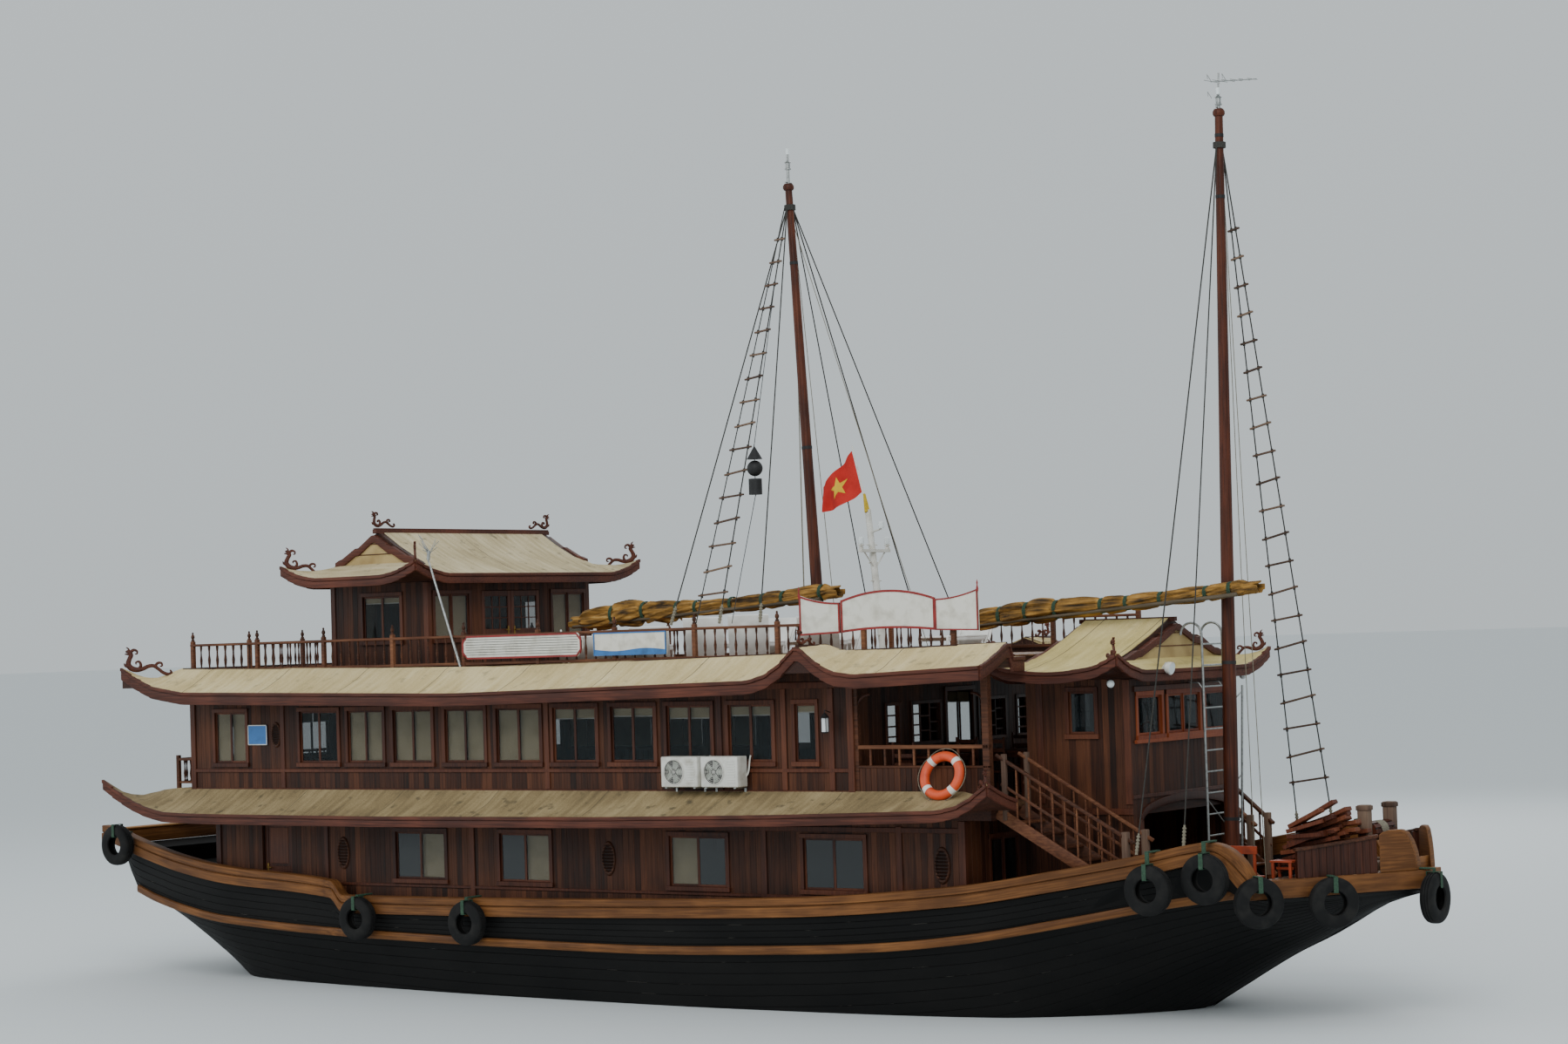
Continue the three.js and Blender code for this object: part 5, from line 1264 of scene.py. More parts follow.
def roof_finish(name, tones, seam, along=True, moss=0.35, wobble=0.4):
    """Weathered cream roofing. seam is the distance between joints in metres, moss how much dark lichen
    gathers in patches, and wobble how far the joints stray from a straight line."""
    material, tree, shader = blank(name, 0.85)
    shader.inputs["Specular IOR Level"].default_value = 0.25
    coord = node(tree, "TexCoord")
    place = coord.outputs["Object"]
    xyz = node(tree, "SeparateXYZ", {0: place}).outputs
    grain = cloudy(tree, place, 60.0, 5.0)
    streak = cloudy(tree, place, 1.0, 5.0, (9, 1.2, 1.2) if along else (1.2, 9, 1.2))
    patch = cloudy(tree, place, 0.9, 6.0)
    mixed = blend(tree, [(grain, 0.35), (streak, 0.4), (patch, 0.4)])
    color = node(tree, "ValToRGB", {"Fac": mixed}, [(0.34, tones[0]), (0.55, tones[1]), (0.75, tones[2])])
    spots = cloudy(tree, place, 5.0, 9.0)
    dark = node(tree, "MapRange", {"Value": spots, "From Min": 0.6, "From Max": 0.72, "To Max": moss})
    over = {"Factor": dark.outputs["Result"], 6: color.outputs["Color"], 7: linear("#4c4636")}
    stained = node(tree, "Mix", over, data_type="RGBA").outputs[2]
    bent = node(tree, "Math", {0: cloudy(tree, place, 0.5), 1: wobble, 2: xyz["X" if along else "Y"]},
                operation="MULTIPLY_ADD").outputs[0]
    across = node(tree, "Math", {0: bent, 1: seam}, operation="DIVIDE").outputs[0]
    across = node(tree, "Math", {0: across}, operation="FRACT").outputs[0]
    line = node(tree, "Math", {0: across, 1: 1.0 - 0.014 / seam}, operation="GREATER_THAN").outputs[0]
    over = {"Factor": line, 6: stained, 7: linear("#5c523f")}
    lined = node(tree, "Mix", over, data_type="RGBA").outputs[2]
    tree.links.new(lined, shader.inputs["Base Color"])
    bump(tree, shader, grain, 3.0, 0.7)
    return material


CREAM, WORN_CREAM = ("#a39160", "#cdb987", "#e3d3a6"), ("#5b4e3a", "#8d7b58", "#b5a27a")
FELT, REED = ("#8b7c58", "#bbab84", "#dacdab"), ("#9f8c52", "#c9b677", "#e0d098")
main_roofing = roof_finish("cream_roof_panels", CREAM, 1.9)
skirt_roofing = roof_finish("weathered_roof_panels", WORN_CREAM, 2.35, moss=0.7, wobble=0.7)
granular_roofing = roof_finish("granular_roof_felt", FELT, 9.0, False, moss=0.6)
reed_roofing = roof_finish("fine_reed_roofing", REED, 1.05, moss=0.2, wobble=0.0)


def fascia(line, depth):
    """A board in two steps along the eave: a narrow batten on top and a deep board under it. line holds
    (corner, outward) pairs along the edge of the roof's top."""
    def frame_at(i):
        return (*line[i], (1, 1))

    upper = rounded(-0.02, 0.03 + 0.022, -0.045, 0.012, 0.008)
    lower = rounded(-0.02, 0.03, -depth, -0.047, 0.012)
    return [moulding(list(range(len(line))), frame_at, profile) for profile in (upper, lower)]


# %% Skirt roof between the decks
SKIRT = {"aft": -11.8, "fore": 7.45, "half": 3.82, "inner": 3.054, "stern": -10.254}
MAIN = {"aft": -11.3, "fore": 7.35, "half": 3.76, "inner": 2.94, "stern": -10.52}
MAIN_STEP, MAIN_NARROW = 6.49, 2.53  # from here forward the roof's inner edge lies closer to the middle
LIFT = 0.012  # how far a skin lies over the structure


def closer(start, end, step, tight, band):
    """Places from start to end, with closer ones inside a band at its ends."""
    places = list(np.arange(start, end, step)) + [end]
    for a, b in band:
        places += [x for x in np.arange(a, b, tight) if start < x < end]
    return sorted({round(float(x), 4) for x in places})


def edge_line(node_name, x, y, inward):
    """Height of a roof's edge, found a little way in from it."""
    return height_over(node_name, x + inward[0] * 0.006, y + inward[1] * 0.006, 3.0)


def smooth_heights(heights, turns=2):
    """Evens out the corners that the structure's flat facets leave along an edge."""
    values = list(heights)
    for _ in range(turns):
        inner = [(values[i - 1] + 2 * values[i] + values[i + 1]) / 4 for i in range(1, len(values) - 1)]
        values = [values[0]] + inner + [values[-1]]
    return values


def held(value, low, high):
    """A place kept a little inside both ends of an edge."""
    return min(max(value, low + 0.01), high - 0.01)


def eave_fascia(node_name, roof, depth, fronts):
    """The fascia boards along both sides and the stern of a long roof, and along parts of its fore edge."""
    aft, fore, half = roof["aft"], roof["fore"], roof["half"]
    xs = closer(aft, fore, 0.25, 0.08, [(aft, aft + 2), (3.0, 5.2), (fore - 1, fore)])
    pieces = []
    for sign in (-1, 1):
        heights = [edge_line(node_name, held(x, aft, fore), sign * half, (0, -sign)) for x in xs]
        line = zip(xs, smooth_heights(heights, 1))
        pieces += fascia([(Vector((x, sign * half, z)), Vector((0, sign, 0))) for x, z in line], depth)
    ys = list(np.linspace(-half, half, 60))
    line = zip(ys, smooth_heights([edge_line(node_name, aft, held(y, -half, half), (1, 0)) for y in ys]))
    pieces += fascia([(Vector((aft, y, z)), Vector((-1, 0, 0))) for y, z in line], depth)
    for a, b in fronts:
        ys = list(np.linspace(a, b, 16))
        line = zip(ys, [edge_line(node_name, fore, held(y, a, b), (-1, 0)) for y in ys])
        pieces += fascia([(Vector((fore, y, z)), Vector((1, 0, 0))) for y, z in line], depth)
    return pieces


def skin(node_name, x0, x1, y0, y1, columns, rows):
    """One part of a long roof's skin."""
    return shell(roof_sheet(node_name, x0, x1, y0, y1, columns, rows, LIFT))


skins = [skin("skirt_roof", SKIRT["aft"], SKIRT["fore"], sign * SKIRT["half"], sign * SKIRT["inner"], 150, 7)
         for sign in (-1, 1)]
skins.append(skin("skirt_roof", SKIRT["aft"], SKIRT["stern"], -SKIRT["inner"], SKIRT["inner"], 12, 40))
done(join(skins), "skirt_roof_skin", skirt_roofing, smooth=30)
fronts = [(-SKIRT["half"], -SKIRT["inner"]), (SKIRT["inner"], SKIRT["half"])]
boards = eave_fascia("skirt_roof", SKIRT, 0.17, fronts)
done(join(boards), "skirt_roof_fascia", fascia_wood, smooth=35)

# %% Main roof
skins = []
for sign in (-1, 1):
    edge = sign * MAIN["half"]
    skins.append(skin("main_roof", MAIN["aft"], MAIN_STEP, edge, sign * MAIN["inner"], 170, 8))
    skins.append(skin("main_roof", MAIN_STEP, MAIN["fore"], edge, sign * MAIN_NARROW, 8, 8))
skins.append(skin("main_roof", MAIN["aft"], MAIN["stern"], -MAIN["inner"], MAIN["inner"], 8, 40))
done(join(skins), "main_roof_skin", main_roofing, smooth=30)
fronts = [(-MAIN["half"], -MAIN_NARROW), (MAIN_NARROW, MAIN["half"])]
boards = eave_fascia("main_roof", MAIN, 0.21, fronts)
done(join(boards), "main_roof_fascia", fascia_wood, smooth=35)

# %% [markdown]
# ## Ridges, gables and the carved ends
# The two small roofs are hipped with a gable over each end. Boards cover the ridge and the slanting edges of
# the gable, a tan panel closes it, and carved scrolls in the shape of a dragon's neck stand at the corners.
# They could be sculpted, but a tapering band along a curve gives the outline that is sawn from a plank.

# %% Small roofs
def small_roof(name, x, across, long, wide, gable, finish, crest=0.04):
    """Skin, fascias, ridge, barge boards and gable panels of a hip-and-gable roof. u runs along the ridge,
    and crest is how far the boards stand above it."""
    def spot(u, v, lift=0.0, inset=0.004):
        cu = math.copysign(min(abs(u), long - inset), u)
        cv = math.copysign(min(abs(v), wide - inset), v)
        px, py = (x + cv, cu) if across else (x + cu, cv)
        z = height_over(name, px, py, 5.0)
        px, py = (x + v, u) if across else (x + u, v)
        return Vector((px, py, z + lift))

    parts = []
    for a, b in ((-gable + 0.03, gable - 0.03), (gable, long), (-long, -gable)):
        columns = 30 if a < 0 < b else 6
        parts.append(grid(columns, 28, lambda u, v: spot(a + (b - a) * u, wide * (2 * v - 1), LIFT),
                          (b - a, 2 * wide)))
    done(join([shell(part) for part in parts]), name + "_skin", finish, smooth=28)

    def eave(half, at, out):
        """One fascia along an edge, where at(t, inset) is the roof's edge at a place along it."""
        ts = closer(-half, half, 0.16, 0.06, [(-half, -half + 0.8), (half - 0.8, half)])
        heights = smooth_heights([at(t, 0.008).z for t in ts], 3)
        return fascia([(Vector((*at(t, 0.004).xy, z)), out) for t, z in zip(ts, heights)], 0.17)

    boards = []
    for sign in (-1, 1):
        out = Vector((sign, 0, 0)) if across else Vector((0, sign, 0))
        boards += eave(long, lambda u, inset: spot(u, sign * wide, 0, inset), out)
        out = Vector((0, sign, 0)) if across else Vector((sign, 0, 0))
        boards += eave(wide, lambda v, inset: spot(sign * long, v, 0, inset), out)
        # Barge boards up the gable and down again
        base = [spot(sign * (gable - 0.05), v) for v in np.linspace(-wide * 0.8, wide * 0.8, 33)]
        top = [p for p in base if p.z > spot(sign * (gable + 0.08), 0).z + 0.02]
        profile = rounded(-0.05, 0.07, -0.1, crest, 0.012)
        boards.append(moulding(list(range(len(top))), lambda i: (top[i] + out * 0.02, out, (1, 1)), profile))
    peak = spot(0, 0).z
    ridge = (-gable - 0.03, gable + 0.03)
    ends = [Vector((x, u, peak)) if across else Vector((x + u, 0, peak)) for u in ridge]
    level = Vector((0, 0, crest - 0.035))
    boards.append(settle(spar(ends[0] + level, ends[1] + level, 0.09, 0.07)))
    if crest > 0.03:
        level = Vector((0, 0, crest + 0.01))
        boards.append(settle(spar(ends[0] + level, ends[1] + level, 0.055, 0.03)))
    done(join(boards), name + "_boards", fascia_wood, smooth=35)

    panels, battens = [], []
    for sign in (-1, 1):
        foot = spot(sign * (gable + 0.02), 0).z
        line = np.linspace(-wide * 0.78, wide * 0.78, 27)
        outline = [(v, spot(sign * (gable - 0.05), v).z - 0.05) for v in line]
        outline = [(v, z) for v, z in outline if z > foot + 0.02]
        half = max(abs(v) for v, _ in outline)
        plane = sign * (gable + 0.004)

        def panel_place(u, w):
            v = half * (2 * u - 1)
            z = foot + (np.interp(v, [o[0] for o in outline], [o[1] for o in outline]) - foot) * w
            return Vector((x + v, plane, z)) if across else Vector((x + plane, v, z))

        panel = grid(26, 1, panel_place)
        facing_from(panel, lambda c: (c.x, 0, c.z) if across else (x, 0, c.z))
        panels.append(modify(panel, "SOLIDIFY", thickness=0.02, offset=-1))
        for k in (1, 2):
            z = foot + (peak - foot) * k / 3.2
            reach = half * (1 - k / 3.2) * 0.92
            low, high = sorted((plane - 0.002 * sign, plane + 0.012 * sign))
            if across:
                battens.append(((x - reach, low, z - 0.008), (x + reach, high, z + 0.008)))
            else:
                battens.append(((x + low, -reach, z - 0.008), (x + high, reach, z + 0.008)))
    done(join(panels), name + "_gable_panels", tan_board)
    done(blocks(battens, 0.003), name + "_gable_battens", rail_wood)
    return peak


pavilion_peak = small_roof("pavilion_roof", -6.2, True, 3.07, 1.625, 2.33, granular_roofing)
small_roof("wheelhouse_roof", 7.74, False, 1.18, 2.43, 0.83, reed_roofing, 0.012)


# %% Carved dragon scrolls and finials
def scroll(points, widths, thick):
    """A flat carved scroll: a tapering band along a curve, thick across. It lies in the XZ plane."""
    fine, wide = [], []
    count = 8 * (len(points) - 1)
    for k in range(count + 1):
        t = k / count * (len(points) - 1)
        i = min(int(t), len(points) - 2)
        f = t - i
        p = [Vector((*points[min(max(j, 0), len(points) - 1)], 0)) for j in (i - 1, i, i + 1, i + 2)]
        spot = 0.5 * (2 * p[1] + (p[2] - p[0]) * f + (2 * p[0] - 5 * p[1] + 4 * p[2] - p[3]) * f * f
                      + (3 * p[1] - p[0] - 3 * p[2] + p[3]) * f ** 3)
        fine.append(spot)
        wide.append(float(np.interp(t, range(len(widths)), widths)))

    def place(u, v):
        i = round(u * count)
        a, b = fine[max(i - 1, 0)], fine[min(i + 1, count)]
        along = (b - a).normalized()
        out = Vector((-along.y, along.x, 0))
        turn = 2 * math.pi * (round(v * 8) % 8) / 8
        offset = out * math.cos(turn) * wide[i]
        return Vector((fine[i].x + offset.x, math.sin(turn) * thick, fine[i].y + offset.y))

    return recalculate(grid(count, 8, place), fill=True)


DRAGON_BODY = [
    (-0.8, 0.1), (-0.83, 0.05), (-0.78, 0.01), (-0.68, 0.03), (-0.58, 0.09), (-0.48, 0.14), (-0.38, 0.12),
    (-0.28, 0.06), (-0.17, 0.03), (-0.06, 0.05), (0.0, 0.12), (-0.01, 0.22), (-0.03, 0.3), (0.02, 0.36),
    (0.08, 0.35),
]
BODY_WIDTHS = (
    0.008, 0.018, 0.022, 0.022, 0.022, 0.024, 0.026, 0.028, 0.034, 0.038, 0.036, 0.03, 0.03, 0.026, 0.01,
)
DRAGON_CURLS = [
    ([(-0.5, 0.12), (-0.55, 0.2), (-0.62, 0.21), (-0.64, 0.16), (-0.6, 0.14)],
     (0.022, 0.018, 0.015, 0.012, 0.007)),
    ([(-0.2, 0.03), (-0.24, 0.12), (-0.2, 0.19), (-0.14, 0.17), (-0.15, 0.13)],
     (0.024, 0.02, 0.016, 0.012, 0.007)),
    ([(0.0, 0.33), (-0.06, 0.4), (-0.13, 0.39), (-0.14, 0.34), (-0.1, 0.33)],
     (0.024, 0.02, 0.015, 0.011, 0.006)),
    ([(0.01, 0.35), (0.03, 0.41), (0.08, 0.44)], (0.018, 0.012, 0.005)),
    ([(0.0, 0.31), (0.05, 0.31), (0.09, 0.3)], (0.02, 0.013, 0.006)),
    ([(-0.02, 0.08), (0.05, 0.08), (0.08, 0.13)], (0.026, 0.016, 0.006)),
]


def dragon(size):
    """A flat carved dragon. Its neck rises at the outer end (+X), and its body winds inwards on the roof."""
    parts = []
    for line, widths in [(DRAGON_BODY, BODY_WIDTHS)] + DRAGON_CURLS:
        route = [(x * size, z * size) for x, z in line]
        parts.append(scroll(route, [w * size * 1.45 for w in widths], 0.022))
    return join(parts)


dragons = []


def set_dragon(roof, x, y, heading, size, lean):
    """Stands a dragon on a roof. heading is the way it looks, as an angle from the bow."""
    piece = dragon(size)
    piece.rotation_euler = (0, -lean, heading)
    piece.location = (x, y, height_over(roof, x, y, 5.6) + 0.01)
    dragons.append(settle(piece))


for sx in (-1, 1):
    for sy in (-1, 1):
        heading = math.atan2(sy, sx)
        set_dragon("pavilion_roof", -6.2 + sx * 1.58, sy * 3.02, heading, 0.8, 0.24)
        set_dragon("wheelhouse_roof", 7.74 + sx * 1.13, sy * 2.38, heading, 0.66, 0.24)
for sy in (-1, 1):
    gable_dragon = dragon(0.62)
    gable_dragon.rotation_euler = (0, 0, sy * math.pi / 2)
    gable_dragon.location = (-6.2, sy * 2.36, pavilion_peak + 0.09)
    dragons.append(settle(gable_dragon))
    set_dragon("main_roof", MAIN["aft"] + 0.07, sy * 3.69, sy * 2.36, 0.95, 0.14)
    set_dragon("skirt_roof", 7.4, sy * 3.76, sy * 0.785, 0.6, 0.12)
    set_dragon("main_roof", 4.01, sy * 3.7, sy * 1.57, 0.5, 0.05)
done(join(dragons), "carved_dragon_scrolls", fascia_wood, smooth=60)

# %% [markdown]
# ## Sun deck
# Turned balusters stand between two rails, with ball-topped posts every metre and a half. A stack of
# cylinders would look stepped, so one profile is spun round its axis, as on a lathe, and copied. Painted
# boards hang on the starboard side. Their faces are blank.

# %% Railing
SUN = {"aft": -10.45, "fore": 6.35, "half": 2.83, "deck": 5.5, "height": 0.62, "posts": 10}
BALUSTER = [(0, 0), (0.02, 0), (0.02, 0.03), (0.011, 0.05), (0.019, 0.1), (0.024, 0.16), (0.013, 0.24),
            (0.011, 0.3), (0.02, 0.36), (0.02, 0.4), (0, 0.4)]
BALL_POST = [(0.0, 0.0), (0.034, 0.0), (0.034, 0.02), (0.02, 0.04), (0.033, 0.065), (0.036, 0.085),
             (0.028, 0.11), (0.014, 0.13), (0.02, 0.145), (0.013, 0.165), (0, 0.17)]


def balusters(places, height):
    """Turned balusters of one height at (x, y, z) places."""
    return repeat(turned([(r, z * height / 0.4) for r, z in BALUSTER], 8), places)


rail_top = SUN["deck"] + SUN["height"]
post_top = rail_top + 0.05
squares, spindles, balls = [], [], []


def sun_post(x, y):
    """A square post with a ball on it."""
    squares.append(((x - 0.038, y - 0.038, SUN["deck"]), (x + 0.038, y + 0.038, post_top)))
    balls.append((x, y, post_top))


first, reach = SUN["aft"] + 0.045, SUN["fore"] - SUN["aft"] - 0.08
post_xs = [first + reach * i / SUN["posts"] for i in range(SUN["posts"] + 1)]
for sign in (-1, 1):
    y = sign * SUN["half"]
    squares.append(((SUN["aft"], y - 0.04, rail_top - 0.045), (SUN["fore"], y + 0.04, rail_top)))
    squares.append(((SUN["aft"], y - 0.025, SUN["deck"] + 0.1), (SUN["fore"], y + 0.025, SUN["deck"] + 0.15)))
    for x in post_xs:
        sun_post(x, y)
    for a, b in zip(post_xs, post_xs[1:]):
        spindles += [(a + (b - a) * k / 8, y, SUN["deck"] + 0.145) for k in range(1, 8)]
x, half = SUN["aft"] + 0.04, SUN["half"]
squares.append(((x - 0.04, -half, rail_top - 0.045), (x + 0.04, half, rail_top)))
squares.append(((x - 0.025, -half, SUN["deck"] + 0.1), (x + 0.025, half, SUN["deck"] + 0.15)))
post_ys = [-1.4, 0.0, 1.4]
for y in post_ys:
    sun_post(x, y)
for a, b in zip([-half] + post_ys, post_ys + [half]):
    spindles += [(x, a + (b - a) * k / 7, SUN["deck"] + 0.145) for k in range(1, 7)]
frame_bars = blocks(squares, 0.008)
done(frame_bars, "sun_deck_rails", rail_wood, stands_for=("sun_deck_rail",))
done(balusters(spindles, SUN["height"] - 0.185), "sun_deck_balusters", rail_wood, smooth=40)
done(repeat(turned(BALL_POST, 12), balls), "sun_deck_post_balls", rail_wood, smooth=40)

# %% Painted boards
BOARD_Y = -SUN["half"] - 0.06
WING_LONG = 0.78


def board_face(x0, x1, low, high, y, thick, columns=24):
    """An upright board between two outlines, low(x) and high(x), that faces starboard."""
    def place(u, v):
        x = x0 + (x1 - x0) * u
        return Vector((x, y, low(x) + (high(x) - low(x)) * v))

    piece = grid(columns, 1, place)
    facing_from(piece, lambda c: c + Vector((0, 5, 0)))
    return modify(piece, "SOLIDIFY", thickness=thick, offset=-1)


def bordered(x0, x1, low, high, y, face, edge, name, width=0.035, thick=0.03):
    """A painted board with a raised border in another colour."""
    board = board_face(x0, x1, low, high, y, thick)
    done(board, name + "_board", face)
    strips = [
        board_face(x0, x1, low, lambda x: low(x) + width, y - 0.008, 0.02),
        board_face(x0, x1, lambda x: high(x) - width, high, y - 0.008, 0.02),
        board_face(x0, x0 + width, low, high, y - 0.009, 0.02, 2),
        board_face(x1 - width, x1, low, high, y - 0.009, 0.02, 2),
    ]
    done(join(strips), name + "_border", edge)


def round_end(x, x0, x1, r):
    """How far a board with round corners draws in at a place along it."""
    d = max(0.0, r - min(x - x0, x1 - x))
    return r - math.sqrt(max(0.0, r * r - d * d))


def arched(height, rise):
    """An edge that bows up in the middle of the arched board."""
    return lambda x: height + rise * (1 - ((x - 5.13) / 0.9) ** 2)


def wing(x0, x1, inner, name, width):
    """A side board whose top curves up away from the arched board. inner is its end beside that board."""
    bordered(x0, x1, lambda x: 5.95 - 0.03 * abs(inner - x),
             lambda x: 6.43 + 0.13 * (abs(inner - x) / WING_LONG) ** 2,
             BOARD_Y - 0.005, white_board, red_paint, name, width)


bordered(4.25, 6.02, arched(5.95, 0.05), arched(6.45, 0.15), BOARD_Y + 0.01, white_board, red_paint,
         "arched_sign")
wing(3.46, 4.24, 4.24, "left_wing", 0.03)
wing(6.03, 6.81, 6.03, "right_wing", 0.022)
tips = []
for x in (3.46, 6.81):
    tip = turned([(0, 0), (0.016, 0), (0.02, 0.04), (0.008, 0.1), (0.014, 0.13), (0, 0.19)], 10)
    tip.location = (x, BOARD_Y - 0.005, 6.52)
    tips.append(settle(tip))
done(join(tips), "sign_tips", red_paint)

x0, x1, r = -3.68, -1.02, 0.13
bordered(x0, x1, lambda x: 5.7 + round_end(x, x0, x1, r), lambda x: 6.1 - round_end(x, x0, x1, r),
         BOARD_Y - 0.03, white_board, red_paint, "rounded_sign", 0.032, 0.05)
lines = [((x0 + 0.08, BOARD_Y - 0.036, 5.77 + 0.043 * k), (x1 - 0.08, BOARD_Y - 0.029, 5.776 + 0.043 * k))
         for k in range(7)]
done(blocks(lines, 0), "rounded_sign_lines", black_paint)
bordered(-0.77, 0.76, lambda x: 5.7, lambda x: 6.08, BOARD_Y - 0.012, white_board, blue_paint,
         "blue_sign", 0.02)
wave = board_face(-0.75, 0.74, lambda x: 5.72, lambda x: 5.79 + 0.02 * math.sin(5 * x), BOARD_Y - 0.017,
                  0.008)
done(wave, "blue_sign_wave", blue_paint)

# %% Sun loungers
def lounger(x, y, turn, tall=0.72):
    """A white lounger with its back up, its foot towards the middle of the ship."""
    parts = [
        spar((0, -0.25, 0.3), (0, 1.0, 0.3), 0.62, 0.03), spar((0, -0.24, 0.1), (0, -0.56, tall), 0.66, 0.03),
        spar((0.28, -0.2, 0.26), (0.28, 1.0, 0.26), 0.045, 0.06),
        spar((-0.28, -0.2, 0.26), (-0.28, 1.0, 0.26), 0.045, 0.06),
    ]
    for lx in (-0.28, 0.28):
        for ly in (-0.12, 1.0):
            parts.append(rod((lx, ly, 0.0), (lx, ly, 0.3), 0.02, sides=8))
        parts.append(spar((lx, -0.5, 0.62), (lx, -0.12, 0.03), 0.03, 0.03))
    made = eased(join(parts), 0.01, 2)
    made.rotation_euler = (0, 0, turn)
    made.location = (x, y, 5.53)
    return settle(made)


# Place along the ship, turn and height of the back
STARBOARD_LOUNGERS = (
    (-1.75, 0.62, 0.5), (-0.95, 0.55, 0.52), (-0.2, 0.6, 0.62), (1.0, 0.5, 0.74), (1.85, 0.62, 0.76),
    (3.3, 0.5, 0.7),
)
loungers = [lounger(x, -2.08, turn, tall) for x, turn, tall in STARBOARD_LOUNGERS]
loungers += [lounger(x, 1.95, math.pi + turn) for x, turn in ((-0.8, 0.05), (0.7, -0.06), (3.4, 0.03))]
done(join(loungers), "sun_loungers", white_resin)

# %% [markdown]
# ## Balconies, saloon and stairs
# Beside the saloon a low panelled side carries a light railing. Through it one sees the lattice windows of
# the partition, with tables and chairs before them. Two weathered stairs lead down to the foredeck. Their
# parts could be placed one by one, but all are measured from the stair's own line, so that they stay in
# step.

# %% Balconies
bal_low, bal_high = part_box("balcony_starboard")
BAL = {"aft": bal_low[0], "fore": 7.02, "half": 3.05, "fore_post": 0.12, "aft_post": 0.09}
PANELS = 21
uprights, panel_boards = [], []
for sign in (-1, 1):
    y = sign * BAL["half"]
    y0, y1 = sorted((y, y - sign * 0.07))
    uprights.append(((BAL["aft"], y0, 4.14), (BAL["fore"], y1, 4.2)))
    uprights.append(((BAL["aft"], y0, 3.845), (BAL["fore"], y1, 3.885)))
    y0, y1 = sorted((y, y - sign * 0.12))
    uprights.append(((BAL["fore"] - BAL["fore_post"], y0, bal_low[2]), (BAL["fore"], y1, bal_high[2])))
    y0, y1 = sorted((y, y - sign * 0.09))
    uprights.append(((BAL["aft"], y0, bal_low[2]), (BAL["aft"] + BAL["aft_post"], y1, bal_high[2])))
    middle = y - sign * 0.03
    for x in np.arange(BAL["aft"] + 0.3, BAL["fore"] - 0.2, 0.27):
        uprights.append(((x - 0.018, middle - 0.018, 3.88), (x + 0.018, middle + 0.018, 4.145)))
    width = (BAL["fore"] - BAL["fore_post"] - BAL["aft"] - BAL["aft_post"]) / PANELS
    y0, y1 = sorted((y - sign * 0.01, y - sign * 0.04))
    for k in range(PANELS):
        x = BAL["aft"] + BAL["aft_post"] + width * k
        panel_boards.append(((x + 0.002, y0, bal_low[2]), (x + width - 0.002, y1, 3.85)))
done(blocks(uprights, 0.007), "balcony_rails", rail_wood,
     stands_for=("balcony_starboard", "balcony_port"))
done(blocks(panel_boards, 0.004), "balcony_panels", wall_boards)


# %% Lattice windows in the partition
def lattice(wall, hole, columns):
    """Frame and bars of a lattice window. Each column of panes is divided at its own heights."""
    a, b, low, high = hole
    made = [slab(wall, a - 0.03, a + 0.025, -0.07, 0.02, low - 0.03, high + 0.03),
            slab(wall, b - 0.025, b + 0.03, -0.07, 0.02, low - 0.03, high + 0.03),
            slab(wall, a, b, -0.07, 0.02, low - 0.03, low + 0.025),
            slab(wall, a, b, -0.07, 0.02, high - 0.025, high + 0.03)]
    step = (b - a) / len(columns)
    for i, cuts in enumerate(columns):
        left = a + step * i
        if i:
            made.append(slab(wall, left - 0.013, left + 0.013, -0.045, -0.02, low, high))
        for cut in cuts:
            z = low + (high - low) * cut
            made.append(slab(wall, left, left + step, -0.045, -0.02, z - 0.013, z + 0.013))
    return made


NARROW = [(0.2, 0.45, 0.72)]
WIDE = [(0.2, 0.45, 0.72), (0.3, 0.66), (0.26, 0.5, 0.85)]
lattices = []
for hole, columns in zip(PARTITION, (NARROW, WIDE, WIDE[::-1], NARROW)):
    lattices += lattice(UPPER_FORE, hole, columns)
done(blocks(lattices, 0.003), "saloon_lattice_windows", frame_wood)
a, b, low, high = PARTITION_DOOR
posts = [slab(UPPER_FORE, a - 0.07, a, -0.06, 0.025, low + 0.08, high + 0.07),
         slab(UPPER_FORE, b, b + 0.07, -0.06, 0.025, low + 0.08, high + 0.07),
         slab(UPPER_FORE, a - 0.07, b + 0.07, -0.06, 0.03, high, high + 0.08)]
done(blocks(posts, 0.006), "partition_door_posts", frame_wood)

# %% Tables and chairs in the saloon
SALOON_FLOOR = 3.226


def chair(x, y, way):
    """A plain dining chair. way is 1 or -1 for the side of the seat on which its back stands."""
    made = [((x - 0.21, y - 0.21, 0.43), (x + 0.21, y + 0.21, 0.465))]
    for dx in (-0.19, 0.19):
        for dy in (-0.19, 0.19):
            tall = 1.0 if dy * way > 0 else 0.43
            made.append(((x + dx - 0.018, y + dy - 0.018, 0.0), (x + dx + 0.018, y + dy + 0.018, tall)))
    for z in (0.62, 0.76, 0.9):
        made.append(((x - 0.17, y + 0.19 * way - 0.01, z), (x + 0.17, y + 0.19 * way + 0.01, z + 0.06)))
    return made


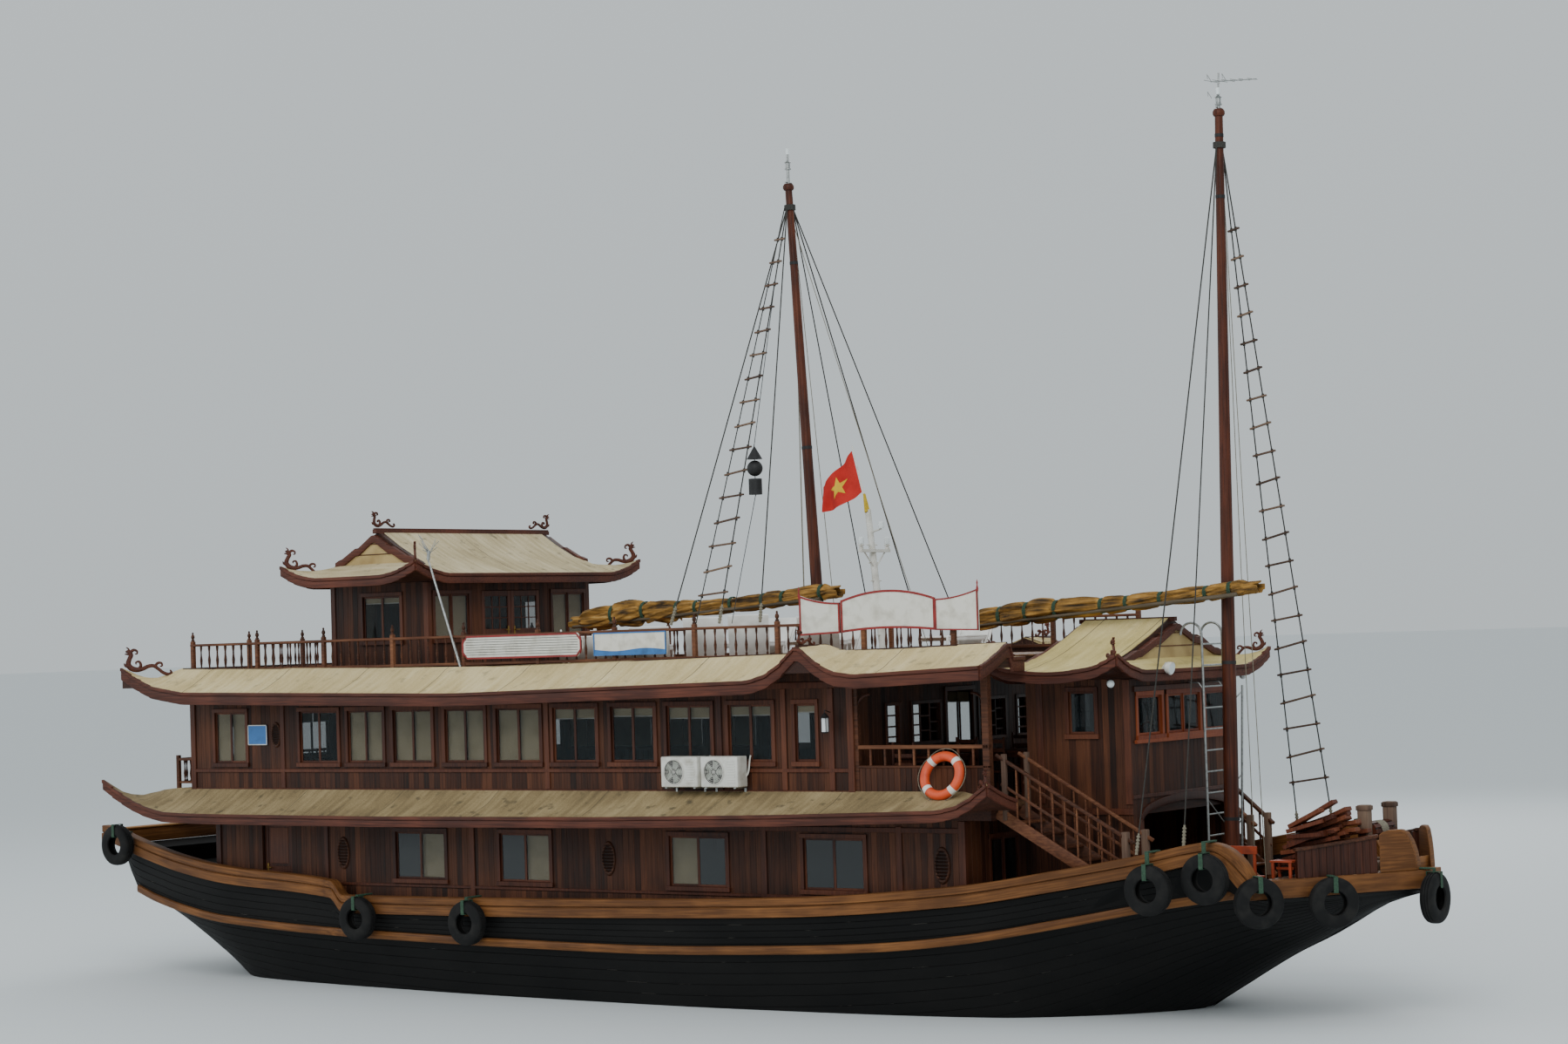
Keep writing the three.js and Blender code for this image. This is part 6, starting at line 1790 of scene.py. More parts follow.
furniture = []
for x, y in ((5.2, -1.75), (5.2, 1.75), (5.75, 0.0)):
    furniture.append(((x - 0.35, y - 0.6, 0.73), (x + 0.35, y + 0.6, 0.765)))
    furniture.append(((x - 0.3, y - 0.55, 0.66), (x + 0.3, y + 0.55, 0.73)))
    for dx in (-0.3, 0.3):
        for dy in (-0.54, 0.54):
            furniture.append(((x + dx - 0.03, y + dy - 0.03, 0.0), (x + dx + 0.03, y + dy + 0.03, 0.73)))
    furniture += chair(x, y + 0.72, 1) + chair(x, y - 0.72, -1)
lift = Vector((0, 0, SALOON_FLOOR))
furniture = [(Vector(low) + lift, Vector(high) + lift) for low, high in furniture]
done(blocks(furniture, 0.004), "saloon_tables_and_chairs", frame_wood)

# %% Corner brackets under the eaves
brackets = []
for sign in (-1, 1):
    for x in (BAL["aft"] + 0.045, BAL["fore"] - 0.06):
        for toward in (-1, 1):
            if (x > 6 and toward > 0) or (x < 5 and toward < 0):
                continue
            arc = [(x + toward * 0.26 * (1 - math.cos(t)), sign * 3.0, 4.99 - 0.26 * (1 - math.sin(t)))
                   for t in np.linspace(0.15, math.pi / 2, 7)]
            brackets.append(rope(arc, 0.022, 1))
done(join(brackets), "eave_brackets", frame_wood)

# %% Lanterns and lamps
LANTERNS = ((4.12, -3.12, 4.52, -1), (4.12, 3.12, 4.52, 1))  # place on the wall, and which way is out
lantern_frames, lantern_panes = [], []
for x, y, z, out in LANTERNS:
    hung = y + out * 0.1
    hook = [(x, y - out * 0.04, z + 0.2), (x, hung, z + 0.24), (x, hung, z + 0.19)]
    lantern_frames.append(rope(hook, 0.008, 1))
    for dx in (-0.045, 0.045):
        for dy in (-0.045, 0.045):
            low, high = (x + dx, hung + dy, z - 0.1), (x + dx * 0.9, hung + dy * 0.9, z + 0.12)
            lantern_frames.append(rod(low, high, 0.005, sides=6))
    cap = turned([(0, 0.2), (0.02, 0.19), (0.075, 0.12), (0.0, 0.12)], 12)
    base = turned([(0, -0.12), (0.04, -0.12), (0.055, -0.1), (0, -0.1)], 12)
    for part in (cap, base):
        part.location = (x, hung, z)
        lantern_frames.append(settle(part))
    pane = block((x - 0.038, hung - 0.038, z - 0.1), (x + 0.038, hung + 0.038, z + 0.115))
    lantern_panes.append(settle(pane))
done(join(lantern_frames), "lantern_frames", black_paint)
done(join(lantern_panes), "lantern_panes", lamp_glass)

# %% Stairs
STAIR = {"top": (7.03, 3.08), "foot": (9.0, 1.72), "outer": (2.88, 2.23), "inner": (2.23, 1.64), "treads": 6}


def stair_point(t, line, sign, lift):
    """A point over a stair's line, t being 0 at its top and 1 at its foot."""
    (x0, z0), (x1, z1) = STAIR["top"], STAIR["foot"]
    y = sign * (line[0] + (line[1] - line[0]) * t)
    return Vector((x0 + (x1 - x0) * t, y, z0 + (z1 - z0) * t + lift))


sides, treads, stair_balusters, newels = [], [], [], []
for sign in (-1, 1):
    for line in (STAIR["outer"], STAIR["inner"]):
        # String board, handrail and middle rail: the ends as shares of the way, the lift, width and depth
        for t0, t1, lift, wide, deep in ((0, 1, 0.09, 0.05, 0.18), (0, 1, 0.96, 0.075, 0.05),
                                         (0.03, 0.97, 0.56, 0.03, 0.045)):
            ends = (stair_point(t, line, sign, lift) for t in (t0, t1))
            sides.append(spar(*ends, wide, deep))
        for t, wide in ((0.06, 0.038), (0.94, 0.05)):
            p = stair_point(t, line, sign, 0)
            newels.append(((p.x - wide, p.y - wide, p.z + 0.05), (p.x + wide, p.y + wide, p.z + 1.05)))
        for k in range(1, 10):
            p = stair_point(0.06 + 0.088 * k, line, sign, 0)
            low, high = (p.x - 0.013, p.y - 0.013, p.z + 0.16), (p.x + 0.013, p.y + 0.013, p.z + 0.95)
            stair_balusters.append((low, high))
    for i in range(1, STAIR["treads"] + 1):
        t = i / (STAIR["treads"] + 1)
        a, b = (stair_point(t, line, sign, 0.12) for line in (STAIR["outer"], STAIR["inner"]))
        y0, y1 = sorted((a.y, b.y))
        treads.append(((a.x - 0.12, y0 + 0.02, a.z - 0.018), (a.x + 0.12, y1 - 0.02, a.z + 0.018)))
done(timbers(sides, 0.008, 2), "stair_sides_and_rails", rail_wood,
     stands_for=("stairs_starboard", "stairs_port"))
done(blocks(treads, 0.008), "stair_treads", rail_wood)
done(blocks(stair_balusters, 0.004), "stair_balusters", rail_wood)
done(blocks(newels, 0.012, 2), "stair_newel_posts", weathered_wood)

# %% Small balcony at the stern, on the skirt roof
stern_bars, stern_spindles = [], []
for sign in (-1, 1):
    x0, x1, y0 = -10.95, -10.31, sign * 2.75
    stern_bars.append(((x0 - 0.035, y0 - 0.035, 3.3), (x0 + 0.035, y0 + 0.035, 4.08)))
    stern_bars.append(((x0, y0 - 0.03, 3.98), (x1, y0 + 0.03, 4.03)))
    stern_bars.append(((x0, y0 - 0.02, 3.56), (x1, y0 + 0.02, 3.6)))
    stern_spindles += [(x0 + (x1 - x0) * k / 4, y0, 3.59) for k in range(1, 4)]
stern_bars.append(((-10.98, -2.75, 3.98), (-10.92, 2.75, 4.03)))
stern_bars.append(((-10.97, -2.75, 3.56), (-10.93, 2.75, 3.6)))
stern_spindles += [(-10.95, y, 3.59) for y in np.arange(-2.55, 2.6, 0.2)]
done(blocks(stern_bars, 0.006), "stern_balcony_rails", rail_wood)
done(balusters(stern_spindles, 0.4), "stern_balcony_balusters", rail_wood, smooth=40)

# %% [markdown]
# ## Fittings
# Two outdoor units for the cabins hang on the starboard wall. A fan guard could be a flat picture, but rings
# and spokes of wire show its depth. A life ring leans on the skirt roof, and a steel ladder with hooked ends
# leads to the wheelhouse roof.

# %% Outdoor units
CASES = ((0.95, 1.69), (1.76, 2.5))
FAN = 0.195
BEND = ((-0.05, -3.16, 3.7), (0.03, -3.13, 3.72), (0.04, -3.1, 4.0), (0.04, -3.07, 4.05))
case_parts, fan_wires, fan_well_painted_shades, fan_blades, brackets = [], [], [], [], []
for x0, x1 in CASES:
    y0, y1, z0, z1 = -3.38, -3.11, 3.56, 4.05
    case_parts.append(eased(settle(block((x0, y0, z0), (x1, y1, z1))), 0.02, 3))
    cx, cz = x0 + 0.27, (z0 + z1) / 2

    def round_fan(r, t, y):
        """A point round the fan's middle."""
        return cx + r * math.cos(t), y, cz + r * math.sin(t)

    # A black disc behind the fan: painted shade of the open well inside the case
    fan_well_painted_shades.append(rod((cx, y0 - 0.001, cz), (cx, y0 + 0.004, cz), FAN, sides=32))
    for k in range(1, 8):
        circle = [round_fan(FAN * k / 7, t, y0 - 0.012) for t in np.linspace(0, 2 * math.pi, 29)]
        fan_wires.append(rope(circle, 0.0028 if k < 7 else 0.008, 1))
    for k in range(8):
        fan_wires.append(rod((cx, y0 - 0.01, cz), round_fan(FAN, math.pi / 4 * k, y0 - 0.01), 0.003, sides=6))
    for k in range(5):
        tip = round_fan(0.17, 2 * math.pi * k / 5, y0 - 0.004)
        fan_blades.append(spar((cx, y0 - 0.004, cz), tip, 0.004, 0.09))
    for k in range(9):
        z = z0 + 0.07 + 0.042 * k
        case_parts.append(settle(block((x0 + 0.52, y0 - 0.006, z), (x1 - 0.05, y0 + 0.004, z + 0.022))))
    for x in (x0 + 0.08, x1 - 0.08):
        brackets += [((x - 0.02, y0 + 0.02, 3.535), (x + 0.02, -3.06, 3.56)),
                     ((x - 0.02, -3.08, 3.3), (x + 0.02, -3.05, 3.56))]
done(join(case_parts), "outdoor_unit_cases", white_enamel, stands_for=("outdoor_units",))
done(join(fan_well_painted_shades), "outdoor_unit_fan_wells", black_paint)
done(join(fan_blades), "outdoor_unit_fans", grey_sheet)
done(join(fan_wires), "outdoor_unit_grilles", white_enamel)
done(blocks(brackets, 0.003), "outdoor_unit_brackets", galvanised)
pipes = [rope([(x1 + dx, y, z) for dx, y, z in BEND], 0.014, 2, True) for _, x1 in CASES]
done(join(pipes), "outdoor_unit_pipes", white_enamel)

# %% Life ring
ring_low, ring_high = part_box("life_ring")
RING = {"center": (ring_low + ring_high) / 2, "middle": 0.31, "tube": 0.075, "lean": 0.35}
begin()
bpy.ops.mesh.primitive_torus_add(major_radius=RING["middle"], minor_radius=RING["tube"], major_segments=56,
                                 minor_segments=20, rotation=(math.pi / 2 - RING["lean"], 0, 0),
                                 location=RING["center"])
ring = settle(bpy.context.object)
done(ring, "life_ring_body", bright_orange, smooth=60, stands_for=("life_ring",))
tilt = Matrix.Rotation(math.pi / 2 - RING["lean"], 4, "X")


def round_ring(r, t, lift=0.0):
    """A point round the middle of the life ring."""
    return RING["center"] + tilt @ Vector((r * math.cos(t), r * math.sin(t), lift))


bands, line = [], []
for k in range(4):
    turn = math.pi / 4 + math.pi / 2 * k
    arc = [round_ring(RING["middle"], turn - 0.12 + 0.04 * j) for j in range(7)]
    bands.append(rope(arc, RING["tube"] + 0.003, 4))
for j in range(65):
    t = math.pi / 4 + 2 * math.pi * j / 64
    slack = 0.03 * abs(math.sin(2 * (t - math.pi / 4)))
    line.append(round_ring(RING["middle"] + RING["tube"] + 0.012 + slack, t, 0.01))
done(join(bands), "life_ring_bands", white_band, smooth=60)
done(rope(line, 0.006, 1), "life_ring_grab_line", grey_rope)

# %% Steel ladder
LADDER_X, LADDER_SIDES, HOOK, HOOK_Z = 9.01, (0.06, 0.72), 0.185, 5.75
tubes, rungs = [], []
for y in LADDER_SIDES:
    hook = [(LADDER_X, y, 1.72), (LADDER_X, y, HOOK_Z)]
    for t in np.linspace(0.2, math.pi, 12):
        hook.append((LADDER_X - HOOK + HOOK * math.cos(t), y, HOOK_Z + HOOK * math.sin(t)))
    tubes.append(rope(hook, 0.02, 3))
    tubes.append(rope([(LADDER_X, y, 4.9), (8.93, y, 5.0), (8.75, y, 5.02)], 0.012, 2))
left, right = LADDER_SIDES
for z in np.arange(1.97, 5.7, 0.33):
    rungs.append(rod((LADDER_X, left, z), (LADDER_X, right, z), 0.014, sides=10))
rungs.append(rod((LADDER_X, left, 3.2), (LADDER_X, right, 2.7), 0.009, sides=8))
done(join(tubes + rungs), "boarding_ladder", galvanised,
     stands_for=("steel_ladder",))

# %% Lamp pipe beside the fore mast, with its struts
PIPE_STRUTS = [  # height on the pipe, and the strut's far end
    (4.86, (9.33, 0.1, 4.56)), (3.58, (9.3, 0.12, 3.25)), (2.88, (9.24, 0.14, 2.5)),
    (2.88, (9.36, 0.5, 1.75)),
]
pipe_head, pipe_foot = Vector((9.56, 0.3, 4.95)), Vector((9.42, 0.3, 1.72))
struts = [rod(pipe_foot, pipe_head, 0.018, sides=12)]
for z, end in PIPE_STRUTS:
    start = pipe_foot.lerp(pipe_head, (z - pipe_foot.z) / (pipe_head.z - pipe_foot.z))
    struts.append(rod(start, end, 0.01, sides=8))
done(join(struts), "lamp_pipe_and_struts", galvanised)

# %% Floodlight, corner lamps and the blank plate
lamps = [rod((8.98, -1.0, 5.27), (9.06, -1.0, 5.25), 0.085, 0.1, 24),
         rod((8.9, -1.0, 5.24), (8.99, -1.0, 5.27), 0.03, 0.085, 16)]
done(join(lamps), "floodlight_housing", white_enamel)
lamp_front = rod((9.06, -1.0, 5.25), (9.066, -1.0, 5.249), 0.088, sides=24)
done(lamp_front, "floodlight_lens", lamp_glass)
globes = []
for x, y, z in ((8.62, -2.1, 5.06), (8.62, 2.1, 5.06)):
    begin()
    bpy.ops.mesh.primitive_uv_sphere_add(radius=0.06, segments=16, ring_count=10, location=(x, y, z))
    globes.append(settle(bpy.context.object))
done(join(globes), "corner_lamps", lamp_glass, smooth=60)
PLATE_SPAN, PLATE_RISE, PLATE_RIM = (-8.78, -8.3), (4.27, 4.63), 0.015
(x0, x1), (z0, z1) = PLATE_SPAN, PLATE_RISE
plate = modify(settle(block((x0, -3.075, z0), (x1, -3.062, z1))), "BEVEL", width=0.004, segments=1)
done(plate, "blank_blue_plate", blue_paint)
rim = [((x0, -3.079, z0), (x1, -3.074, z0 + PLATE_RIM)), ((x0, -3.079, z1 - PLATE_RIM), (x1, -3.074, z1)),
       ((x0, -3.079, z0), (x0 + PLATE_RIM, -3.074, z1)), ((x1 - PLATE_RIM, -3.079, z0), (x1, -3.074, z1))]
done(blocks(rim, 0), "blue_plate_rim", white_enamel)

# %% [markdown]
# ## Bow
# A planked platform narrows to the stem head. Honey-coloured beams edge it, low boarded sides end in rounded
# boards at its nose, and the windlass stands between them. One bent sheet could make a boarded side, but it
# would have no seams, so its boards are set one by one along the platform's edge.

# %% Platform
beams = []
for sign in (-1, 1):
    beams.append(moulding(list(np.linspace(PLATE["aft"] - 0.05, PLATE["fore"], 10)),
                          lambda x: (platform_edge(x, sign), platform_out(sign), (1, 1)),
                          rounded(-0.16, 0.0, -PLATE["depth"], 0.0, 0.02)))
half, top = platform_at(PLATE["fore"])
nose = PLATE["fore"]
crossing = [((nose - 0.16, -half - 0.01, top - 0.275), (nose + 0.03, half + 0.01, top + 0.012))]
for x in (11.4, 11.9, 12.35):
    half, top = platform_at(x)
    crossing.append(((x - 0.06, -half + 0.1, top - 0.25), (x + 0.06, half - 0.1, top - 0.1)))
beams.append(grain_along(blocks(crossing, 0.012, 2), (0, 1, 0)))
done(join(beams), "bow_platform_beams", honey_wood, smooth=30,
     stands_for=("bow_platform",))

PLATFORM_PLANKS = 30
planks = []
half, tip_half = PLATE["half"]
for k in range(PLATFORM_PLANKS):
    a, b = -half + 2 * half * k / PLATFORM_PLANKS, -half + 2 * half * (k + 1) / PLATFORM_PLANKS
    reach = max(abs(a), abs(b))
    if reach < tip_half:
        end = PLATE["fore"] - 0.05
    else:
        end = PLATE["aft"] + (PLATE["fore"] - PLATE["aft"]) * (half - reach) / (half - tip_half) - 0.02
    if end - PLATE["aft"] < 0.15:
        continue
    start, stop = platform_at(PLATE["aft"])[1], platform_at(end)[1]
    planks.append(spar((PLATE["aft"] - 0.02, (a + b) / 2, start - 0.012), (end, (a + b) / 2, stop - 0.012),
                       b - a - 0.006, 0.03))
done(timbers(planks, 0.003), "bow_platform_planks", deck_wood)

# %% Boarded sides of the platform
SIDE = {"aft": 11.45, "fore": 12.27, "boards": 11}
BULWARK = [  # place along the ship and height of the cap
    (SIDE["aft"], 0.43), (SIDE["fore"], 0.54), (12.34, 0.61), (12.51, 0.6), (12.65, 0.2),
]


def upright(x, sign, inset, wide, thick, drop):
    """A board or post that stands along the platform's edge, up to a little below the cap."""
    piece = settle(block((-wide / 2, -thick / 2, -0.01), (wide / 2, thick / 2, between(BULWARK, x) - drop)))
    piece.rotation_euler = (0, 0, -sign * PLATE_TURN)
    piece.location = platform_edge(x, sign, inset)
    return settle(piece)


side_boards, ribs, caps = [], [], []
step = (SIDE["fore"] - SIDE["aft"]) / SIDE["boards"]
wide = step / math.cos(PLATE_TURN) - 0.004
for sign in (-1, 1):
    for k in range(SIDE["boards"]):
        side_boards.append(upright(SIDE["aft"] + step * (k + 0.5), sign, 0.07, wide, 0.036, 0.02))
    ribs += [upright(x, sign, 0.125, 0.07, 0.07, 0.03) for x in (11.48, 11.86, 12.24)]

    def cap_frame(x):
        """Where the cap lies on the boards."""
        return platform_edge(x, sign, 0.04, between(BULWARK, x)), platform_out(sign), (1, 1)

    places = list(np.linspace(SIDE["aft"] - 0.02, SIDE["fore"] + 0.01, 8))
    caps.append(moulding(places, cap_frame, rounded(-0.09, 0.02, -0.035, 0.012, 0.012)))
done(eased(join(side_boards), 0.003), "bow_side_boards", frame_wood)
done(eased(join(ribs), 0.005), "bow_side_ribs", frame_wood)
done(join(caps), "bow_side_caps", rail_wood, smooth=30)

END_OUTLINE = [  # place along the ship and height over the platform
    (12.27, 0.0), (12.27, 0.56), (12.31, 0.6), (12.37, 0.618), (12.49, 0.618), (12.55, 0.57), (12.6, 0.44),
    (12.635, 0.28), (12.655, 0.1), (12.66, 0.0),
]
END_THICK = 0.15
ends = []
for sign in (-1, 1):
    mesh = bpy.data.meshes.new("end_board")
    corners = []
    for depth in (0.0, END_THICK):
        for x, height in END_OUTLINE:
            p_half, p_top = platform_at(x)
            corners.append((x, sign * (p_half - 0.016 - depth), p_top + height))
    n = len(END_OUTLINE)
    faces = [list(range(n)), list(range(2 * n - 1, n - 1, -1))]
    faces += [[i, (i + 1) % n, n + (i + 1) % n, n + i] for i in range(n)]
    mesh.from_pydata(corners, [], faces)
    board = bpy.data.objects.new("end_board", mesh)
    bpy.context.scene.collection.objects.link(board)
    eased(recalculate(board), 0.02, 3)
    ends.append(grain_along(board, Vector(corners[n - 1]) - Vector(corners[0])))
half, top = platform_at(12.58)
sill = blocks([((12.53, -half + 0.13, top - 0.02), (12.6, half - 0.13, top + 0.18))], 0.02, 2)
ends.append(grain_along(sill, (0, 1, 0)))
done(join(ends), "bow_end_boards", honey_wood, smooth=30)

# %% Windlass and bitts
WINDLASS = {"x": 11.9, "half": 0.43, "z": 2.76, "drum": 0.13, "head": 3.18, "axle": 0.05}
STAVES, TURNS = 10, 7
wx, wz, head = WINDLASS["x"], WINDLASS["z"], WINDLASS["head"]
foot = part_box("windlass_frame")[0][2]


def round_drum(r, t, y):
    """A point round the drum's axis."""
    return wx + r * math.cos(t), y, wz + r * math.sin(t)


cheeks = []
for y in (-WINDLASS["half"], WINDLASS["half"]):
    cheeks += [((wx - 0.085, y - 0.08, foot), (wx + 0.085, y + 0.08, head - 0.02)),
               ((wx - 0.1, y - 0.095, head - 0.1), (wx + 0.1, y + 0.095, head - 0.03)),
               ((wx - 0.3, y - 0.05, foot), (wx - 0.08, y + 0.05, foot + 0.14))]
cheeks.append(((wx - 0.08, -WINDLASS["half"], foot), (wx + 0.08, WINDLASS["half"], foot + 0.12)))
drill = settle(rod((wx, -0.7, wz), (wx, 0.7, wz), WINDLASS["axle"] + 0.006, sides=20))
cheek = bored(blocks(cheeks, 0.012, 2), drill)
bpy.data.objects.remove(drill)
done(cheek, "windlass_posts", weathered_wood, stands_for=("windlass_frame",))

barrel = [rod((wx, -0.34, wz), (wx, 0.34, wz), WINDLASS["drum"] - 0.012, sides=24)]
for k in range(STAVES):
    t = 2 * math.pi * k / STAVES
    stave = block((-0.015, -0.335, -0.03), (0.015, 0.335, 0.03))
    stave.rotation_euler = (0, -t, 0)
    stave.location = round_drum(WINDLASS["drum"] - 0.006, t, 0)
    barrel.append(settle(stave))
barrel += [rod((wx, -0.55, wz), (wx, 0.55, wz), WINDLASS["axle"], sides=20),
           spar((wx, 0.555, wz - 0.02), (wx, 0.555, wz + 0.33), 0.05, 0.05),
           rod((wx, 0.54, wz + 0.3), (wx, 0.62, wz + 0.3), 0.018, sides=12)]
done(join(barrel), "windlass_barrel", mast_wood, "windlass_body",
     stands_for=("windlass_drum",))
hoops = []
for y in (-0.3, 0.3):
    hoops.append(rod((wx, y - 0.02, wz), (wx, y + 0.02, wz), WINDLASS["drum"] + 0.004, sides=28))
done(join(hoops), "windlass_hoops", black_paint, "windlass_body")
turns = []
for k in range(TURNS):
    winding = [round_drum(0.135, t, -0.12 + 0.033 * k + 0.0165 * t / math.pi * 0.9)
               for t in np.linspace(0, 2 * math.pi, 25)]
    turns.append(rope(winding, 0.014, 1))
done(join(turns), "windlass_rope_turns", grey_rope, "windlass_body", smooth=60)

# %% Gangplanks, bench and stool on the foredeck
GANGPLANKS, PER_LAYER = 44, 5
stack = []
rng = np.random.default_rng(11)
for k in range(GANGPLANKS):
    layer = k // PER_LAYER
    x = 10.88 + 0.025 * layer + 0.08 * rng.random()
    y = -1.27 + 0.165 * (k % PER_LAYER) + 0.03 * rng.random()
    # The place along the ship where the side boards come near
    clear = PLATE["aft"] + (PLATE["half"][0] - 0.26 + y) / math.tan(PLATE_TURN)
    length = min(0.9 + 0.35 * rng.random() - 0.04 * layer, clear - x)
    z = 2.21 + 0.08 * layer + 0.02 * rng.random()
    tilt = Vector((length, 0.2 * (rng.random() - 0.5), 0.04 + (0.12 + 0.03 * layer) * rng.random()))
    start = Vector((x, y, z + 0.03))
    stack.append(spar(start, start + tilt, 0.13 + 0.04 * rng.random(), 0.06))
done(timbers(stack, 0.005), "stacked_gangplanks", mast_wood)

SEATS = ((10.41, -1.5, 1.75, 0.62, 0.26, 0.42), (11.15, -1.58, 2.16, 0.36, 0.28, 0.26))  # place and size
bench = []
for x0, y0, z, long, deep, high in SEATS:
    left, right, front, seat = x0 - long / 2, x0 + long / 2, y0 - deep / 2, z + high
    for k in range(3):
        low, far = front + deep / 3 * k + 0.005, front + deep / 3 * (k + 1) - 0.005
        bench.append(((left, low, seat - 0.03), (right, far, seat)))
    for sx in (-1, 1):
        for sy in (-1, 1):
            cx, cy = x0 + sx * (long / 2 - 0.04), y0 + sy * (deep / 2 - 0.035)
            bench.append(((cx - 0.02, cy - 0.02, z), (cx + 0.02, cy + 0.02, seat - 0.03)))
    bench.append(((left + 0.04, y0 - 0.012, z + 0.12), (right - 0.04, y0 + 0.012, z + 0.16)))
# The bench has a back on two posts
bench += [((10.12, -1.64, 2.17), (10.16, -1.6, 2.62)), ((10.66, -1.64, 2.17), (10.7, -1.6, 2.62)),
          ((10.1, -1.645, 2.5), (10.72, -1.6, 2.62))]
done(blocks(bench, 0.004), "foredeck_bench_and_stool", bench_orange)

# %% [markdown]
# ## Masts and furled sails
# The masts are tapered poles with iron bands and a thin pole with a lamp above. Each sail is furled along
# its boom in long folds, held in by green lashings. A cloth simulation could fold it, but folds that are
# calculated keep to the boom and are the same each time.

# %% Masts
MASTS = {
    "fore": {"foot": (9.43, 0, 1.71), "head": (9.68, 0, 13.8), "radius": (0.125, 0.062), "pole": 0.33},
    "main": {"foot": (1.8, 0, 5.5), "head": (1.42, 0, 13.55), "radius": (0.105, 0.06), "pole": 0.6},
}


def mast_at(mast, z):
    """Middle and radius of a mast at a height."""
    t = (z - mast["foot"][2]) / (mast["head"][2] - mast["foot"][2])
    spot = Vector(mast["foot"]).lerp(Vector(mast["head"]), t)
    return spot, mast["radius"][0] + (mast["radius"][1] - mast["radius"][0]) * t


def collar(mast, z, grow, tall, sides=24):
    """A tapered ring's outer shape round a mast, thicker than the mast by grow."""
    (low, r0), (high, r1) = mast_at(mast, z - tall / 2), mast_at(mast, z + tall / 2)
    return rod(low, high, r0 + grow, r1 + grow, sides)


LAMP_BODY = [(0, 0), (0.055, 0), (0.055, 0.02), (0.04, 0.03), (0.04, 0.11), (0.06, 0.12), (0.0, 0.17)]
TRUCK = [(0, -0.05), (0.08, -0.05), (0.095, -0.02), (0.095, 0.02), (0.07, 0.06), (0, 0.06)]
bands, lights = [], []
for key, mast in MASTS.items():
    low, head, top = Vector(mast["foot"]), Vector(mast["head"]), mast["pole"]
    pole = rod(low, head, *mast["radius"], 24)
    bands += [collar(mast, z, 0.006, 0.05) for z in (head.z - 0.35, head.z - 1.3, low.z + 1.2, low.z + 3.6)]
    cap = turned(TRUCK, 20)
    cap.location = head
    foot = collar(mast, low.z + 0.06, 0.035, 0.11)
    done(join([pole, settle(cap), foot]), key + "_mast_pole", mast_wood, smooth=40,
         stands_for=(key + "_mast",))
    lamp_body = turned(LAMP_BODY, 16)
    lamp_body.location = head + Vector((0, 0, top * 0.5 if key == "main" else 0.12))
    thin = [rod(head, head + Vector((0, 0, top)), 0.03, 0.018, 12), settle(lamp_body),
            rod(head + Vector((0, -0.09, 0.08)), head + Vector((0, 0.09, 0.08)), 0.012, sides=8)]
    done(join(thin), key + "_masthead_pole", galvanised, smooth=40)
    lights.append(rod(head + Vector((0, 0, top - 0.04)), head + Vector((0, 0, top + 0.06)), 0.034, 0.03, 16))
done(join(bands), "mast_bands", black_paint)
done(join(lights), "masthead_lamps", lamp_glass, smooth=40)

# %% Television aerial on the fore mast
head = Vector(MASTS["fore"]["head"])
aerial = [rod(head + Vector((0, 0, 0.3)), head + Vector((0.02, 0, 0.62)), 0.014, sides=8),
          rod(head + Vector((-0.12, 0, 0.5)), head + Vector((0.62, 0.1, 0.46)), 0.009, sides=8)]
for k in range(6):
    c = head + Vector((-0.1 + 0.13 * k, 0.02 * k, 0.5 - 0.006 * k))
    reach = 0.2 - 0.018 * k
    aerial.append(rod(c - Vector((0.03, reach, 0)), c + Vector((0.03, reach, 0)), 0.005, sides=6))
for a, b in ((-0.14, 0.35), (-0.14, 0.62), (0.12, 0.6)):
    loop = [Vector((a, 0.05, b - 0.1)), Vector((a - 0.04, 0.0, b)), Vector((a, -0.06, b - 0.08))]
    aerial.append(rope([head + point for point in loop], 0.005, 1))
done(join(aerial), "television_aerial", galvanised)

# %% Small aerial on a leaning pole by the pavilion
foot, tip = Vector((-3.75, -2.88, 5.52)), Vector((-4.41, -2.92, 7.44))
whip = [rod(foot, tip, 0.022, 0.016, 10), rod(tip, tip + Vector((0.02, 0, 0.16)), 0.03, sides=10)]
rng = np.random.default_rng(7)
for k in range(14):
    start = tip + Vector((0.02, 0, 0.06 + 0.008 * k))
    reach = Vector((0.5 * (rng.random() - 0.5), 0.3 * (rng.random() - 0.5), 0.05 + 0.26 * rng.random()))
    whip.append(rod(start, start + reach, 0.005, sides=5))
done(join(whip), "pavilion_aerial", galvanised)

# %% Furled sails
BOOM_SIDE = -0.33
ATHWART = Vector((0, 1, 0))
BOOMS = {
    "fore": {"heel": (10.07, 6.44), "tip": (5.12, 6.06), "radius": 0.15, "collar": 6.39, "slack": 0.0,
             "seed": 5},
    "main": {"heel": (2.26, 6.63), "tip": (-3.15, 6.29), "radius": 0.17, "collar": 6.59, "slack": 0.02,
             "seed": 9},
}


def bundle_girth(boom, s, length):
    """Radius of the bundle and how far its middle rises: the after part is fat, and its belly stays level."""
    slim = boom["radius"] * (0.8 + 0.14 * s / length)
    after, fore = ((s - 0.8 * length) / (0.2 * length)) ** 2, (s / 0.5) ** 2
    swell = 0.42 * math.exp(-after) + 0.16 * math.exp(-fore)
    return slim * (1 + swell), slim * swell * 0.9


LASHING_PITCH = 0.62
BUNDLE_GRID = (250, 84)


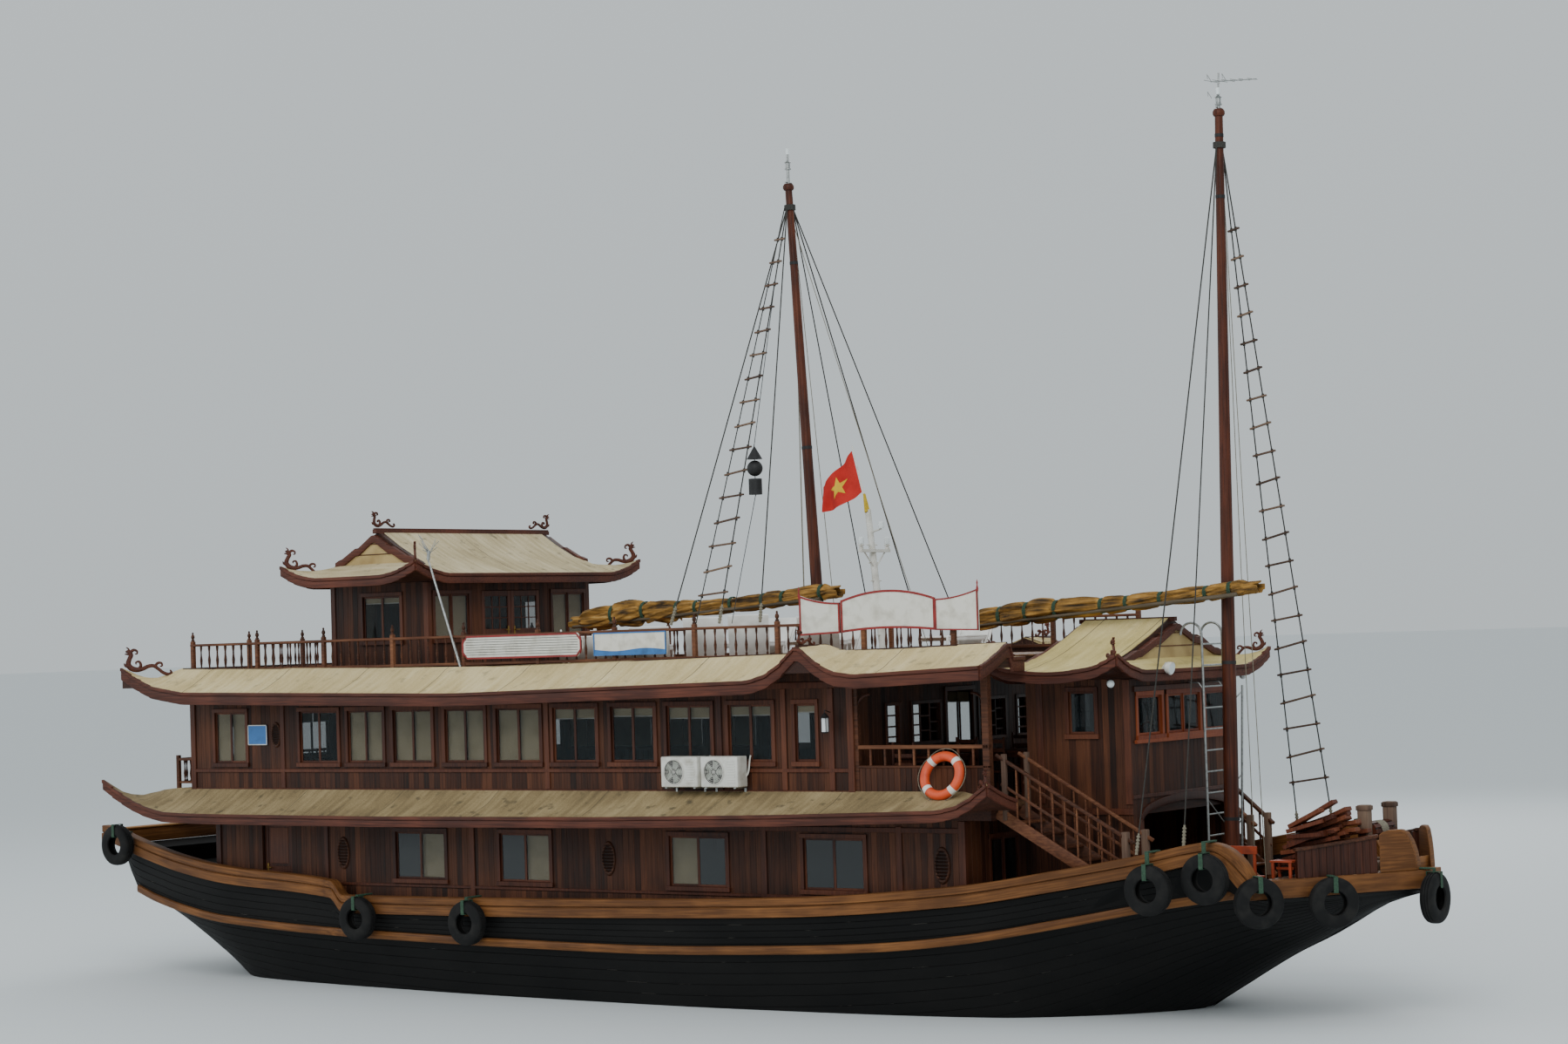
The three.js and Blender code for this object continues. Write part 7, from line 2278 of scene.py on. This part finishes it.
def bundle(boom):
    """A furled sail: a long bundle with folds that wind slowly round it, drawn in at each lashing."""
    columns, rows = BUNDLE_GRID
    heel, tip = (Vector((boom[k][0], BOOM_SIDE, boom[k][1])) for k in ("heel", "tip"))
    along = (tip - heel).normalized()
    up = along.cross(ATHWART)
    if up.z < 0:
        up = -up
    length = (tip - heel).length
    phases = np.random.default_rng(boom["seed"]).random(8) * 6.28
    ties = [0.22 + LASHING_PITCH * k + 0.12 * math.sin(2.2 * k + phases[5])
            for k in range(int(length / LASHING_PITCH))]
    def place(u, v):
        s = u * length
        turn = 2 * math.pi * (round(v * rows) % rows) / rows
        wide, rise = bundle_girth(boom, s, length)
        pinch = 1 - 0.26 * sum(math.exp(-(((s - t) / 0.05) ** 2)) for t in ties)
        belly = 1 + 0.09 * sum(math.exp(-(((s - t - 0.31) / 0.17) ** 2)) for t in ties)
        wind = turn + 0.7 * s + 0.5 * math.sin(1.3 * s + phases[1])
        fold = (0.12 * math.sin(4 * wind + 1.3 * math.sin(2.3 * s + phases[2]))
                + 0.075 * math.sin(7 * wind - 1.3 * s + phases[3])
                + 0.05 * math.sin(12 * wind + 2.4 * math.sin(1.9 * s + phases[4]))
                + 0.025 * math.sin(21 * wind + 2.3 * s))
        crease = -0.05 * max(0.0, math.sin(9 * wind + 1.9 * math.sin(3.1 * s + phases[6]))) ** 3
        end = min(1.0, 0.62 + 2.2 * min(u, 1 - u) * 8)
        radius = wide * pinch * belly * (1 + fold + crease) * end * 0.93
        sag = rise - boom["slack"] * math.sin(math.pi * u)
        point = heel + along * s + ATHWART * (math.sin(turn) * radius)
        return point + up * (math.cos(turn) * radius * 0.94 + sag)

    cloth = grid(columns, rows, place, (length, 2 * math.pi * boom["radius"]))
    return recalculate(cloth, 0.0004, fill=True), heel, along, up, length, ties


def scaled_tail(end, outward, rim, reach):
    """One folded edge of the sail at the end of the bundle, flat and turned a little outwards."""
    turn = math.atan2(rim.y, rim.z)
    tail = settle(rod(end - outward * 0.12 + rim * 0.75, end + outward * reach + rim * 1.25, 0.05, 0.03, 10))
    around = Vector((0, math.cos(turn), -math.sin(turn)))
    radial = Vector((0, math.sin(turn), math.cos(turn)))
    for vertex in tail.data.vertices:
        offset = vertex.co - end - rim
        vertex.co += around * offset.dot(around) * 0.5 - radial * offset.dot(radial) * 0.55
    return tail


# Canvas: ochre cloth with a fine weave. Long dark streaks along the bundle are painted shade between the
# folds, and cloudy dirt darkens it in patches
canvas, tree, shader = blank("ochre_sail_canvas", 0.9)
place = node(tree, "TexCoord").outputs["Object"]
fold_shade_streaks = cloudy(tree, place, 1.0, 6.0, (1.2, 16, 16))
dirt = cloudy(tree, place, 3.0, 6.0)
mixed = blend(tree, [(fold_shade_streaks, 0.65), (dirt, 0.35)])
OCHRES = [(0.38, "#33240f"), (0.49, "#77551f"), (0.6, "#a67a36"), (0.68, "#bd9a5c")]
ramp = node(tree, "ValToRGB", {"Fac": mixed}, OCHRES)
tree.links.new(ramp.outputs["Color"], shader.inputs["Base Color"])
threads = {0: cloudy(tree, place, 350.0), 1: 0.3, 2: fold_shade_streaks}
weave = node(tree, "Math", threads, operation="MULTIPLY_ADD").outputs[0]
bump(tree, shader, weave, 6.0, 0.8)

for key, boom in BOOMS.items():
    body = key + "_boom_body"
    cloth, heel, along, up, length, ties = bundle(boom)
    # Folded edges that fan out past the ends of the bundle
    tails = []
    rng = np.random.default_rng(3)
    for end, outward in ((heel, -along), (heel + along * length, along)):
        for k in range(9):
            t = 2 * math.pi * k / 9 + 0.3
            rim = ATHWART * math.sin(t) * boom["radius"] * 0.5 + up * math.cos(t) * boom["radius"] * 0.5
            tails.append(scaled_tail(end, outward, rim, 0.1 + 0.16 * rng.random()))
    done(join([cloth] + tails), key + "_furled_sail", canvas, body, smooth=60,
         stands_for=(key + "_boom",))
    mast, z = MASTS[key], boom["collar"]
    ring = settle(collar(mast, z, 0.045, 0.12, 28))
    drill = settle(collar(mast, z, 0.006, 0.4, 28))
    ring = bored(ring, drill)
    middle = mast_at(mast, z)[0]
    arm = settle(block((middle.x - 0.05, BOOM_SIDE, z - 0.045), (middle.x + 0.05, 0.0, z + 0.045)))
    arm = bored(arm, drill)
    bpy.data.objects.remove(drill)
    done(eased(join([ring, arm]), 0.004), key + "_boom_collar", black_paint, body)
    under = -up * boom["radius"] * 0.55
    start = heel + ATHWART * -0.115 + under + along * 0.15
    stop = heel + ATHWART * -0.13 + under * 0.8 + along * (length + 0.12)
    pole = rod(start, stop, 0.032, 0.022, 12)
    done(pole, key + "_boom_pole", grey_pole, body, smooth=40)
    lashings = []
    for s in ties:
        wide, rise = bundle_girth(boom, s, length)
        r = wide * 0.78
        for wrap in range(3):
            c = heel + along * (s - 0.022 + 0.022 * wrap)
            circle = [c + ATHWART * math.sin(t) * (r + 0.012) + up * (math.cos(t) * (r * 0.95 + 0.012) + rise)
                      for t in np.linspace(0, 2 * math.pi, 21)]
            lashings.append(rope(circle, 0.0095, 1))
    done(join(lashings), key + "_sail_lashings", green_rope, body, smooth=60)

# %% [markdown]
# ## Standing rigging
# Wire stays spread from each masthead to the rails, set up with lashings at their feet. Wooden rungs between
# two of them make the ladders that lead aloft. A curve could hang in a bow, but all these lines are set up
# tight, so they run straight. The three black day shapes hang beside the main one.

# %% Stays
STAYS = {
    "fore": (13.3, [(9.25, 2.6, 2.56), (9.95, 2.43, 2.68)]),
    "main": (13.2, [(0.84, 2.85, 6.19), (1.83, 2.85, 6.19), (2.65, 2.85, 6.19)]),
}
stay_lines = {}
for key, (z, feet) in STAYS.items():
    mast = MASTS[key]
    top, radius = mast_at(mast, z)
    wires, feet_parts = [], []
    for sign in (-1, 1):
        for x, y, foot_z in feet:
            start, end = top + Vector((0, sign * (radius + 0.02), 0)), Vector((x, sign * y, foot_z))
            stay_lines[key, sign, x] = (start, end)
            wires.append(rod(start, end, 0.011, sides=8))
            along = (start - end).normalized()
            feet_parts.append(rod(end - along * 0.02, end + along * 0.3, 0.024, 0.016, 10))
            for k in range(5):
                c = end + along * (0.05 + 0.05 * k)
                feet_parts.append(rod(c - along * 0.012, c + along * 0.012, 0.03, sides=10))
    drill = settle(collar(mast, z, 0.003, 0.3))
    ring = bored(settle(collar(mast, z, 0.035, 0.09)), drill)
    bpy.data.objects.remove(drill)
    done(join(wires + [ring]), key + "_stay_wires", dark_rope, smooth=40,
         stands_for=(key + "_stays",))
    done(join(feet_parts), key + "_stay_lashings", grey_rope, smooth=40)

# %% Running rigging: taut halyards that come down beside each mast
HALYARDS = {  # height at the mast, and the feet
    "fore": (13.0, [(9.25, 0.35, 1.75), (9.75, 0.5, 1.75), (9.5, 0.62, 1.75)]),
    "main": (12.9, [(1.95, 0.3, 5.54), (1.15, 0.45, 5.54), (3.4, 0.9, 5.54), (0.3, 1.6, 5.54)]),
}
halyards = []
for key, (top_z, feet) in HALYARDS.items():
    top, radius = mast_at(MASTS[key], top_z)
    for x, y, z in feet:
        side = Vector((0, math.copysign(radius + 0.015, y), 0))
        halyards.append(rod(top + side, (x, y, z), 0.0065, sides=6))
done(join(halyards), "halyards", grey_rope)


# %% Ladders aloft
def ladder_aloft(first, second, count, low, high, name):
    """Wooden rungs lashed between two lines from the masthead."""
    rungs, ties = [], []
    for k in range(count):
        t = low + (high - low) * k / (count - 1)
        a, b = first[0].lerp(first[1], t), second[0].lerp(second[1], t)
        past = (b - a).normalized() * 0.07
        twist = Vector((0, 0, 0.02 * math.sin(3.1 * k)))
        rungs.append(spar(a - past - twist, b + past + twist, 0.045, 0.03))
        for p in (a, b):
            ties.append(rod(p - Vector((0, 0, 0.035)), p + Vector((0, 0, 0.035)), 0.021, sides=8))
    done(timbers(rungs, 0.006), name + "_rungs", weathered_wood)
    done(join(ties), name + "_rung_lashings", dark_rope)


start, end = stay_lines["main", -1, 1.83]
beside = (start + Vector((-0.05, 0, 0)), Vector((1.33, -2.84, 6.13)))
done(rod(*beside, 0.009, sides=8), "main_ladder_line", dark_rope)
ladder_aloft((start, end), beside, 16, 0.08, 0.93, "main_ladder")
ladder_aloft(stay_lines["fore", 1, 9.25], stay_lines["fore", 1, 9.95], 21, 0.12, 0.93, "fore_ladder")

# %% Day shapes
hung = start.lerp(end, 0.64) + Vector((0.3, -0.12, 0))


def below(z):
    """A point on the line on which the shapes hang."""
    return hung + Vector((0, 0, z))


cone = rod(below(0.12), below(0.34), 0.13, 0.002, 24)
begin()
bpy.ops.mesh.primitive_uv_sphere_add(radius=0.13, segments=24, ring_count=14, location=below(-0.03))
ball = settle(bpy.context.object)
drum = rod(below(-0.46), below(-0.2), 0.11, sides=24)
cords = [rod(below(-0.48), below(0.36), 0.007, sides=6),
         rod(below(0.34), start.lerp(end, 0.2) + Vector((0.02, -0.02, 0)), 0.006, sides=6),
         rod(below(-0.46), end + Vector((0.25, 0, -0.03)), 0.006, sides=6)]
done(join([cone, ball, drum] + cords), "day_shapes", black_paint, smooth=40)

# %% [markdown]
# ## Signal mast and flag
# The white signal mast carries a crosstree with lamps. The flag hangs from its staff in slack folds, so it
# is a cloth sheet, and the star is a second piece that follows it. Both take their folds from one function
# of waves, because a simulation could let them part.

# %% Signal mast
signal = [
    rod((3.08, 0, 5.51), (2.84, 0, 7.99), 0.07, 0.05, 20),
    settle(block((2.91, -0.42, 7.275), (2.985, 0.42, 7.325))),
    rod((2.95, 0, 7.0), (2.95, -0.3, 7.28), 0.012, sides=8),
    rod((2.95, 0, 7.0), (2.95, 0.3, 7.28), 0.012, sides=8),
    rod((2.845, 0, 7.95), (2.56, 0, 9.08), 0.016, 0.011, 10),
    rod((2.86, 0, 7.6), (3.1, 0, 7.66), 0.014, sides=8),
]
STAND = [(0, 0), (0.035, 0), (0.04, 0.03), (0.02, 0.05), (0.05, 0.06), (0.05, 0.08), (0, 0.09)]
for y in (-0.38, 0.38):
    stand = turned(STAND, 16)
    stand.location = (2.947, y, 7.325)
    signal.append(settle(stand))
for z in np.arange(5.9, 7.7, 0.3):
    c = 3.08 - 0.24 * (z - 5.51) / 2.48
    signal.append(rod((c, -0.15, z), (c, 0.15, z), 0.011, sides=8))
done(join(signal), "signal_mast_frame", white_enamel, smooth=40,
     stands_for=("signal_mast",))
glasses = []
for place in ((2.947, -0.38, 7.415), (2.947, 0.38, 7.415), (3.1, 0, 7.67)):
    part = turned([(0, 0), (0.045, 0), (0.05, 0.05), (0.042, 0.11), (0, 0.12)], 18)
    part.location = place
    glasses.append(settle(part))
done(join(glasses), "signal_lamps", lamp_glass, smooth=40)
STRANDS = 9
tassel = []
for k in range(STRANDS):
    t = 2 * math.pi * k / STRANDS
    top = Vector((2.8, 0.02 * math.cos(t) - 0.03, 8.25 + 0.012 * math.sin(t)))
    hang = Vector((0.02 * math.sin(t) + 0.05, 0.03 * math.cos(t), -0.3))
    tassel.append(rod(top, top + hang, 0.011, 0.016, 6))
done(join(tassel), "yellow_tassel", tassel_yellow)

# %% Flag
HOIST_TOP, HOIST_LOW = Vector((2.566, 0, 8.99)), Vector((2.744, 0, 8.29))
FLY_TOP, FLY_LOW = Vector((1.9, 0, 8.42)), Vector((1.93, 0, 7.99))
FLAG_CUT = (0.9, 0.62)


def flag_point(u, v):
    """A place on the flag. u runs from the hoist to the fly and v from the bottom to the top."""
    low, high = HOIST_LOW.lerp(FLY_LOW, u), HOIST_TOP.lerp(FLY_TOP, u)
    sag = 0.05 * math.sin(math.pi * u) * (1 - 0.5 * v)
    wave = 0.062 * math.sin(9.5 * u - 1.4 * v) * min(1, 3 * u) + 0.022 * math.sin(17 * u + 3 * v) * u
    return low.lerp(high, v) + Vector((-0.012, wave, -sag))


flag = grid(72, 48, flag_point, FLAG_CUT)
star_mesh = bpy.data.meshes.new("star")
tips = []
for k in range(10):
    turn = math.pi / 2 + math.pi * k / 5
    reach = 0.19 if k % 2 == 0 else 0.0726
    tips.append((reach * math.cos(turn), reach * math.sin(turn), 0))
star_mesh.from_pydata([(0, 0, 0)] + tips, [], [(0, k + 1, (k + 1) % 10 + 1) for k in range(10)])
star = bpy.data.objects.new("star", star_mesh)
bpy.context.scene.collection.objects.link(star)
modify(star, "SUBSURF", subdivision_type="SIMPLE", levels=4, render_levels=4)
for vertex in star.data.vertices:
    u, v = 0.5 - vertex.co.x / FLAG_CUT[0], 0.5 + vertex.co.y / FLAG_CUT[1]
    vertex.co = flag_point(u, v)
modify(star, "SOLIDIFY", thickness=0.006, offset=0)
done(star, "flag_star", gold_cloth, smooth=60)
done(flag, "flag_cloth_sheet", red_cloth, smooth=60, stands_for=("flag",))
area = sum(face.area for face in flag.data.polygons)
print("flag area", round(area, 3), "of", FLAG_CUT[0] * FLAG_CUT[1])

# %% [markdown]
# ## Wheelhouse and stern gear
# The helm stands behind the front windows and turns the rudder. Its rim is a torus and its spokes are turned
# on a lathe, as a wheelwright makes them. Under the stern the propeller and the rudder blade are as the
# structure gives them, with the finish of cast bronze and of painted planks.

# %% Helm
HELM = Vector((8.02, 0, 4.13))
SPOKES = 8
SPOKE = [
    (0, 0), (0.014, 0), (0.012, 0.12), (0.018, 0.16), (0.011, 0.2), (0.013, 0.3), (0.02, 0.34),
    (0.013, 0.375), (0, 0.38),
]
wheel = [rod(HELM + Vector((-0.03, 0, 0)), HELM + Vector((0.03, 0, 0)), 0.06, 0.05, 20)]
begin()
bpy.ops.mesh.primitive_torus_add(major_radius=0.27, minor_radius=0.022, major_segments=48, minor_segments=12,
                                 rotation=(0, math.pi / 2, 0), location=HELM)
wheel.append(settle(bpy.context.object))
for k in range(SPOKES):
    spoke = turned(SPOKE, 10)
    spoke.rotation_euler = (2 * math.pi * k / SPOKES, 0, 0)
    spoke.location = HELM
    wheel.append(settle(spoke))
done(join(wheel), "helm_wheel_rim_and_spokes", orange_wood, "helm_body", smooth=40,
     stands_for=("helm_wheel",))

# %% [markdown]
# ## Finishes of the structure
# What is still seen of the structure itself takes a finish too. New pieces could cover it, but where its
# shape is right already, a finish is enough.

# %% Finishes of the remaining structure
NODE_FINISH = {
    "hull": tarred_side, "hull_fore": tarred_side, "topside_starboard": tarred_side,
    "topside_port": tarred_side, "keel": bottom_paint, "rudder": bottom_paint, "propeller": bronze,
    "upper_deck": ceiling_wood, "skirt_roof": ceiling_wood, "main_roof": ceiling_wood,
    "pavilion_roof": ceiling_wood, "wheelhouse_roof": ceiling_wood, "helm_console": frame_wood,
}
for name, piece in NODES.items():
    piece.data.materials.clear()
    piece.data.materials.append(NODE_FINISH.get(name, wall_boards))
print("structure finished")
